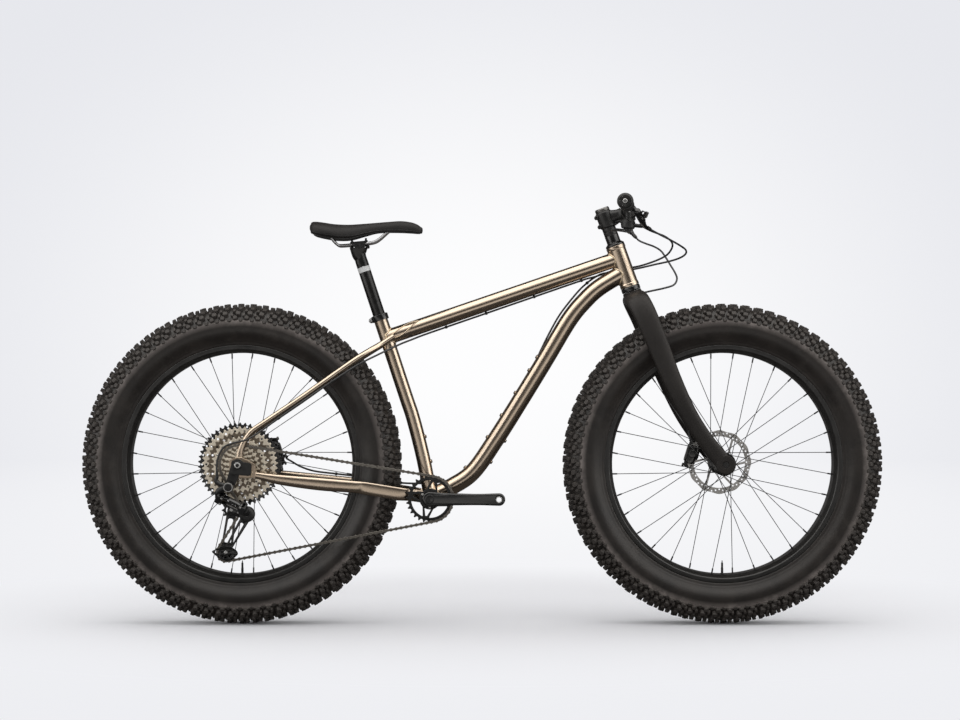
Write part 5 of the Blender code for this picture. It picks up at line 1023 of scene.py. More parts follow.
def seat_collar():
    """The clamp round the top of the seat tube, the two ears behind it with a gap between them, and
    the bolt through both."""
    inner, outer = 0.0182, 0.0212
    profile = [(-0.013, outer), (0.0016, outer), (0.0030, 0.0172), (0.0030, 0.01615), (0.0003, 0.01615)]
    profile += [(0.0003, inner), (-0.013, inner)]
    forms = [turned_ring(profile, 0.0004, SEAT_TOP, SEAT_AXIS, 64, ACROSS)]
    backward = cross(SEAT_AXIS, ACROSS)
    ear = SEAT_TOP - 0.006 * SEAT_AXIS + (outer + 0.0018) * backward
    for side in (-1, 1):
        forms.append(lug(ear, side * ACROSS, 0.0012, 0.0085, 0.0054, 0.0062, backward, nose=0.2))
    piece("seat_clamp_collar", forms, "gloss_black", "frame", ["seat_collar"])
    pin = ear + 0.0012 * backward
    head = bolt(pin - 0.0085 * ACROSS, -ACROSS, 0.0040, 0.0032)
    end = knob_boss(pin + 0.0085 * ACROSS, ACROSS, 0.0032, 0.0012)
    piece("seat_clamp_bolt", [head, end], "rail_steel", "frame")
    washer = [(-0.0005, 0.0050), (0.0006, 0.0050), (0.0006, 0.0041), (-0.0005, 0.0041)]
    washer = turned_ring(washer, 0.0003, pin - 0.0085 * ACROSS, -ACROSS, 36)
    piece("seat_clamp_washer", washer, "anodised", "frame")


def lower_cup():
    """The lower bearing's cup with its lip, hollow for the steerer."""
    r = HEAD_TUBE_RADIUS
    profile = [(-0.0003, r), (-0.003, r + 0.0009), (-0.0108, r + 0.0009), (-0.0120, r - 0.0006)]
    profile += [(-0.0120, STEERER_BORE), (0.0090, STEERER_BORE), (0.0090, 0.0180), (-0.0003, 0.0180)]
    cup = turned_ring(profile, 0.0005, HEAD_LOW, STEER_AXIS, 72, ACROSS)
    piece("turned_lower_cup", cup, "gloss_black", "frame", ["lower_headset_cup"])


def bracket_cups():
    """The two cups of the bottom bracket with their tool notches, and the sleeve between them."""
    sleeve, seat = 0.0150, 0.0180
    a, b, c = SHELL_HALF_WIDTH - 0.012, SHELL_HALF_WIDTH + 0.0003, SHELL_HALF_WIDTH + 0.0115
    half = [(a, sleeve), (a, seat), (b, seat), (b, 0.0212), (c - 0.0025, 0.0212)]
    half += [(c - 0.0015, 0.0198), (c, 0.0190), (c, 0.0126)]
    profile = [(-y, r) for y, r in reversed(half)] + half
    forms = [turned_ring(profile, 0.0004, BRACKET, ACROSS, 64)]
    for side in (-1, 1):
        starts = polar(BRACKET, turns(16), 0.0208, side * (b + 0.0006))
        forms.append(rods(starts, starts + side * 0.0086 * ACROSS, 0.0014, 10))
    piece("bracket_cups", forms, "gloss_black", "frame", ["bottom_bracket"])


def frame_bosses():
    """Threaded bosses with button bolts on the tubes, at the places that the photograph shows. Each
    stands out from the tube's centre line towards its own place."""
    above = (
        (0.1319, 0.6668), (0.1119, 0.6343), (0.0794, 0.5768), (0.0431, 0.5218), (0.0094, 0.4668),
        (-0.0444, 0.3905),
    )
    below = ((0.0606, 0.4518), (0.0269, 0.3980))
    ahead = ((-0.1381, 0.4668), (-0.1256, 0.4043))
    bolts, bosses = [], []
    for path, radius, places in (
        (down_tube_path(), DOWN_TUBE_RADIUS, above + below),
        (seat_tube_path(), SEAT_TUBE_RADIUS, ahead),
    ):
        for x, z in places:
            spot = at(x, 0, z)
            k = int(np.argmin(np.linalg.norm(path - spot, axis=1)))
            line = unit(path[k + 1] - path[k - 1])
            foot = path[k] + (spot - path[k]).dot(line) * line
            out = unit(spot - foot)
            bosses.append(knob_boss(foot + radius * out, out, 0.0052, 0.0012))
            bolts.append(bolt(foot + (radius + 0.0012) * out, out, 0.0040, 0.0022, 0.6))
    piece("frame_bosses", bosses, "titanium_plate", "frame")
    piece("frame_boss_bolts", bolts, "anodised", "frame")


# Fork, stem and handlebar

FORK_LEG = (
    # distance along the steering axis, forward, aside, half thickness, half depth
    (-0.0300, 0.0000, 0.0000, 0.0180, 0.0280),
    (-0.0320, 0.0010, 0.0300, 0.0160, 0.0290),
    (-0.0450, 0.0030, 0.0600, 0.0150, 0.0290),
    (-0.0850, 0.0070, 0.0760, 0.0130, 0.0280),
    (-0.1600, 0.0100, 0.0790, 0.0120, 0.0265),
    (-0.2500, 0.0130, 0.0800, 0.0115, 0.0235),
    (-0.3400, 0.0210, 0.0815, 0.0105, 0.0215),
    (-0.4100, 0.0360, 0.0825, 0.0095, 0.0205),
    (-0.4600, 0.0520, 0.0828, 0.0080, 0.0210),
    (-0.4850, 0.0615, 0.0828, 0.0072, 0.0205),
)
STEM_HEIGHT = 0.182
BAR_HALF_WIDTH = 0.380
BAR_SWEEP = at(-0.033, 0.380, 0.001)
BAR_CLAMP_RADIUS = 0.0159
BAR_END_RADIUS = 0.0111


def fork_blades():
    """Both legs and the crown as one skin. Its oval section turns with a line through leg, crown
    and leg, and the sizes change smoothly along it."""
    table = np.array(FORK_LEG)
    mirror = table[:0:-1] * at(1, 1, -1, 1, 1)
    rows = smooth_path(np.concatenate([mirror, table]), 9)
    along, forward, aside, thick, deep = rows.T
    path = HEAD_LOW + along[:, None] * STEER_AXIS + forward[:, None] * STEER_FORWARD + aside[:, None] * ACROSS
    return path, thick, deep


def fork():
    """The one-piece fork: legs and crown, a turned crown race, the feet round the axle."""
    path, thick, deep = fork_blades()
    crown = [
        (-0.0123, 0.012), (-0.0123, HEAD_TUBE_RADIUS), (-0.022, 0.0249), (-0.040, 0.0240), (-0.040, 0.012),
    ]
    crown = turned_ring(crown, 0.002, HEAD_LOW, STEER_AXIS, 72, ACROSS)
    forms = [sweep(path, deep, thick, 56, STEER_FORWARD, 0.9), crown]
    low, high = 0.0753, 0.0900
    foot = eased([(low, 0.0076), (low, 0.0236), (high, 0.0236), (high, 0.0076)], 0.0022, 4, closed=True)
    for side in (-1, 1):
        forms.append(revolve(foot * (side, 1), FRONT_AXLE, ACROSS, 72, UP, closed=True))
    piece("moulded_fork", forms, "carbon", "steering", ["fork"], 50)


def headset_top():
    """The upper bearing, its cover and two spacers, which turn with the fork."""
    top, r = HEAD_TUBE_LENGTH, HEAD_TUBE_RADIUS
    profile = [
        (top - 0.008, 0.0180), (top + 0.0003, 0.0180), (top + 0.0003, r + 0.0006),
        (top + 0.0045, r + 0.0006),
    ]
    profile += [(top + 0.0100, 0.0174), (0.1360, 0.0174), (0.1360, STEERER_BORE), (top - 0.008, STEERER_BORE)]
    cover = turned_ring(profile, 0.0006, HEAD_LOW, STEER_AXIS, 72, ACROSS)
    spacers = []
    for low, high in ((0.1364, 0.1463), (0.1467, 0.1571)):
        profile = [(low, STEERER_BORE), (low, 0.0172), (high, 0.0172), (high, STEERER_BORE)]
        spacers.append(turned_ring(profile, 0.0005, HEAD_LOW, STEER_AXIS, 64, ACROSS))
    piece("turned_bearing_cover", cover, "gloss_black", "steering", ["headset_cover_and_spacers"])
    piece("headset_spacers", spacers, "anodised", "steering")


def arc_band(radius, wall, start, end, count=28):
    """The (forward, up) outline of part of a ring between two angles, with its ends square."""
    angle = np.linspace(start, end, count)
    outer = np.stack([np.cos(angle), np.sin(angle)], 1) * (radius + wall)
    inner = np.stack([np.cos(angle), np.sin(angle)], 1)[::-1] * radius
    return np.concatenate([outer, inner])


def stem():
    """The stem's collar and extension, the two halves of its clamp with four bolts, and its cap."""
    centre = steer_point(STEM_HEIGHT)
    forward = unit(BAR_CENTRE - centre)
    upright = cross(forward, ACROSS)
    tilt = math.degrees(math.atan2(forward[2], forward[0]))

    def clamp_plate(start, end, low, high):
        turned = arc_band(0.0161, 0.0047, math.radians(start + tilt), math.radians(end + tilt))
        return plate([turned + BAR_CENTRE[[0, 2]]], low, high, 0.0009, 3)

    collar = [(0.1575, STEERER_BORE), (0.1575, 0.0188), (0.1605, 0.0202), (0.1955, 0.0202)]
    collar += [(0.1985, 0.0188), (0.1985, STEERER_BORE)]
    line = [centre + along * forward for along in (0.014, 0.024, 0.034)] + [BAR_CENTRE - 0.018 * forward]
    sizes = [(0.0165, 0.0172), (0.0152, 0.0150), (0.0160, 0.0142), (0.0212, 0.0160)]
    rows = smooth_path(np.concatenate([line, sizes], 1), 8)
    extension = sweep(rows[:, :3], rows[:, 3], rows[:, 4], 48, ACROSS, 0.7)
    forms = [turned_ring(collar, 0.0010, HEAD_LOW, STEER_AXIS, 72, ACROSS), extension]
    piece("forged_stem", [*forms, clamp_plate(96, 264, -0.0230, 0.0230)], "anodised", "steering", ["stem"])
    face = [clamp_plate(-86, 86, low, high) for low, high in ((-0.0230, -0.0092), (0.0092, 0.0230))]
    face += [clamp_plate(start, end, -0.0095, 0.0095) for start, end in ((-86, -38), (38, 86))]
    bolts = []
    for side in (-1, 1):
        for level in (-1, 1):
            seat = BAR_CENTRE + side * 0.0160 * ACROSS + level * 0.0196 * upright
            face.append(lug(seat, forward, -0.006, 0.0098, 0.0058, 0.0046, ACROSS, 0.85))
            bolts.append(bolt(seat + 0.0088 * forward, forward, 0.0038, 0.0036))
    for level in (0.1655, 0.1900):
        for side in (-1, 1):
            seat = steer_point(level, -0.0200, side * 0.0062)
            face.append(lug(seat, side * ACROSS, -0.0052, 0.0068, 0.0052, 0.0052, STEER_AXIS, 0.9))
        bolts.append(bolt(steer_point(level, -0.0205, -0.0130), -ACROSS, 0.0036, 0.0030))
    piece("stem_clamp_face", face, "anodised", "steering", ["stem_faceplate"])
    piece("stem_bolts", bolts, "anodised", "steering")
    cap = [(0.1988, 0.0008), (0.1988, 0.0183), (0.2050, 0.0183), (0.2078, 0.0166)]
    cap += [(0.2074, 0.0060), (0.2064, 0.0050), (0.2064, 0.0008)]
    cap = turned_cap(cap, 0.0006, HEAD_LOW, STEER_AXIS, 72, ACROSS)
    piece("steerer_cap", cap, "cap_grey", "steering", ["steerer_top_cap"])
    piece("steerer_cap_bolt", bolt(steer_point(0.2058), STEER_AXIS, 0.0046, 0.0022), "anodised", "steering")


def bar_point(y):
    """The middle of the handlebar at a distance from the middle: straight for 60 mm, then swept."""
    share = np.maximum(0.0, (np.abs(y) - 0.060) / (BAR_HALF_WIDTH - 0.060))
    return BAR_CENTRE + np.stack([BAR_SWEEP[0] * share, np.asarray(y) + 0 * share, BAR_SWEEP[2] * share], -1)


def bar_direction(side):
    return unit(bar_point(side * BAR_HALF_WIDTH) - bar_point(side * 0.2))


def handlebar():
    """A tapered tube: full size in the clamp, then down to the grip's size by a smooth step."""
    y = np.linspace(-BAR_HALF_WIDTH, BAR_HALF_WIDTH, 129)
    share = np.clip((np.abs(y) - 0.035) / 0.095, 0, 1)
    share = share**2 * (3 - 2 * share)
    radius = BAR_CLAMP_RADIUS + (BAR_END_RADIUS - BAR_CLAMP_RADIUS) * share
    piece(
        "tapered_handlebar", sweep(bar_point(y), radius, radius, 48, UP), "anodised", "steering",
        ["handlebar"],
    )


def grip(side, word):
    """A lock-on grip: ribs by the sine of the way along, a smooth outer pad and an end ring."""
    direction = bar_direction(side)
    end = bar_point(side * BAR_HALF_WIDTH)
    along = np.linspace(-0.1165, -0.0105, 190)
    wave = np.clip(np.sin((along + 0.1165) * math.tau / 0.0044), -0.3, 1)
    swell = 0.0006 * np.sin((along + 0.1165) / 0.106 * math.pi)
    profile = [(-0.1165, GRIP_BORE), *zip(along, 0.0147 + 0.0007 * wave + swell), (-0.0105, GRIP_BORE)]
    sleeve = revolve(profile, end, direction, 56, UP, closed=True)
    piece(f"ribbed_{word}_grip", sleeve, "rubber", "steering", [f"{word}_grip"])
    collar = [(-0.1280, GRIP_BORE), (-0.1280, 0.0172), (-0.1170, 0.0172), (-0.1170, GRIP_BORE)]
    collar = turned_ring(collar, 0.0008, end, direction, 56)
    cap = [(-0.0100, 0.0182), (-0.0092, 0.0194), (-0.0030, 0.0194), (-0.0020, 0.0166), (0.0036, 0.0160)]
    cap += [(0.0050, 0.0146), (0.0050, 0.0098), (0.0030, 0.0092), (0.0030, 0.0008)]
    cap = revolve([(-0.0100, GRIP_BORE), *eased(cap, 0.0006)], end, direction, 56, UP)
    socket = end + 0.0028 * direction
    star = [bolt(socket, direction, 0.0056, 0.0026, 0.3, 0.62)]
    for angle in turns(6):
        post = [(0, 0.0003), (0, 0.0011), (0.0026, 0.0010), (0.0026, 0.0003)]
        star.append(revolve(post, polar(socket, angle, 0.0122, 0), direction, 12, UP))
    piece(f"{word}_grip_plug", star, "steel", "steering")
    screw = bolt(end - 0.1225 * direction + 0.0168 * unit(at(0.3, 0, -1)), at(0.3, 0, -1), 0.0026, 0.0016)
    piece(f"{word}_grip_rings", [collar, cap], "anodised", "steering")
    piece(f"{word}_grip_screw", screw, "steel", "steering")


# Brake levers and shifter

LEVER_CLAMP_Y = 0.228
SHIFTER_CLAMP_Y = 0.198
LEVER_AXIS = unit(at(0.55, 0, 0.835))
SHIFT_AXIS = unit(at(0.10, 0, 1.0))
SHIFTER_CENTRE = at(0.35106, -0.202, 0.98344)
PADDLES = (("upshift", 0.0135, 165, 0.036), ("downshift", 0.0180, 200, 0.044))


def clamp_band(y, side, half, wall):
    """A clamp's eased ring round the handlebar."""
    profile = [(-half, GRIP_BORE), (-half, GRIP_BORE + wall), (half, GRIP_BORE + wall), (half, GRIP_BORE)]
    return turned_ring(profile, 0.0009, bar_point(side * y), bar_direction(side), 56, steps=4)


def lever_pivot(side):
    """The middle between the ears that hold a brake lever."""
    return bar_point(side * LEVER_CLAMP_Y) + at(0.0375, side * 0.0060, -0.0225)


def brake_control(side, word):
    """The clamp, the slanted master cylinder with its reservoir, the ears and the hose nut."""
    clamp = bar_point(side * LEVER_CLAMP_Y)
    outer_end = clamp + at(0.020, side * 0.018, -0.012)
    inner_end = clamp + at(0.047, -side * 0.036, -0.050)
    pivot = lever_pivot(side)
    line = unit(inner_end - outer_end)
    length = np.linalg.norm(inner_end - outer_end)
    profile = [(0.0, 0.0006), (0.0, 0.0062), (0.0035, 0.0086), (0.0435, 0.0086), (0.0470, 0.0066)]
    profile += [(0.0540, 0.0060), (0.0550, 0.0048), (length, 0.0045), (length, 0.0006)]
    neck = [
        clamp + at(0.0125, 0, -0.006), clamp + at(0.021, -side * 0.001, -0.013),
        outer_end + 0.24 * length * line,
    ]
    forward = cross(ACROSS, LEVER_AXIS)
    forms = [
        clamp_band(LEVER_CLAMP_Y, side, 0.0065, 0.0042),
        turned_cap(profile, 0.0013, outer_end, line, 48, steps=4),
        sweep(smooth_path(neck, 8), [0.0066, 0.0056, 0.0064], [0.0066, 0.0058, 0.0064], 28, UP, 0.8),
        lug(pivot - 0.0068 * forward, LEVER_AXIS, -0.0072, 0.0072, 0.0060, 0.0022, ACROSS, 0.7, sides=24),
        lug(clamp + at(-0.0125, 0, -0.0010), ACROSS, -0.0055, 0.0055, 0.0042, 0.0046, UP, sides=24),
    ]
    screws = [bolt(clamp + at(-0.0150, 0, -0.0020), at(-1, 0, -0.2), 0.0030, 0.0024)]
    for level in (-1, 1):
        place = pivot + level * 0.0072 * LEVER_AXIS
        forms.append(lug(place, forward, -0.0075, 0.0068, 0.0062, 0.0014, nose=0.6))
        place = pivot + 0.0030 * forward + level * 0.0085 * LEVER_AXIS
        screws.append(bolt(place, level * LEVER_AXIS, 0.0028, 0.0012))
    piece(f"cast_{word}_master_cylinder", forms, "gloss_black", "steering", [f"{word}_master_cylinder"])
    piece(f"{word}_master_cylinder_screws", screws, "steel", "steering")


def lever_blade(side, word):
    """The blade: a rounded section along a smooth line, waisted in the middle and hooked at its end."""
    forward = cross(ACROSS, LEVER_AXIS)
    hinge = lever_pivot(side) + 0.0030 * forward
    offsets = ((-0.0010, -0.0030), (0.0040, 0.0110), (0.0020, 0.0360), (-0.0030, 0.0600), (0.0020, 0.0780))
    path = smooth_path([hinge + ahead * forward + side * out * ACROSS for ahead, out in offsets], 14)
    tall = spread([0.0052, 0.0050, 0.0042, 0.0040, 0.0042, 0.0046, 0.0048, 0.0050], len(path))
    thick = spread([0.0036, 0.0036, 0.0030, 0.0027, 0.0026, 0.0027, 0.0030, 0.0036], len(path))
    blade = bar(path, tall, thick, 32, LEVER_AXIS, 0.75, 0.8, step=0.0012)
    hub = [(-0.0055, 0.0006), (-0.0055, 0.0046), (0.0055, 0.0046), (0.0055, 0.0006)]
    hub = turned_cap(hub, 0.0006, hinge, LEVER_AXIS, 36, ACROSS)
    piece(f"bent_{word}_lever", [blade, hub], "gloss_black", f"{word}_lever", [f"{word}_brake_lever"])


def shifter():
    """The pod under the right side of the bar with its clamp, cover, window and outlet."""
    clamp = bar_point(-SHIFTER_CLAMP_Y)
    neck = smooth_path([clamp - 0.0125 * UP, clamp + at(0.001, -0.002, -0.024), SHIFTER_CENTRE], 6)
    drum = [(-0.0110, 0.0006), (-0.0110, 0.0122), (-0.0088, 0.0166), (0.0078, 0.0168), (0.0126, 0.0106)]
    first, second = SHIFT_HOUSING[:2]
    outlet = first - 0.0014 * unit(second - first)
    spout = [0.0064, 0.0050, 0.0042]
    forms = [
        clamp_band(SHIFTER_CLAMP_Y, -1, 0.0055, 0.0038),
        sweep(neck, 0.0052, 0.0066, 28, ACROSS, 0.8),
        turned_cap([*drum, (0.0126, 0.0006)], 0.0022, SHIFTER_CENTRE, SHIFT_AXIS, 64, ACROSS, steps=4),
        sweep(np.linspace(SHIFTER_CENTRE, outlet, 10), spout, spout, 28, UP),
        lug(clamp + at(-0.012, 0, -0.004), ACROSS, -0.0045, 0.0045, 0.0036, 0.0040, UP, sides=24),
    ]
    piece("moulded_shifter_pod", forms, "plastic", "steering", ["shifter_pod"])
    cover = [(0.0122, 0.0006), (0.0122, 0.0088), (0.0134, 0.0080), (0.0134, 0.0006)]
    cover = turned_cap(cover, 0.0004, SHIFTER_CENTRE, SHIFT_AXIS, 48, ACROSS)
    barrel = [(-0.0095, 0.0026), (-0.0095, 0.0046), (-0.0005, 0.0040), (-0.0005, 0.0026)]
    barrel = turned_ring(barrel, 0.0005, first, unit(second - first), 36)
    piece("shifter_cover_and_barrel", [cover, barrel], "gloss_black", "steering")
    screws = [bolt(clamp + at(-0.0150, 0, -0.0045), at(-1, 0, -0.3), 0.0026, 0.0022)]
    screws.append(bolt(SHIFTER_CENTRE + 0.0128 * SHIFT_AXIS, SHIFT_AXIS, 0.0030, 0.0016))
    piece("shifter_screws", screws, "steel", "steering")


def shift_paddle(word, below, turn, length):
    """A thumb paddle: a waisted arm out of a round hub, with three grip lines across its pad."""
    angle = math.radians(turn)
    base = unit(at(1, 0, -0.10))
    heading = base * math.cos(angle) + cross(SHIFT_AXIS, base) * math.sin(angle)
    root = SHIFTER_CENTRE - below * SHIFT_AXIS
    path = root + np.linspace(0, 1, 5)[:, None] * length * heading
    arm = bar(
        path, [0.0068, 0.0050, 0.0052, 0.0076, 0.0084], 0.0019, 32, cross(SHIFT_AXIS, heading), 0.7, 0.9,
        step=0.001,
    )
    hub = [(-0.0019, 0.0006), (-0.0019, 0.0085), (0.0019, 0.0085), (0.0019, 0.0006)]
    hub = turned_cap(hub, 0.0006, root, SHIFT_AXIS, 40, ACROSS)
    across = cross(SHIFT_AXIS, heading)
    lines = root + np.array([[0.76], [0.84], [0.92]]) * length * heading - 0.0017 * SHIFT_AXIS
    ribs = rods(lines - 0.0052 * across, lines + 0.0052 * across, 0.0006, 10)
    piece(f"{word}_thumb_paddle", [arm, hub, ribs], "plastic", word, [f"{word}_paddle"])


# Wheels

KNOB_ROWS = (
    # distance from the middle, radius of the casing, half length round, half width, height,
    # tilt outwards in degrees, share of a pitch that the row is moved by, turn in degrees
    (0.0085, 0.3893, 0.0056, 0.0060, 0.0094, 4, 0.00, 8),
    (0.0230, 0.3864, 0.0050, 0.0058, 0.0092, 14, 0.50, -10),
    (0.0345, 0.3800, 0.0054, 0.0056, 0.0090, 28, 0.04, 7),
    (0.0400, 0.3762, 0.0038, 0.0044, 0.0078, 38, 0.52, -16),
    (0.0452, 0.3705, 0.0066, 0.0060, 0.0088, 48, 0.20, -6),
    (0.0478, 0.3676, 0.0034, 0.0046, 0.0068, 54, 0.70, 14),
    (0.0512, 0.3622, 0.0056, 0.0050, 0.0058, 64, 0.46, 9),
    (0.0530, 0.3572, 0.0040, 0.0036, 0.0032, 72, 0.96, -12),
)
PITCHES = 78
SPOKES = 32


def polar(centre, angle, radius, y):
    """Places round a wheel: centre + radius * (cos, 0, sin) + y across."""
    angle, radius, y = np.broadcast_arrays(angle, radius, y)
    return centre + np.stack([radius * np.cos(angle), y, radius * np.sin(angle)], -1)


def casing_profile():
    """The casing's section from bead to bead, as (distance from the middle, radius). A fine mould
    line stands up near the bead."""
    half = [
        (0.0372, 0.2950), (0.0392, 0.2962), (0.0404, 0.2990), (0.0420, 0.3040), (0.0458, 0.3120),
        (0.0505, 0.3215), (0.0533, 0.3300), (0.0543, 0.3385), (0.0543, 0.3460), (0.0536, 0.3530),
        (0.0518, 0.3590), (0.0488, 0.3652), (0.0445, 0.3712), (0.0388, 0.3772), (0.0318, 0.3824),
        (0.0235, 0.3863), (0.0130, 0.3888), (0.0, 0.3897),
    ]
    y, radius = smooth_path(half, 4).T
    y = y + 0.0006 * np.exp(-(((radius - 0.3052) / 0.0007) ** 2))
    return np.concatenate([y, -y[-2::-1]]), np.concatenate([radius, radius[-2::-1]])


def casing(centre):
    """The tyre's casing: its section carried round the axle."""
    y, radius = casing_profile()
    return skin(polar(centre, turns(312)[:, None], radius[None], y[None]), closed=True)


def tyre_knob(half_long, half_wide, height):
    """One tread block: a tapered block with chamfered corners and top, standing on z = 0. Its rings
    shrink from 1.16 at the foot to 0.78 at the top."""
    half = [(-1, -0.55), (-0.6, -1), (0.6, -1), (1, -0.55)]
    corner = np.array(half + [(-x, -y) for x, y in half])
    rings = []
    for share, size in ((-0.25, 1.18), (0.05, 1.14), (0.30, 0.98), (0.88, 0.92), (1.0, 0.78)):
        flat = corner * (half_long * size, half_wide * size)
        rings.append(np.concatenate([flat, np.full((8, 1), share * height)], 1))
    return skin(np.array(rings))


def knob_row(centre, side, y, radius, half_long, half_wide, height, tilt, shift, turn):
    """A row of blocks round the tyre. Each one's axes are the way round, across and outwards. The
    last two tilt to the casing's slope, and neighbours turn one way and the other on their feet."""
    number = np.arange(PITCHES)
    angle = -math.pi / 2 + (number + shift + 0.05 * np.sin(number * 2.4)) * math.tau / PITCHES
    out = np.stack([np.cos(angle), 0 * angle, np.sin(angle)], 1)
    round_ = np.stack([-np.sin(angle), 0 * angle, np.cos(angle)], 1)
    lean = side * math.radians(tilt)
    normal = math.cos(lean) * out + math.sin(lean) * ACROSS
    across = cross(normal, round_)
    twist = np.radians(turn) * np.where(number % 2, 1.0, -0.4)[:, None]
    along = np.cos(twist) * round_ + np.sin(twist) * across
    places = centre + radius * out + side * y * ACROSS
    axes = np.stack([along, cross(normal, along), normal], 1)
    return copies(tyre_knob(half_long, half_wide, height), places, axes)


def tread(centre):
    rows = []
    for side in (-1, 1):
        for y, radius, long_, wide, height, tilt, shift, turn in KNOB_ROWS:
            offset = shift + (0.22 if side > 0 else 0)
            rows.append(knob_row(centre, side, y, radius, long_, wide, height, tilt, offset, turn))
    return rows


def wheel_tyre(word, centre):
    piece(f"{word}_tyre_casing", casing(centre), "tyre_side", f"{word}_wheel", [f"{word}_tyre"], 60)
    piece(f"{word}_tyre_knobs", tread(centre), "tyre", f"{word}_wheel", (), 30)


def wheel_rim(word, centre):
    """The rim's section: walls with hooked edges, a joint line, and a spoke bed with rounded corners."""
    half = RIM_HALF_WIDTH
    outer = [
        (half - 0.0004, 0.2957), (half, 0.2935), (half, 0.2855), (half - 0.0022, 0.2826), (0.0215, 0.2762),
        (0.0150, 0.2757),
    ]
    inner = [(half - 0.0030, 0.2957), (half - 0.0034, 0.2900)]
    corner = [(-y, r) for y, r in outer] + outer[::-1] + inner + [(0.0, 0.2840)] + [
        (-y, r)
        for y, r in inner[::-1]
    ]
    profile = eased(corner, 0.0016, 3, closed=True)
    body = skin(polar(centre, turns(256)[:, None], profile[None, :, 1], profile[None, :, 0]), closed=True)
    piece(f"{word}_rim_hoop", body, "rim_black", f"{word}_wheel", [f"{word}_rim"])
    foot = centre - 0.2758 * UP
    stem = [(-0.0010, 0.0008), (-0.0010, 0.0058), (0.0016, 0.0052), (0.0016, 0.0030), (0.0150, 0.0030)]
    stem += [(0.0150, 0.0026), (0.0270, 0.0026), (0.0278, 0.0014), (0.0330, 0.0012), (0.0330, 0.0004)]
    valve = turned_cap(stem, 0.0003, foot, UP, 28, ACROSS)
    threads = screw_thread(np.linspace(0.0040, 0.0145, 14), 0.0002, 0.0026, 0.0033, foot, UP, 24, ACROSS)
    piece(f"{word}_valve", [valve, *threads], "anodised", f"{word}_wheel")


def spoke_lines(centre, flange_radius, flanges):
    """Spokes cross three times: each starts at a hub angle and ends three flange places away."""
    starts, ends = [], []
    per_flange = SPOKES // 2
    k = np.arange(per_flange)
    lean = np.where(k % 2 == 0, 1, -1)
    for side, flange_y in flanges:
        hub_angle = math.tau * (k + 0.25 * side) / per_flange
        rim_angle = hub_angle + lean * math.tau * 3.0 / per_flange
        starts.append(polar(centre, hub_angle, flange_radius - 0.003, flange_y + 0.0018 * lean))
        ends.append(polar(centre, rim_angle, 0.2752, side * (0.013 + 0.003 * lean)))
    return np.concatenate(starts), np.concatenate(ends)


def wheel_hub(word, centre, flanges, ends, bore):
    """The hub shell with two drilled flanges, the laced spokes with their heads and nipples."""
    (_, right), (_, left) = flanges
    start, end = ends
    thick, rim_radius = 0.0019, 0.0290
    profile = [(start, bore + 0.0030)]
    profile += [
        (right - thick - 0.0060, 0.0130), (right - thick - 0.0010, 0.0200), (right - thick, rim_radius),
    ]
    profile += [
        (right + thick, rim_radius), (right + thick + 0.0015, 0.0200), (right + thick + 0.0120, 0.0150),
    ]
    profile += [(left - thick - 0.0120, 0.0150), (left - thick - 0.0015, 0.0200), (left - thick, rim_radius)]
    profile += [(left + thick, rim_radius), (left + thick + 0.0010, 0.0190), (left + thick + 0.0030, 0.0164)]
    profile += [(end, 0.0160), (end, bore), (start, bore)]
    shell = turned_ring(profile, 0.0009, centre, ACROSS, 72)
    piece(f"{word}_hub_shell", shell, "gloss_black", f"{word}_wheel", [f"{word}_hub"])
    starts, finish_places = spoke_lines(centre, rim_radius, flanges)
    line = unit(finish_places - starts)
    spokes = rods(starts, finish_places, 0.00092, 8)
    heads = rods(starts - 0.0012 * line, starts + 0.0010 * line, 0.0021, 10)
    piece(f"{word}_spokes", [spokes, heads], "spoke_black", f"{word}_wheel")
    nipples = rods(finish_places - 0.0125 * line, finish_places, 0.0019, 8)
    piece(f"{word}_nipples", nipples, "spoke_black", f"{word}_wheel")


def brake_disc(word, centre, y):
    """The disc: a waved and drilled band on leaning arms, and its lock ring. The band's radius waves
    by the cosine of twelve times the angle, and the drilled rows step in and out over four holes."""
    low, high = y - 0.0009, y + 0.0009
    angle = turns(240)
    outer = 0.0796 + 0.0012 * np.cos(angle * 12)
    loops = [polar(centre, angle, outer, 0)[:, [0, 2]], ring(centre, 0.0172, 48)]
    for start in range(0, 360, 60):
        wide = arc(centre, 0.0652, 22, start + 2, start + 57)
        tight = arc(centre, 0.0300, 10, start + 36, start - 14)
        loops.append(eased(np.concatenate([wide, tight]), 0.0030, 3, closed=True))
    for k, angle in enumerate(turns(48)):
        hole = polar(centre, angle, (0.0688, 0.0718, 0.0750, 0.0718)[k % 4], 0)
        loops.append(ring(hole, 0.0021, 12))
    piece(
        f"{word}_brake_disc", plate(loops, low, high, 0.0002), "disc_steel", f"{word}_wheel",
        [f"{word}_rotor"],
    )
    nut = np.array([(0.0009, 0.0168), (0.0009, 0.0240), (0.0034, 0.0235), (0.0042, 0.0205), (0.0042, 0.0168)])
    nut = turned_ring(nut * (math.copysign(1, y), 1) + (y, 0), 0.0005, centre, ACROSS, 64)
    piece(f"{word}_disc_lock_ring", nut, "anodised", f"{word}_wheel")


def axle(name, centre, plain, far, radius, body, stands_for):
    """A through axle with a turned head and a key socket."""
    line = math.copysign(1, far - plain) * ACROSS
    wide = radius + 0.0030
    length = abs(far - plain)
    start = centre + plain * ACROSS
    profile = [(0, 0.0006), (0, radius), (length - 0.005, radius), (length - 0.005, wide)]
    profile += [(length - 0.0012, wide), (length - 0.0002, wide * 0.86), (length - 0.0002, 0.0006)]
    piece(name, revolve(profile, start, line, 48, UP), "anodised", body, [stands_for])
    socket = bolt(start + (length - 0.0012) * line, line, wide * 0.84, 0.0014, 0.4, 0.6)
    piece(name + "_key_end", socket, "steel", body)


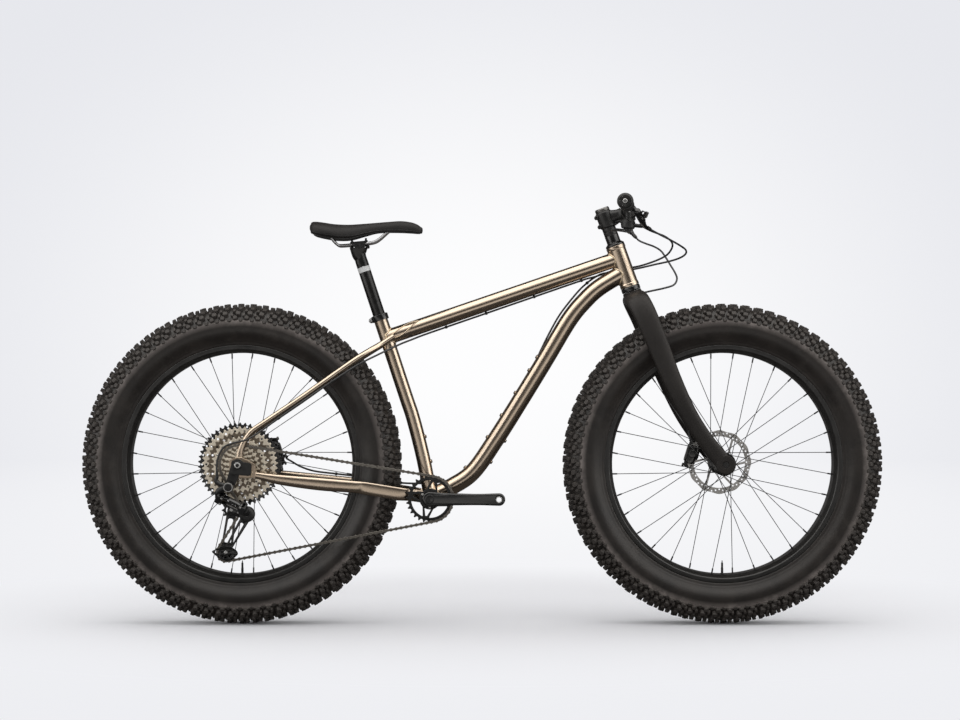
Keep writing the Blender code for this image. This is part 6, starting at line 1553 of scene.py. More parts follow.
def wheels():
    for word, centre, flanges, ends, bore, disc_y in (
        ("front", FRONT_AXLE, ((-1, -0.0520), (1, 0.0400)), (-0.0747, 0.0747), 0.0081, 0.0645),
        ("rear", REAR_AXLE, ((-1, -0.0440), (1, 0.0600)), (-0.0511, 0.0982), 0.0066, 0.0830),
    ):
        wheel_tyre(word, centre)
        wheel_rim(word, centre)
        wheel_hub(word, centre, flanges, ends, bore)
        brake_disc(word, centre, disc_y)
    axle("front_through_axle", FRONT_AXLE, -0.0900, 0.0953, 0.0075, "steering", "front_axle")
    axle("rear_through_axle", REAR_AXLE, DROPOUT_OUTER, -0.1171, 0.0060, "frame", "rear_axle")


# Drive train

PITCH = 0.0127
LINKS = 120
RING_TEETH = 28
COG_TEETH = (10, 12, 14, 16, 18, 21, 24, 28, 33, 39, 45, 50)
COG_IN_USE = 6
COG_SPACING = 0.0036
PULLEY_TEETH = 11
GUIDE_PLACE = at(-0.61788, 0, 0.28688)
TENSION_PLACE = at(-0.63218, 0, 0.18215)
CAGE_PIVOT = at(-0.57836, 0, 0.27760)
CRANK_LENGTH = 0.170
HANGER_BOLT = REAR_AXLE + at(-0.0204, 0, -0.0524)
LINK_PIVOT = at(-0.63656, -0.1190, 0.3175)
LINK_ALONG = at(0.89996, 0, -0.43598)
LINK_TRAVEL = at(-0.34119, 0.62255, -0.70429)
LINK_PIN = at(0.27142, 0.78258, 0.56027)
LINK_LENGTH = 0.050
LINK_HALF_APART = 0.0090
CAGE_OUTER_Y = -CHAIN_LINE - 0.0064
CAGE_INNER_Y = -CHAIN_LINE + 0.0050


def pitch_radius(teeth):
    """The radius at which the chain's pitch, laid round the circle, gives this many teeth."""
    return teeth * PITCH / math.tau


CHAIN_CIRCLES = (
    # middle, pitch radius, sense
    (BRACKET, pitch_radius(RING_TEETH), 1),
    (REAR_AXLE, pitch_radius(COG_TEETH[COG_IN_USE]), 1),
    (GUIDE_PLACE, pitch_radius(PULLEY_TEETH), -1),
    (TENSION_PLACE, pitch_radius(PULLEY_TEETH), 1),
)


def chain_stretches():
    """The chain's line in order: a straight run from each circle to the next and the arc on it, as
    (middle or start, radius, sense, heading, length). A run's heading is that of the line between
    the middles, turned by the arcsine of the difference of the signed radii over their distance."""
    after = CHAIN_CIRCLES[1:] + CHAIN_CIRCLES[:1]
    headings = []
    for (c1, r1, s1), (c2, r2, s2) in zip(CHAIN_CIRCLES, after):
        step = c2 - c1
        turn = math.asin((s1 * r1 - s2 * r2) / np.linalg.norm(step))
        headings.append(math.atan2(step[2], step[0]) + turn)
    found = []
    for k, heading in enumerate(headings):
        (c1, r1, s1), (c2, r2, s2) = CHAIN_CIRCLES[k], after[k]
        right = at(math.sin(heading), 0, -math.cos(heading))
        start, end = c1 + s1 * r1 * right, c2 + s2 * r2 * right
        found.append((start, 0.0, 0, heading, float(np.linalg.norm(end - start))))
        arc = (s2 * (headings[(k + 1) % len(headings)] - heading)) % math.tau
        found.append((c2, r2, s2, heading, r2 * arc))
    return found


STRETCHES = chain_stretches()
CHAIN_LENGTH = sum(stretch[-1] for stretch in STRETCHES)


def on_chain(distance):
    """(place, heading, stretch) at a distance along the chain's line."""
    distance %= CHAIN_LENGTH
    for k, (place, radius, sense, heading, length) in enumerate(STRETCHES):
        if distance <= length:
            break
        distance -= length
    if sense == 0:
        return place + distance * at(math.cos(heading), 0, math.sin(heading)), heading, k
    heading += sense * distance / radius
    return place + sense * radius * at(math.sin(heading), 0, -math.cos(heading)), heading, k


def tooth_phase(stretch):
    """The angle of a roller that lies on the wheel of this stretch."""
    travelled = sum(length for *_, length in STRETCHES[:stretch])
    roller = math.ceil(travelled / PITCH) * PITCH
    place, _, _ = on_chain(roller * CHAIN_LENGTH / (LINKS * PITCH))
    centre = STRETCHES[stretch][0]
    return math.atan2(place[2] - centre[2], place[0] - centre[0])


def toothed(centre, teeth, phase, tip_gain=0.0028):
    """A toothed outline: round gullets a roller wide, straight flanks and narrow flat tips, given
    as (share of a tooth's pitch, share of the tooth's height) and repeated round the circle."""
    radius = pitch_radius(teeth)
    root, tip = radius - 0.0031, radius + tip_gain
    rise = [(0.0, 0.0), (0.13, 0.03), (0.22, 0.22), (0.33, 0.66), (0.43, 0.98)]
    one = np.array(rise + [(0.57, 0.98), (0.67, 0.66), (0.78, 0.22), (0.87, 0.03)])
    angle = phase + (np.arange(teeth)[:, None] + one[None, :, 0]) * math.tau / teeth
    r = root + (tip - root) * np.broadcast_to(one[None, :, 1], angle.shape)
    return np.stack([centre[0] + r * np.cos(angle), centre[2] + r * np.sin(angle)], -1).reshape(-1, 2)


def window(centre, inner, outer, start, end, reach=0.002):
    """A rounded window between two radii and two angles in degrees."""
    start, end = math.radians(start), math.radians(end)
    count = max(3, int((end - start) * outer / 0.004))
    outline = np.concatenate([ring(centre, outer, count, start, end), ring(centre, inner, count, end, start)])
    return eased(outline, reach, 2, closed=True)


def cassette():
    """Twelve toothed plates: drilled round their edge, the large ones open between their arms. The
    largest is black, and the others are pale and darker in turn, the darker a painted shade between cogs."""
    phase = tooth_phase(1)
    first_y = -CHAIN_LINE - COG_IN_USE * COG_SPACING
    cogs, painted_shade_cogs, black = [], [], []
    for k, teeth in enumerate(COG_TEETH):
        radius, y = pitch_radius(teeth), first_y + k * COG_SPACING
        loops = [toothed(REAR_AXLE, teeth, phase), ring(REAR_AXLE, 0.0135 if k < 5 else 0.0170, 40)]
        if k >= 4:
            inside = pitch_radius(COG_TEETH[k - 1]) + 0.0002
            size = min(0.0028, 0.42 * (radius - 0.0040 - inside))
            holes = turns(teeth // 2) + (k % 2) * math.pi / (teeth // 2)
            if size > 0.0006:
                middle = 0.5 * (radius - 0.0044 + inside)
                loops += [ring(polar(REAR_AXLE, angle, middle, 0), size, 10) for angle in holes]
            if inside > 0.035:
                arms = 7 if k < 9 else 9
                for j in range(arms):
                    start = 360 * j / arms + 6 * k
                    loops.append(window(REAR_AXLE, 0.0215, inside - 0.0030, start, start + 360 / arms - 11))
        # every other cog takes the darker finish, a painted shade between the cogs
        chosen = black if k == len(COG_TEETH) - 1 else painted_shade_cogs if k % 2 else cogs
        chosen.append(plate(loops, y - 0.0008, y + 0.0008, 0.0002))
    piece("toothed_cogs", cogs, "cog_steel", "cogs", ["cassette"])
    piece("toothed_painted_shade_cogs", painted_shade_cogs, "cog_painted_shade", "cogs")
    piece("largest_cog", black, "gloss_black", "cogs")
    last_y = first_y + 11 * COG_SPACING
    body = [
        (first_y - 0.0012, 0.0068), (first_y - 0.0012, 0.0118), (first_y + 0.001, 0.0137),
        (last_y - 0.030, 0.0140),
    ]
    body += [(last_y - 0.024, 0.0174), (last_y + 0.0040, 0.0180), (last_y + 0.0040, 0.0068)]
    carrier = turned_ring(body, 0.0006, REAR_AXLE, ACROSS, 64)
    lock = polar(REAR_AXLE, turns(12), 0.0112, first_y - 0.0016)
    piece("cassette_carrier", [carrier, rods(lock, lock + 0.0020 * ACROSS, 0.0010, 8)], "anodised", "cogs")


def chainring():
    """The narrow wide ring: a toothed band, slim curved arms and a splined middle."""
    y, radius = -CHAIN_LINE, pitch_radius(RING_TEETH)
    inner, outer = 0.0262, radius - 0.0102
    loops = [toothed(BRACKET, RING_TEETH, tooth_phase(7), 0.0032), ring(BRACKET, 0.0165, 48)]
    for middle in (-103, -13, 77, 167):
        wide = arc(BRACKET, outer, 14, middle + 10, middle + 80)
        tight = arc(BRACKET, inner, 6, middle + 58, middle + 32)
        loops.append(eased(np.concatenate([wide, tight]), 0.0026, 3, closed=True))
        wide = arc(BRACKET, inner, 6, middle + 18, middle - 18)
        tight = arc(BRACKET, outer - 0.0035, 3, middle - 2.5, middle + 2.5)
        loops.append(eased(np.concatenate([wide, tight]), 0.0016, 3, closed=True))
    band = plate(loops, y - 0.0009, y + 0.0009, 0.0003)
    thick = plate(
        [ring(BRACKET, radius - 0.0058, 96), ring(BRACKET, radius - 0.0096, 96)], y - 0.0021, y + 0.0014,
        0.0005, 2,
    )
    middle = plate([ring(BRACKET, 0.0258, 64), ring(BRACKET, 0.0165, 48)], y - 0.0030, y + 0.0022, 0.0006, 2)
    piece("toothed_chainring", [band, thick, middle], "anodised", "crankset", ["chainring"])
    places = polar(BRACKET, turns(3) + 0.08 * math.tau, 0.0212, y - 0.0030)
    piece("chainring_screws", [bolt(place, -ACROSS, 0.0028, 0.0014) for place in places], "steel", "crankset")


def crank_arm(reach, inner, outer, shift):
    """A crank: its outline tapers from the bracket's round to the pedal's round. The plate between
    its faces has well rounded edges and bends outwards by a smooth step of the way along."""
    tip = BRACKET + at(reach, 0, 0)
    sense = math.copysign(1, reach)
    heading = 0 if reach > 0 else 180
    big = arc(BRACKET, 0.0185, 26, heading + 92, heading + 268)
    end = arc(tip, 0.0155, 22, heading - 84, heading + 84)
    low = BRACKET[[0, 2]] + sense * np.array([(0.040, -0.0152), (0.120, -0.0136)])
    high = BRACKET[[0, 2]] + sense * np.array([(0.120, 0.0136), (0.040, 0.0152)])
    outline = even_loop(eased(np.concatenate([big, low, end, high]), 0.02, 6, closed=True), 0.0035)
    low_y, high_y = sorted((inner, outer))
    form = plate([outline, ring(tip, 0.0071, 40)], low_y, high_y, 0.0038, 5)
    share = np.clip((np.abs(form.points[:, 0] - BRACKET[0]) - 0.030) / 0.100, 0, 1)
    form.points[:, 1] += shift * share**2 * (3 - 2 * share)
    return form


def cranks():
    """Both arms with their turned middles, pedal threads and end caps, and the spindle."""
    face = SHELL_HALF_WIDTH + 0.0118
    inner, outer, shift = 0.0790, 0.0920, 0.0110
    neck = [(-outer + 0.002, 0.0008), (-outer + 0.002, 0.0160), (-face, 0.0160), (-face, 0.0008)]
    spindle = [(-face - 0.004, 0.0008), (-face - 0.004, 0.0119), (0.0890, 0.0119), (0.0890, 0.0008)]
    forms = [crank_arm(CRANK_LENGTH, -inner, -outer, -shift), turned_cap(neck, 0.0008, BRACKET, ACROSS, 64)]
    piece("forged_drive_crank", forms, "gloss_black", "crankset", ["drive_crank_arm"])
    piece("crank_spindle", turned_cap(spindle, 0.0006, BRACKET, ACROSS, 56), "steel", "crankset")
    neck = [(face, 0.0123), (face, 0.0160), (inner + 0.004, 0.0160), (inner + 0.004, 0.0123)]
    forms = [crank_arm(-CRANK_LENGTH, inner, outer, shift), turned_ring(neck, 0.0006, BRACKET, ACROSS, 64)]
    for level in (-0.0115, 0.0115):
        place = BRACKET + at(-0.0235, 0.0858, level)
        forms.append(lug(place, UP, -0.004, 0.004, 0.0042, 0.0042, ACROSS, 0.9, 0.4, 24))
    piece("forged_left_crank", forms, "gloss_black", "crankset", ["left_crank_arm"])
    cap = eased([(0, 0.0118), (0.0012, 0.0118), (0.0020, 0.0096), (0.0012, 0.0060), (0.0012, 0.0008)], 0.0004)
    sleeve = np.array([(-0.0128, 0.0062), (-0.0128, 0.0080), (0.0003, 0.0080), (0.0003, 0.0062)])
    caps, inserts = [], []
    for side in (-1, 1):
        rows = (np.array([(-0.002, 0.0118), *cap]) + (outer - 0.0002, 0)) * (side, 1)
        caps.append(revolve(rows, BRACKET, ACROSS, 48, UP))
        y = side * (outer + shift)
        tip = BRACKET - at(side * CRANK_LENGTH, 0, 0)
        inserts.append(turned_ring(sleeve * (side, 1) + (y, 0), 0.0004, tip, ACROSS, 40))
        levels = y - side * np.arange(1, 10) * 0.0013
        inserts += screw_thread(levels, 0.0004, 0.0064, 0.0059, tip, ACROSS, 32)
    piece("crank_end_caps", caps, "anodised", "crankset")
    piece("pedal_threads", inserts, "steel", "crankset")


def link_plate(slot, tall, waist):
    """A pair of chain plates: two round ends a pitch apart joined by a waist, one on each side."""
    angle = np.linspace(0.5 * math.pi, 1.5 * math.pi, 8)
    left = np.stack([np.cos(angle), np.sin(angle)], 1) * tall
    below, above = ([(PITCH * share, level) for share in (0.32, 0.68)] for level in (-waist, waist))
    outline = np.concatenate([left, below, -left + (PITCH, 0), above[::-1]])
    return together(*(plate([outline], low, low + 0.00065, 0.00012) for low in (slot, -slot - 0.00065)))


def chain_places(first, last):
    """Roller places from one link's number to another, with the direction of each link."""
    scale = CHAIN_LENGTH / LINKS
    places = np.array([on_chain(k * scale)[0] for k in range(first, last + 1)])
    return places - CHAIN_LINE * ACROSS, unit(places[1:] - places[:-1])


def chain_part(name, first, last, body, blend=None, stands_for=()):
    """Links first to last: narrow and wide plates in turn, a roller at each pitch and its pin."""
    places, lines = chain_places(first, last)
    normals = np.stack([-lines[:, 2], 0 * lines[:, 0], lines[:, 0]], 1)
    axes = np.stack([lines, np.broadcast_to(ACROSS, lines.shape), normals], 1)
    numbers = np.arange(first, last)
    forms = []
    for odd, slot, tall, waist in ((0, 0.00118, 0.0040, 0.0028), (1, 0.00186, 0.0042, 0.0026)):
        chosen = numbers % 2 == odd
        if chosen.any():
            forms.append(copies(link_plate(slot, tall, waist), places[:-1][chosen], axes[chosen]))
    pins = rods(places[:-1] - 0.00275 * ACROSS, places[:-1] + 0.00275 * ACROSS, 0.0014, 10)
    rollers = rods(places[:-1] - 0.00112 * ACROSS, places[:-1] + 0.00112 * ACROSS, 0.0029, 14)
    piece(name + "_plates", [*forms, pins], "chain_steel", body, stands_for, 40, blend)
    piece(name + "_rollers", rollers, "roller_steel", body, (), 40, blend)


def chain():
    """The chain in parts. The turn round the ring, the upper run and the turn round the cog stay with
    the frame, the pulleys' part goes with the cage, and what lies between rides on no body."""
    marks = np.cumsum([0.0] + [length for *_, length in STRETCHES]) / CHAIN_LENGTH * LINKS
    cog_end, guide_start, tension_end, ring_start = (int(round(marks[k])) for k in (2, 3, 6, 7))
    chain_part("fixed_chain", ring_start, cog_end + LINKS, "frame", stands_for=["chain"])
    a = cog_end + (guide_start - cog_end) // 3
    b = cog_end + 2 * (guide_start - cog_end) // 3
    spans = (
        (cog_end, a, "frame", "outer_parallel"), (a, b, "outer_parallel", "lower_knuckle"),
        (b, guide_start, "lower_knuckle", "cage"),
    )
    for k, (first, last, one, other) in enumerate(spans):
        places, _ = chain_places(first, last)
        bend = (one, other, tuple(places[0]), tuple(places[-1]))
        chain_part(f"rear_chain_{k}", first, last, None, bend)
    chain_part("pulley_chain", guide_start, tension_end, "cage")
    places, _ = chain_places(tension_end, ring_start)
    bend = ("lower_knuckle", "cage", tuple(places[-1]), tuple(places[0]))
    chain_part("lower_chain", tension_end, ring_start, None, bend)


def pulley(word, centre, stretch):
    """A jockey wheel: teeth, five windows, and the rings of its bearing."""
    windows = [window(centre, 0.0082, 0.0142, 72 * k + 10, 72 * k + 62, 0.0016) for k in range(5)]
    bore = ring(centre, 0.0034, 28)
    loops = [toothed(centre, PULLEY_TEETH, tooth_phase(stretch)), bore, *windows]
    wheel = plate(loops, -CHAIN_LINE - 0.0009, -CHAIN_LINE + 0.0009, 0.0003, 2)
    hub = plate([ring(centre, 0.0074, 40), bore], -CHAIN_LINE - 0.0032, -CHAIN_LINE + 0.0032, 0.0005, 2)
    piece(f"toothed_{word}_pulley", [wheel, hub], "plastic", word, [f"{word}_pulley"])


def in_link_frame(place, along, pin, travel):
    """A place near the links, given along them, along their pins and along their travel."""
    return place + along * LINK_ALONG + pin * LINK_PIN + travel * LINK_TRAVEL


def swing_link(word, offset):
    """A link: a bowed web with a rounded section between the barrels at its ends."""
    start = LINK_PIVOT + offset * LINK_TRAVEL
    end = start + LINK_LENGTH * LINK_ALONG
    barrel = [(-0.0075, 0.0006), (-0.0075, 0.0042), (0.0075, 0.0042), (0.0075, 0.0006)]
    forms = [turned_cap(barrel, 0.0008, place, LINK_PIN, 36, LINK_ALONG) for place in (start, end)]
    bow = 0.0012 * math.copysign(1, offset) * LINK_TRAVEL
    path = smooth_path(
        [start, start + 0.25 * (end - start) + bow, start + 0.75 * (end - start) + bow, end], 8,
    )
    wide, thick = [0.0070, 0.0066, 0.0064, 0.0070], [0.0016, 0.0022, 0.0022, 0.0016]
    forms.append(sweep(path, wide, thick, 28, LINK_PIN, 0.7))
    piece(f"bowed_{word}_link", forms, "gloss_black", f"{word}_parallel", [f"{word}_link"])


def knuckle_cheeks(base, away):
    """Two rounded cheeks that hold both links' pins and the bridge behind them, with the pins' ends."""
    depth = LINK_HALF_APART + 0.0035
    middle = base + away * 0.0045 * LINK_ALONG
    back = base + away * 0.0105 * LINK_ALONG
    block = dict(hint=LINK_PIN, power=0.6, nose=0.25, sides=32, step=0.0015)
    forms = [lug(back, LINK_TRAVEL, -0.95 * depth, 0.95 * depth, 0.0100, 0.0031, **block)]
    pins = []
    for side in (-1, 1):
        cheek = middle + side * 0.0097 * LINK_PIN
        forms.append(lug(cheek, LINK_TRAVEL, -depth, depth, 0.0017, 0.0087, **block))
        for offset in (-LINK_HALF_APART, LINK_HALF_APART):
            face = base + offset * LINK_TRAVEL + side * 0.0112 * LINK_PIN
            pins.append(bolt(face, side * LINK_PIN, 0.0030, 0.0009, 0.4, 0.5))
    return forms, pins


def upper_knuckle():
    """The hanger plate, the dark block round the axle, and the knuckle on the hanger's bolt."""
    high = -DROPOUT_OUTER - 0.0003
    low = high - 0.0060
    axle_hole = ring(REAR_AXLE, AXLE_HOLE, 40)
    outline = np.concatenate([arc(REAR_AXLE, 0.0155, 24, 10, 170), arc(HANGER_BOLT, 0.0115, 20, 180, 350)])
    hanger = plate([eased(outline, 0.004, 3, closed=True), axle_hole], low, high, 0.0008, 3)
    piece("machined_hanger", hanger, "anodised", "frame", ["derailleur_hanger"])
    corners = [(-0.0165, -0.0225), (0.0330, -0.0262), (0.0350, 0.0050), (-0.0150, 0.0132)]
    corners = eased(np.array(corners) + REAR_AXLE[[0, 2]], 0.0075, 6, closed=True)
    piece(
        "dropout_block", plate([corners, axle_hole], low - 0.0022, low - 0.0003, 0.0007, 3), "anodised",
        "frame",
    )
    face = -DROPOUT_OUTER - 0.0066
    boss = [(face - 0.0262, 0.0006), (face - 0.0262, 0.0104), (face - 0.0240, 0.0124)]
    boss += [(face - 0.0008, 0.0126), (face, 0.0120), (face, 0.0006)]
    base = HANGER_BOLT + at(-0.004, face - 0.014, 0.001)
    shoulder = in_link_frame(LINK_PIVOT, -0.0155, 0.0060, -0.0120)
    bridge = in_link_frame(LINK_PIVOT, -0.0115, 0.0, 0.0020)
    outlet = SHIFT_HOUSING[-1] - 0.0006 * UP
    arm, stop = [0.0085, 0.0070, 0.0062], [0.0068, 0.0056, 0.0044]
    cheeks, pins = knuckle_cheeks(LINK_PIVOT, -1)
    forms = [
        turned_cap(boss, 0.0010, HANGER_BOLT, ACROSS, 56),
        sweep(smooth_path([base, shoulder, bridge], 8), arm, arm, 32, UP, 0.8),
        sweep(smooth_path([base, outlet - at(0.0010, 0, 0.0150), outlet], 8), stop, stop, 32, ACROSS),
        *cheeks,
    ]
    piece("forged_upper_knuckle", forms, "anodised", "frame", ["b_knuckle"])
    washer = [
        (face - 0.0266, 0.0096), (face - 0.0266, 0.0112), (face - 0.0256, 0.0116), (face - 0.0250, 0.0096),
    ]
    washer = turned_ring(washer, 0.0002, HANGER_BOLT, ACROSS, 48)
    piece("upper_knuckle_pins", [washer, *pins], "steel", "frame")
    head = bolt(HANGER_BOLT + (face - 0.0262) * ACROSS, -ACROSS, 0.0088, 0.0020, 0.4, 0.55)
    piece("upper_knuckle_bolt", head, "anodised", "frame")


def lower_knuckle():
    """The drum of the cage's spring with its ribbed cover, its neck and the links' lower cheeks."""
    end = LINK_PIVOT + LINK_LENGTH * LINK_ALONG
    face = CAGE_OUTER_Y - 0.0003
    drum = [
        (face - 0.0242, 0.0006), (face - 0.0242, 0.0116), (face - 0.0212, 0.0180), (face - 0.0170, 0.0193),
    ]
    drum += [(face - 0.0035, 0.0194), (face, 0.0184), (face, 0.0006)]
    neck = np.linspace(end + 0.0110 * LINK_ALONG, CAGE_PIVOT + at(0, face - 0.0130, 0), 8)
    cheeks, pins = knuckle_cheeks(end, 1)
    ribs = [polar(CAGE_PIVOT, turns(24), 0.0192, face - depth) for depth in (0.0160, 0.0040)]
    forms = [
        turned_cap(drum, 0.0018, CAGE_PIVOT, ACROSS, 72, steps=4),
        sweep(neck, 0.0098, 0.0088, 32, UP, 0.8),
        *cheeks,
        rods(*ribs, 0.0007, 8),
    ]
    piece("cast_lower_knuckle", forms, "plastic", "lower_knuckle", ["p_knuckle"])
    pins.append(bolt(CAGE_PIVOT + (face - 0.0240) * ACROSS, -ACROSS, 0.0058, 0.0018, 0.4, 0.5))
    piece("lower_knuckle_pins", pins, "steel", "lower_knuckle")


def cage():
    """The cage: an outer arm with a long slot from the pivot to the lower pulley, whose guard has
    pointed ends, an upper lobe, and a plainer inner plate. Outlines are in metres from a pulley."""

    def along(start, line, rows):
        """(x, z) of places by their way along a line from a start and to its side."""
        aside = at(-line[2], 0, line[0])
        return np.array([start + a * line + b * aside for a, b in rows])[:, [0, 2]]

    def flat_plate(loops, foot):
        return plate(loops, foot, foot + 0.0014, 0.0004, 2)

    low, inner_low = CAGE_OUTER_Y, CAGE_INNER_Y
    tension = TENSION_PLACE[[0, 2]]
    guard = np.array([
        (0.0075, 0.0160), (-0.0060, 0.0130), (-0.0175, 0.0110), (-0.0330, 0.0050), (-0.0345, 0.0015),
        (-0.0240, -0.0080), (-0.0120, -0.0165), (0.0030, -0.0215), (0.0150, -0.0185), (0.0240, -0.0110),
        (0.0310, -0.0040), (0.0290, 0.0030), (0.0215, 0.0100),
    ])
    slit = np.array([(-0.0150, 0.0070), (-0.0270, 0.0040), (-0.0270, 0.0005), (-0.0155, -0.0060)])
    holes = [window(TENSION_PLACE, 0.0100, 0.0155, start, start + 38) for start in (205, 255, 305)]
    holes += [eased(tension + slit, 0.002, 3, closed=True), ring(TENSION_PLACE, 0.0026, 20)]
    lower = flat_plate([eased(tension + guard, 0.006, 4, closed=True), *holes], low)
    down = unit(TENSION_PLACE - CAGE_PIVOT)
    length = np.linalg.norm(TENSION_PLACE - CAGE_PIVOT)
    arm = [(0.004, 0.0130), (0.004, -0.0110), (length - 0.010, -0.0085), (length - 0.010, 0.0085)]
    slot = [(0.026, 0.0042), (0.026, -0.0038), (length - 0.026, -0.0038), (length - 0.026, 0.0042)]
    arm = eased(along(CAGE_PIVOT, down, arm), 0.006, 4, True)
    slot = eased(along(CAGE_PIVOT, down, slot), 0.0035, 4, True)
    upright = flat_plate([arm, slot], low + 0.0001)
    lobe = np.concatenate([arc(CAGE_PIVOT, 0.0168, 16, -90, 100), arc(GUIDE_PLACE, 0.0105, 14, 95, 265)])
    lobe = flat_plate([eased(lobe, 0.004, 3, closed=True)], low + 0.0002)
    line = unit(TENSION_PLACE - GUIDE_PLACE)
    span = np.linalg.norm(TENSION_PLACE - GUIDE_PLACE)
    turn = math.degrees(math.atan2(line[2], line[0]))
    rounds = [
        arc(GUIDE_PLACE, 0.0115, 16, turn + 90, turn + 270),
        arc(TENSION_PLACE, 0.0150, 16, turn - 90, turn + 90),
    ]
    hole = along(
        GUIDE_PLACE, line,
        [(0.022, 0.006), (0.022, -0.006), (span - 0.024, -0.0085), (span - 0.024, 0.0085)],
    )
    inner = flat_plate(
        [eased(np.concatenate(rounds), 0.003, 3, True), eased(hole, 0.004, 4, True)], inner_low,
    )
    places = np.array([GUIDE_PLACE, TENSION_PLACE])
    shafts = rods(places + (low + 0.0004) * ACROSS, places + (inner_low + 0.0010) * ACROSS, 0.0024, 20)
    piece(
        "pressed_pulley_cage", [lower, upright, lobe, inner, shafts], "gloss_black", "cage", ["pulley_cage"],
    )
    screws = [bolt(place + low * ACROSS, -ACROSS, 0.0042, 0.0018, 0.4, 0.5) for place in places]
    piece("pulley_screws", screws, "steel", "cage")


# Brakes


def caliper(word, axle_place, centre, mount, body, fitting, outlet):
    """Two halves either side of the disc, the bridge that joins them over its edge, the arm to the
    frame or fork, and the bolts, pads and hose fitting. Places are taken from the axle, and the
    fitting's from the caliper's middle."""
    centre, mount = axle_place + centre, axle_place + mount
    to_hub = unit((axle_place - centre) * at(1, 0, 1))
    along = cross(to_hub, ACROSS)
    forms, shiny, pads = [], [], []
    piston = [(0, 0.0006), (0, 0.0098), (0.0022, 0.0098), (0.0030, 0.0086), (0.0030, 0.0006)]
    for side in (-1, 1):
        middle = centre + side * 0.0088 * ACROSS
        path = [middle + a * along for a in (-0.0265, -0.018, 0.018, 0.0265)]
        forms.append(bar(path, 0.0068, [0.0098, 0.0148, 0.0148, 0.0098], 36, ACROSS, 0.65, 0.55, step=0.002))
        start = centre + side * 0.0142 * ACROSS + 0.001 * to_hub
        forms.append(turned_cap(piston, 0.0006, start, side * ACROSS, 44))
        edge = centre + side * 0.0031 * ACROSS + 0.0030 * to_hub
        pads.append(lug(edge, along, -0.0130, 0.0130, 0.0013, 0.0105, ACROSS, 0.6, 0.3, 24, 0.002))
    over = centre - 0.0118 * to_hub
    forms.append(lug(over, along, -0.0225, 0.0225, 0.0150, 0.0034, ACROSS, 0.7, 0.5, 32, 0.002))
    arm = smooth_path(
        [centre + 0.0125 * ACROSS - 0.003 * to_hub, 0.5 * (centre + mount) + 0.0095 * ACROSS, mount], 8,
    )
    forms.append(sweep(arm, [0.0050, 0.0046, 0.0056], [0.0100, 0.0080, 0.0088], 28, ACROSS, 0.8))
    corners = [(-0.0100, -0.0350), (0.0030, -0.0385), (0.0150, -0.0280), (0.0210, -0.0060)]
    corners += [(0.0200, 0.0150), (0.0120, 0.0330), (-0.0040, 0.0370), (-0.0120, 0.0300)]
    low_hole = [(0.0030, -0.0290), (0.0120, -0.0230), (0.0160, -0.0050), (0.0040, -0.0080)]
    high_hole = [(0.0050, 0.0040), (0.0155, 0.0020), (0.0110, 0.0230), (0.0040, 0.0270)]
    axes = np.array([to_hub, along])[:, [0, 2]]
    loops = [np.array(loop) @ axes + centre[[0, 2]] for loop in (corners, low_hole, high_hole)]
    flat = [eased(loop, 0.003, 3, closed=True) for loop in loops]
    forms.append(plate(flat, centre[1] + 0.0155, centre[1] + 0.0205, 0.0006, 2))
    for side in (-1, 1):
        spot = centre + 0.0180 * ACROSS + side * 0.0330 * along
        shiny.append(bolt(spot - 0.0090 * to_hub, -to_hub, 0.0044, 0.0050, 0.3, 0.5))
        spot = centre + side * 0.0215 * along
        shiny.append(bolt(spot + 0.0152 * ACROSS, ACROSS, 0.0040, 0.0034))
        shiny.append(bolt(spot - 0.0152 * ACROSS, -ACROSS, 0.0036, 0.0022))
    shiny.append(bolt(mount + 0.0048 * ACROSS, ACROSS, 0.0046, 0.0036))
    nut = [(0, 0.0024), (0, 0.0047), (0.0060, 0.0047), (0.0066, 0.0038), (0.0120, 0.0033), (0.0120, 0.0024)]
    forms.append(turned_ring(nut, 0.0005, centre + fitting, unit(outlet), 36))
    piece(f"{word}_caliper_body", forms, "gloss_black", body, [f"{word}_caliper"])
    piece(f"{word}_caliper_pads", pads, "rim_black", body)
    piece(f"{word}_caliper_bolts", shiny, "cap_grey", body)


def calipers():
    """Both brakes' calipers, and the end of the front hose that leaves the fork."""
    middle, mount = at(0.0780, 0.0830, 0.0240), at(0.0860, 0.0890, -0.0220)
    caliper("rear", REAR_AXLE, middle, mount, "frame", at(0.0180, 0.0005, -0.0070), at(0.83, 0, -0.49))
    middle, mount = at(-0.0700, 0.0645, 0.0215), at(-0.0300, 0.0800, 0.0420)
    caliper("front", FRONT_AXLE, middle, mount, "steering", at(0.0000, 0.0000, 0.0180), at(0.2, 0, 0.98))
    end = sweep(smooth_path(FRONT_HOSE_END, 10), HOSE_RADIUS, HOSE_RADIUS, 20, ACROSS, carried=True)
    piece("front_hose_end", end, "hose", "steering")


# Seat post, clamp and saddle

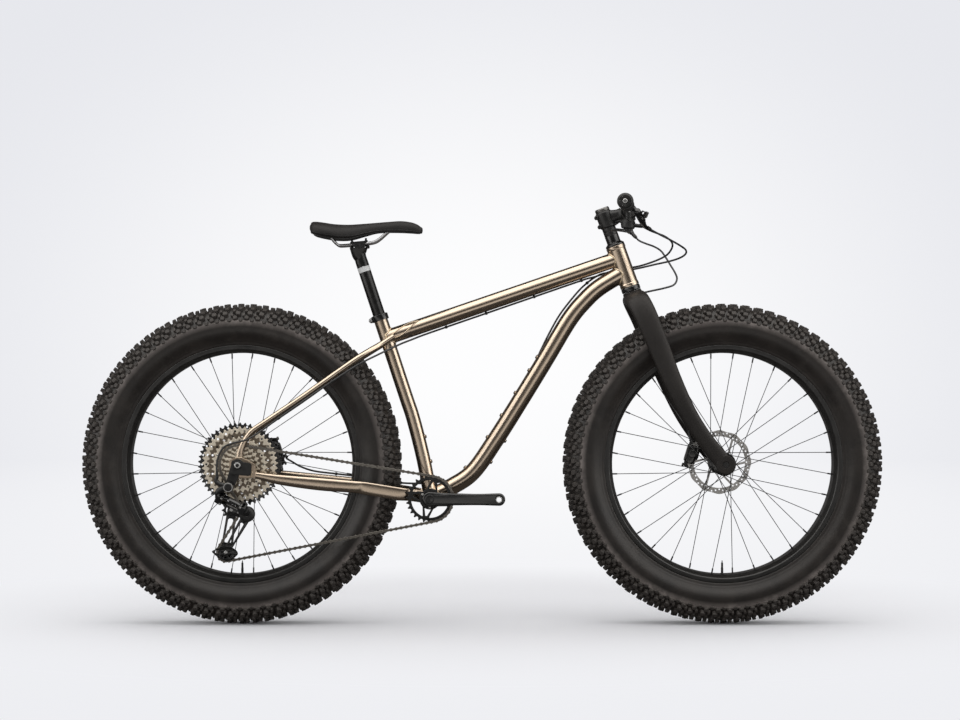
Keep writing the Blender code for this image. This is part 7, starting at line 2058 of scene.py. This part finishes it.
RAIL_AXIS = unit(at(0.9957, 0, 0.0926))
RAIL_UP = cross(RAIL_AXIS, ACROSS)
RAIL_RADIUS = 0.0035
RAIL_HALF_PATH = (
    # along, aside and above the middle of the clamp
    (-0.0680, 0.0360, 0.0270),
    (-0.0610, 0.0330, 0.0130),
    (-0.0520, 0.0260, 0.0020),
    (-0.0430, 0.0220, 0.0000),
    (0.0340, 0.0220, 0.0000),
    (0.0480, 0.0210, 0.0040),
    (0.0780, 0.0150, 0.0260),
    (0.0920, 0.0110, 0.0330),
)
SADDLE_STATIONS = (
    # ahead of the clamp's middle, height of the crown, height of the skirt, half width
    (-0.1185, 0.0490, 0.0330, 0.0420),
    (-0.1160, 0.0540, 0.0260, 0.0560),
    (-0.1070, 0.0555, 0.0215, 0.0660),
    (-0.0880, 0.0535, 0.0170, 0.0705),
    (-0.0580, 0.0492, 0.0123, 0.0680),
    (-0.0220, 0.0483, 0.0124, 0.0535),
    (0.0150, 0.0510, 0.0213, 0.0360),
    (0.0450, 0.0535, 0.0285, 0.0270),
    (0.0750, 0.0560, 0.0300, 0.0225),
    (0.1050, 0.0578, 0.0297, 0.0205),
    (0.1300, 0.0550, 0.0285, 0.0190),
    (0.1460, 0.0495, 0.0272, 0.0170),
    (0.1560, 0.0425, 0.0272, 0.0140),
)
SADDLE_SECTION = (
    # share of the half width, share of the way from the skirt to the crown
    (0.55, 0.10),
    (0.84, 0.02),
    (0.97, 0.08),
    (1.02, 0.26),
    (0.97, 0.58),
    (0.80, 0.82),
    (0.58, 0.95),
    (0.34, 1.00),
    (0.16, 0.985),
    (0.07, 0.90),
    (0.00, 0.86),
)


def seat_post():
    """The post with a head hollowed for the clamp's drum, and a plain pale band round its top."""
    r = SEAT_POST_RADIUS
    tube = [(-0.130, 0.0135), (-0.130, r), (0.132, r), (0.132, 0.0135)]
    shaft = turned_ring(tube, 0.0006, SEAT_TOP, SEAT_AXIS, 64, ACROSS)
    line = [SEAT_TOP + above * SEAT_AXIS for above in (0.128, 0.138, 0.150)]
    line += [SEAT_TOP + 0.162 * SEAT_AXIS - at(0.0005, 0, 0), CLAMP_CENTRE - at(0.0008, 0, 0.0085)]
    wide = [r + 0.0002, r + 0.0002, 0.0150, 0.0165, 0.0190]
    deep = [r + 0.0002, r + 0.0002, 0.0152, 0.0180, 0.0225]
    head = sweep(smooth_path(line, 8), wide, deep, 56, ACROSS, 0.9)
    piece("forged_seat_post", [shaft, head], "post_black", "post", ["seat_post"])
    band = [(0.1150, r - 0.0004), (0.1150, r + 0.00025), (0.1290, r + 0.00025), (0.1290, r - 0.0004)]
    piece("seat_post_band", revolve(band, SEAT_TOP, SEAT_AXIS, 64, ACROSS, closed=True), "band", "post")


def saddle_clamp():
    """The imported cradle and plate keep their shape. Two bolts with turned nuts are added."""
    for node in ("clamp_cradle", "clamp_top_plate"):
        frame["nodes"][node].data.materials.clear()
        frame["nodes"][node].data.materials.append(FINISHES["anodised"][0])
    stud = [(0, 0.0006), (0, 0.0028), (0.0075, 0.0026), (0.0080, 0.0020), (0.0080, 0.0006)]
    head = [(-0.0008, 0.0006), (-0.0008, 0.0052), (0.0024, 0.0048), (0.0024, 0.0006)]
    nut = [(0, 0.0006), (0, 0.0048), (0.0095, 0.0052), (0.0095, 0.0006)]
    knurl = [(-0.0090, 0.0006), (-0.0090, 0.0046), (0.0090, 0.0046), (0.0090, 0.0006)]
    bolts, nuts = [], []
    for along in (-0.0165, 0.0185):
        top = CLAMP_CENTRE + along * RAIL_AXIS + 0.0062 * RAIL_UP
        bolts += [revolve(stud, top, RAIL_UP, 28, ACROSS), turned_cap(head, 0.0006, top, RAIL_UP, 6, ACROSS)]
        foot = CLAMP_CENTRE + (along * 1.12) * RAIL_AXIS - 0.0125 * RAIL_UP
        nuts.append(turned_cap(nut, 0.0008, foot, RAIL_UP, 40, ACROSS))
    nuts.append(turned_cap(knurl, 0.0008, CLAMP_CENTRE + 0.0215 * RAIL_AXIS - 0.0078 * RAIL_UP, ACROSS, 36))
    piece("saddle_clamp_bolts", bolts, "anodised", "clamp")
    piece("saddle_clamp_nuts", nuts, "gloss_black", "clamp")


def saddle_rails():
    left = np.array([CLAMP_CENTRE + a * RAIL_AXIS + b * ACROSS + c * RAIL_UP for a, b, c in RAIL_HALF_PATH])
    nose = CLAMP_CENTRE + 0.0990 * RAIL_AXIS + 0.0345 * RAIL_UP
    path = np.concatenate([left, [nose], left[::-1] * at(1, -1, 1)])
    path = eased(path, 0.012, 6)
    rail = sweep(even_path(path, 0.002), RAIL_RADIUS, RAIL_RADIUS, 24, UP, carried=True)
    piece("bent_saddle_rails", rail, "rail_steel", "seat", ["saddle_rails"])


def saddle_grid(scale=1.0, lift=0.0):
    """The saddle's skin: its section's half, smoothed and mirrored, is stretched at each station by
    the smoothed half width and heights. Rows that close in by a quarter circle round off both ends."""
    stations = smooth_path(SADDLE_STATIONS, 9)
    section = smooth_path(SADDLE_SECTION, 5)
    section = np.concatenate([section, section[-2::-1] * (-1, 1)])
    x, crown, skirt, half = stations.T
    y = section[:, 0] * half[:, None] * scale
    z = skirt[:, None] + section[:, 1] * (crown - skirt)[:, None] + lift
    wide = np.clip((half - 0.030) / 0.030, 0, 1)[:, None]
    z = z - 0.0018 * wide * np.exp(-((section[:, 0] / 0.20) ** 2)) * (section[:, 1] > 0.5)
    grid = np.stack([np.broadcast_to(x[:, None], y.shape), y, z], -1)
    middle = grid.mean(1, keepdims=True)
    rounds = []
    for end, sign in ((0, -1), (-1, 1)):
        angle = np.linspace(0, math.pi / 2, 7)[1:]
        shrink = np.maximum(np.cos(angle), 0.04)[:, None, None]
        ring_ = middle[end] + (grid[end] - middle[end]) * shrink
        ring_ = ring_ + (0.0035 * np.sin(angle) * sign)[:, None, None] * at(1, 0, 0)
        rounds.append(ring_)
    grid = np.concatenate([rounds[0][::-1], grid, rounds[1]])
    return grid + CLAMP_CENTRE


def saddle():
    """The padded cover, its seam round the skirt, and the moulded shell underneath."""
    grid = saddle_grid()
    cover = piece("padded_saddle_cover", skin(grid), "cover", "seat", ["saddle"], 80)
    stations = smooth_path(SADDLE_STATIONS, 9)[4:-2]
    x, crown, skirt, half = stations.T
    for side, word in ((-1, "drive"), (1, "left")):
        edge = np.stack([x, side * half * 1.004, skirt + 0.17 * (crown - skirt)], 1) + CLAMP_CENTRE
        piece(f"{word}_saddle_seam", sweep(edge, 0.0008, 0.0008, 8, UP), "plastic", "seat")
    x, crown, skirt, half = smooth_path(SADDLE_STATIONS, 9)[3:-3].T
    u = np.linspace(-1, 1, 21)
    y = 0.90 * half[:, None] * u
    top = skirt[:, None] + (0.0060 + 0.0030 * (1 - u**2)) * np.ones_like(y)
    foot = skirt[:, None] - 0.0006 + (0.0052 * (1 - u**2) ** 0.7) * np.ones_like(y)
    rows = [np.stack([np.broadcast_to(x[:, None], y.shape), y, z], -1) for z in (foot, top)]
    shell = np.concatenate([rows[0], rows[1][:, ::-1]], 1) + CLAMP_CENTRE
    piece("saddle_shell", skin(shell), "plastic", "seat", (), 60)


# Hoses and housing, as places that they pass

FRONT_HOSE = np.array((
    (0.3960, 0.1912, 0.9755),
    (0.4060, 0.1860, 0.9650),
    (0.4230, 0.1670, 0.9560),
    (0.4400, 0.1430, 0.9480),
    (0.4560, 0.1200, 0.9360),
    (0.4670, 0.1000, 0.9180),
    (0.4770, 0.0800, 0.8980),
    (0.4870, 0.0560, 0.8770),
    (0.4900, 0.0360, 0.8610),
    (0.4810, 0.0200, 0.8455),
    (0.4570, 0.0100, 0.8370),
    (0.4300, 0.0040, 0.8310),
    (0.4032, 0.0006, 0.8252),
))
FRONT_HOSE_END = np.array((
    (0.5260, 0.0760, 0.5020),
    (0.5215, 0.0680, 0.4880),
    (0.5220, 0.0655, 0.4700),
    (0.5300, 0.0645, 0.4480),
    (0.5320, 0.0645, 0.4400),
))
REAR_HOSE = np.array((
    (0.4035, -0.1900, 0.9735),
    (0.4190, -0.1750, 0.9660),
    (0.4360, -0.1560, 0.9590),
    (0.4590, -0.1280, 0.9500),
    (0.4860, -0.0940, 0.9380),
    (0.5030, -0.0600, 0.9290),
    (0.5050, -0.0340, 0.9200),
    (0.4930, -0.0090, 0.9115),
    (0.4690, 0.0110, 0.9040),
    (0.4330, 0.0275, 0.8965),
    (0.3960, 0.0340, 0.8880),
    (0.3600, 0.0362, 0.8815),
    (0.3280, 0.0338, 0.8770),
    (0.3030, 0.0290, 0.8740),
    (0.2840, 0.0230, 0.8650),
    (0.2630, 0.0135, 0.8500),
    (0.2380, 0.0065, 0.8260),
    (0.1960, 0.0060, 0.7730),
    (0.1655, 0.0070, 0.7195),
    (0.1400, 0.0160, 0.6665),
    (0.1150, 0.0214, 0.6134),
    (0.0850, 0.0214, 0.5636),
    (0.0550, 0.0214, 0.5137),
    (0.0222, 0.0214, 0.4640),
    (-0.0095, 0.0214, 0.4144),
    (-0.0320, 0.0216, 0.3872),
    (-0.0560, 0.0235, 0.3680),
    (-0.0880, 0.0285, 0.3540),
    (-0.1270, 0.0380, 0.3475),
    (-0.1650, 0.0490, 0.3455),
    (-0.2060, 0.0600, 0.3465),
    (-0.2600, 0.0650, 0.3540),
    (-0.3180, 0.0700, 0.3625),
    (-0.3700, 0.0745, 0.3685),
    (-0.4250, 0.0800, 0.3750),
    (-0.4600, 0.0830, 0.3860),
    (-0.4830, 0.0835, 0.3990),
    (-0.4985, 0.0835, 0.4080),
))
SHIFT_HOUSING = np.array((
    (0.3872, -0.1820, 0.9792),
    (0.4080, -0.1680, 0.9700),
    (0.4290, -0.1440, 0.9640),
    (0.4470, -0.1160, 0.9590),
    (0.4640, -0.0880, 0.9495),
    (0.4705, -0.0590, 0.9390),
    (0.4660, -0.0300, 0.9255),
    (0.4550, -0.0100, 0.9150),
    (0.4310, 0.0120, 0.9040),
    (0.3940, 0.0262, 0.8925),
    (0.3600, 0.0295, 0.8870),
    (0.3260, 0.0272, 0.8800),
    (0.3000, 0.0215, 0.8715),
    (0.2830, 0.0140, 0.8655),
    (0.2660, 0.0060, 0.8610),
    (0.2480, 0.0000, 0.8553),
    (0.1300, 0.0000, 0.8147),
    (0.0100, 0.0000, 0.7734),
    (-0.0900, 0.0000, 0.7390),
    (-0.1500, -0.0020, 0.7180),
    (-0.1750, -0.0110, 0.7080),
    (-0.2000, -0.0260, 0.6980),
    (-0.2270, -0.0420, 0.6850),
    (-0.2600, -0.0590, 0.6690),
    (-0.3080, -0.0760, 0.6440),
    (-0.3700, -0.0840, 0.6040),
    (-0.4400, -0.0930, 0.5560),
    (-0.5000, -0.1000, 0.5140),
    (-0.5450, -0.1110, 0.4810),
    (-0.5760, -0.1210, 0.4620),
    (-0.6080, -0.1250, 0.4540),
    (-0.6320, -0.1250, 0.4430),
    (-0.6460, -0.1240, 0.4180),
    (-0.6490, -0.1235, 0.3920),
    (-0.6480, -0.1235, 0.3740),
))




def hoses():
    """Braided hoses and housing. Those that leave the frame ride on no body."""
    bend = ("frame", "steering", (0.30, 0.0, 0.87), (0.46, 0.0, 0.95))
    for name, places, node, blend in (
        ("front_hydraulic_hose", FRONT_HOSE, "front_brake_hose", None),
        ("rear_hydraulic_hose", REAR_HOSE, "rear_brake_hose", bend),
        ("gear_housing", SHIFT_HOUSING, "shift_housing", bend),
    ):
        path = even_path(smooth_path(places, 8), 0.004)
        form = sweep(path, HOSE_RADIUS, HOSE_RADIUS, 20, UP, carried=True)
        piece(name, form, "hose", "steering", [node], 60, blend)


def hose_fittings():
    """Nuts and ferrules at the ends, and the clips that hold hoses to the frame."""

    def fitting(corners, reach, place, ahead, back=0.0, sides=32):
        """A turned ring on a hose, whose line goes from its place to the next one ahead."""
        line = unit(ahead - place)
        return turned_ring(corners, reach, place + back * line, line, sides)

    nut = [(-0.0080, 0.0026), (-0.0080, 0.0046), (0.0004, 0.0046), (0.0050, 0.0034), (0.0050, 0.0026)]
    grommet = [(-0.003, 0.0026), (-0.003, 0.0052), (0.0012, 0.0052), (0.0022, 0.0040), (0.0022, 0.0026)]
    ferrule = [(-0.012, 0.0026), (-0.012, 0.0033), (0.0006, 0.0036), (0.0006, 0.0026)]
    band = [(-0.0028, 0.0026), (-0.0028, 0.0038), (0.0028, 0.0038), (0.0028, 0.0026)]
    ends = [fitting(nut, 0.0005, places[0], places[1]) for places in (FRONT_HOSE, REAR_HOSE)]
    ends.append(fitting(grommet, 0.0006, FRONT_HOSE[-1], FRONT_HOSE[-2], -0.001))
    ends.append(fitting(grommet, 0.0006, FRONT_HOSE_END[0], FRONT_HOSE_END[1], 0.001))
    piece("hose_nuts", ends, "anodised", "steering")
    beyond = 2 * SHIFT_HOUSING[-1] - SHIFT_HOUSING[-2]
    piece(
        "housing_ferrule", fitting(ferrule, 0.0003, SHIFT_HOUSING[-1], beyond, sides=28), "anodised",
        "frame",
    )
    clips = []
    for places, numbers in (
        (REAR_HOSE, (15, 19, 21, 23, 25, 30, 33)), (SHIFT_HOUSING, (15, 16, 17, 18, 25, 27)),
    ):
        for k in numbers:
            line = unit(places[k + 1] - places[k - 1])
            clips.append(turned_ring(band, 0.0004, places[k], line, 28))
    piece("hose_clips", clips, "plastic", "frame")


# Stage, lamps and camera

PALE = (0.985, 0.985, 0.992)
# the glow's colour at its edges: darker, a painted shade where the light falls off
PAINTED_EDGE_SHADE = (0.800, 0.808, 0.848)
FLOOR_SHADE = (0.86, 0.86, 0.885)
CAMERA_PLACE = at(-0.0056, -5.5, 0.65675)
FILL = 0.66


def falling_off(tree, middle, scale, start, end, near, far):
    """A glow that changes from near to far with the scaled distance from a middle place."""
    where = tree.nodes.new("ShaderNodeTexCoord").outputs["Object"]
    away = worked(tree, "SUBTRACT", where, middle, kind="VectorMath")
    scaled = worked(tree, "MULTIPLY", away, scale, kind="VectorMath")
    distance = worked(tree, "LENGTH", scaled, kind="VectorMath")
    share = ranged(tree, distance, 0.0, 1.0, start, end, interpolation_type="SMOOTHSTEP")
    return share, blended(tree, share, near, far)


def studio_mesh(name, corners, material, faces=((0, 1, 2, 3),)):
    """A flat panel of the studio, which isn't part of the bicycle."""
    mesh = bpy.data.meshes.new(name)
    mesh.from_pydata(corners, [], faces)
    mesh.materials.append(material)
    obj = bpy.data.objects.new(name, mesh)
    bpy.context.scene.collection.objects.link(obj)
    return obj


def chosen_shader(tree, share, first, second):
    """The output of a shader between two, by a share."""
    mix = tree.nodes.new("ShaderNodeMixShader")
    for socket, value in zip(mix.inputs, (share, first.outputs[0], second.outputs[0])):
        tree.links.new(value, socket)
    return mix.outputs[0]


def floor():
    """A pale floor, evenly lit near the wheels. Further out it turns by distance into the glow that
    the backdrop has too, with its painted shade at the edges, so that no horizon shows."""
    material, tree = new_material("pale_floor")
    shader = tree.nodes["Principled BSDF"]
    for label, value in (("Base Color", (*FLOOR_SHADE, 1)), ("Roughness", 0.9), ("Specular IOR Level", 0.1)):
        shader.inputs[label].default_value = value
    share, _ = falling_off(tree, (0, 0.25, 0), (0.62, 0.78, 1.0), 0.40, 1.05, PALE, PALE)
    _, glow_colour = falling_off(tree, (0, 9, 0.75), (1.0, 0.238, 1.35), 0.2, 4.2, PALE, PAINTED_EDGE_SHADE)
    glow = put(tree, "Emission", Color=glow_colour, Strength=1.0)
    tree.links.new(chosen_shader(tree, share, shader, glow), tree.nodes["Material Output"].inputs["Surface"])
    studio_mesh("floor", [(-9, -7, -0.0004), (9, -7, -0.0004), (9, 9, -0.0004), (-9, 9, -0.0004)], material)


def backdrop():
    """A pale backdrop behind the bicycle, white in the middle and a little darker at its edges: painted
    shade.
    """
    material, tree = new_material("pale_backdrop")
    _, colour = falling_off(tree, (0, 9, 0.75), (1.0, 0.0, 1.35), 0.2, 4.2, PALE, PAINTED_EDGE_SHADE)
    glow = put(tree, "Emission", Color=colour, Strength=1.0)
    tree.links.new(glow.outputs[0], tree.nodes["Material Output"].inputs["Surface"])
    corners = [(-9, 9, -0.1), (9, 9, -0.1), (9, 9, 5.0), (-9, 9, 5.0)]
    obj = studio_mesh("backdrop", corners, material, [(0, 3, 2, 1)])
    obj.visible_diffuse = False
    obj.visible_shadow = False


def world():
    """White where the camera, a gloss or glass looks, and a plain fill elsewhere."""
    sky = bpy.data.worlds.new("studio")
    sky.use_nodes = True
    tree = sky.node_tree
    tree.nodes.clear()
    ray = tree.nodes.new("ShaderNodeLightPath").outputs
    seen = worked(tree, "MAXIMUM", ray["Is Camera Ray"], ray["Is Glossy Ray"])
    seen = worked(tree, "MAXIMUM", seen, ray["Is Transmission Ray"])
    fill = put(tree, "Background", Color=(1, 1, 1, 1), Strength=FILL)
    shown = put(tree, "Background", Color=(1, 1, 1, 1), Strength=1.0)
    out = tree.nodes.new("ShaderNodeOutputWorld")
    tree.links.new(chosen_shader(tree, seen, fill, shown), out.inputs["Surface"])
    bpy.context.scene.world = sky


def look_at(obj, place, target):
    obj.location = place
    obj.rotation_euler = (Vector(target) - Vector(place)).to_track_quat("-Z", "Y").to_euler()


def lamp(name, place, target, size, size_y, power):
    light = bpy.data.lights.new(name, "AREA")
    light.shape = "RECTANGLE"
    light.size, light.size_y = size, size_y
    light.energy = power
    obj = bpy.data.objects.new(name, light)
    bpy.context.scene.collection.objects.link(obj)
    look_at(obj, place, target)
    return obj


def card(name, place, target, wide, tall, shade):
    """A panel off to the side that only reflections see, as a photographer's card."""
    material, tree = new_material(name)
    tree.nodes.clear()
    glow = put(tree, "Emission", Color=(*shade, 1), Strength=1.0)
    out = tree.nodes.new("ShaderNodeOutputMaterial")
    tree.links.new(glow.outputs[0], out.inputs["Surface"])
    x, y = wide / 2, tall / 2
    obj = studio_mesh(name, [(-x, -y, 0), (x, -y, 0), (x, y, 0), (-x, y, 0)], material)
    look_at(obj, place, target)
    obj.visible_camera = False
    obj.visible_shadow = False
    obj.visible_diffuse = False


def lamps():
    """Soft lamps, and the cards whose dark and light edges draw the stripes along the tubes."""
    overhead = lamp("overhead_softbox", (0.0, -0.1, 3.3), (0, 0, 0.4), 5.0, 2.6, 50)
    overhead.visible_glossy = False
    lamp("left_strip", (-3.4, -3.6, 1.7), (0, 0, 0.6), 0.5, 2.2, 12)
    lamp("right_strip", (3.4, -3.6, 1.9), (0, 0, 0.6), 0.5, 2.2, 10)
    dark, brown, light = (0.03, 0.027, 0.024), (0.06, 0.056, 0.052), (2.90, 2.84, 2.74)
    card("behind_card", (0, 4.2, 1.8), (0, 0, 1.8), 13.0, 3.8, (0.16, 0.155, 0.15))
    card("ceiling_back_card", (0, 2.4, 3.6), (0, 2.4, 0), 13.0, 3.7, dark)
    card("ceiling_light_card", (0, -1.45, 3.6), (0, -1.45, 0), 10.0, 4.0, light)
    card("low_back_card", (0, 1.3, 0.012), (0, 1.3, 1.0), 13.0, 5.6, brown)
    card("low_front_card", (0, -4.1, 0.010), (0, -4.1, 1.0), 13.0, 5.0, (1.0, 0.97, 0.93))
    card("camera_side_card", (0, -6.6, 0.5), (0, 0, 0.5), 14.0, 1.0, (0.24, 0.235, 0.23))
    card("dark_strip_card", (0, -6.6, 2.35), (0, 0, 2.35), 14.0, 2.7, brown)
    for side, word in ((-1, "left"), (1, "right")):
        card(f"{word}_back_card", (side * 5.4, 2.5, 2.0), (0, 2.5, 2.0), 3.6, 4.2, dark)
        card(f"{word}_light_card", (side * 5.4, -2.3, 1.7), (0, -2.3, 1.7), 3.0, 3.4, light)


def camera():
    data = bpy.data.cameras.new("camera")
    data.lens = 82.5
    data.sensor_width = 36
    obj = bpy.data.objects.new("camera", data)
    bpy.context.scene.collection.objects.link(obj)
    obj.location = CAMERA_PLACE
    obj.rotation_euler = (math.pi / 2, 0, 0)
    bpy.context.scene.camera = obj


def bicycle():
    main_tubes()
    main_welds()
    rear_triangle()
    rear_welds()
    seat_collar()
    lower_cup()
    bracket_cups()
    frame_bosses()
    fork()
    headset_top()
    stem()
    handlebar()
    for side, word in ((-1, "drive"), (1, "left")):
        grip(side, word)
        brake_control(side, word)
        lever_blade(side, word)
    shifter()
    for paddle in PADDLES:
        shift_paddle(*paddle)
    wheels()
    cassette()
    chainring()
    cranks()
    chain()
    pulley("guide", GUIDE_PLACE, 3)
    pulley("tension", TENSION_PLACE, 5)
    upper_knuckle()
    swing_link("outer", -LINK_HALF_APART)
    swing_link("inner", LINK_HALF_APART)
    lower_knuckle()
    cage()
    calipers()
    seat_post()
    saddle_clamp()
    saddle_rails()
    saddle()
    hoses()
    hose_fittings()


bicycle()
floor()
backdrop()
world()
lamps()
camera()
bpy.context.scene.view_settings.view_transform = "Standard"
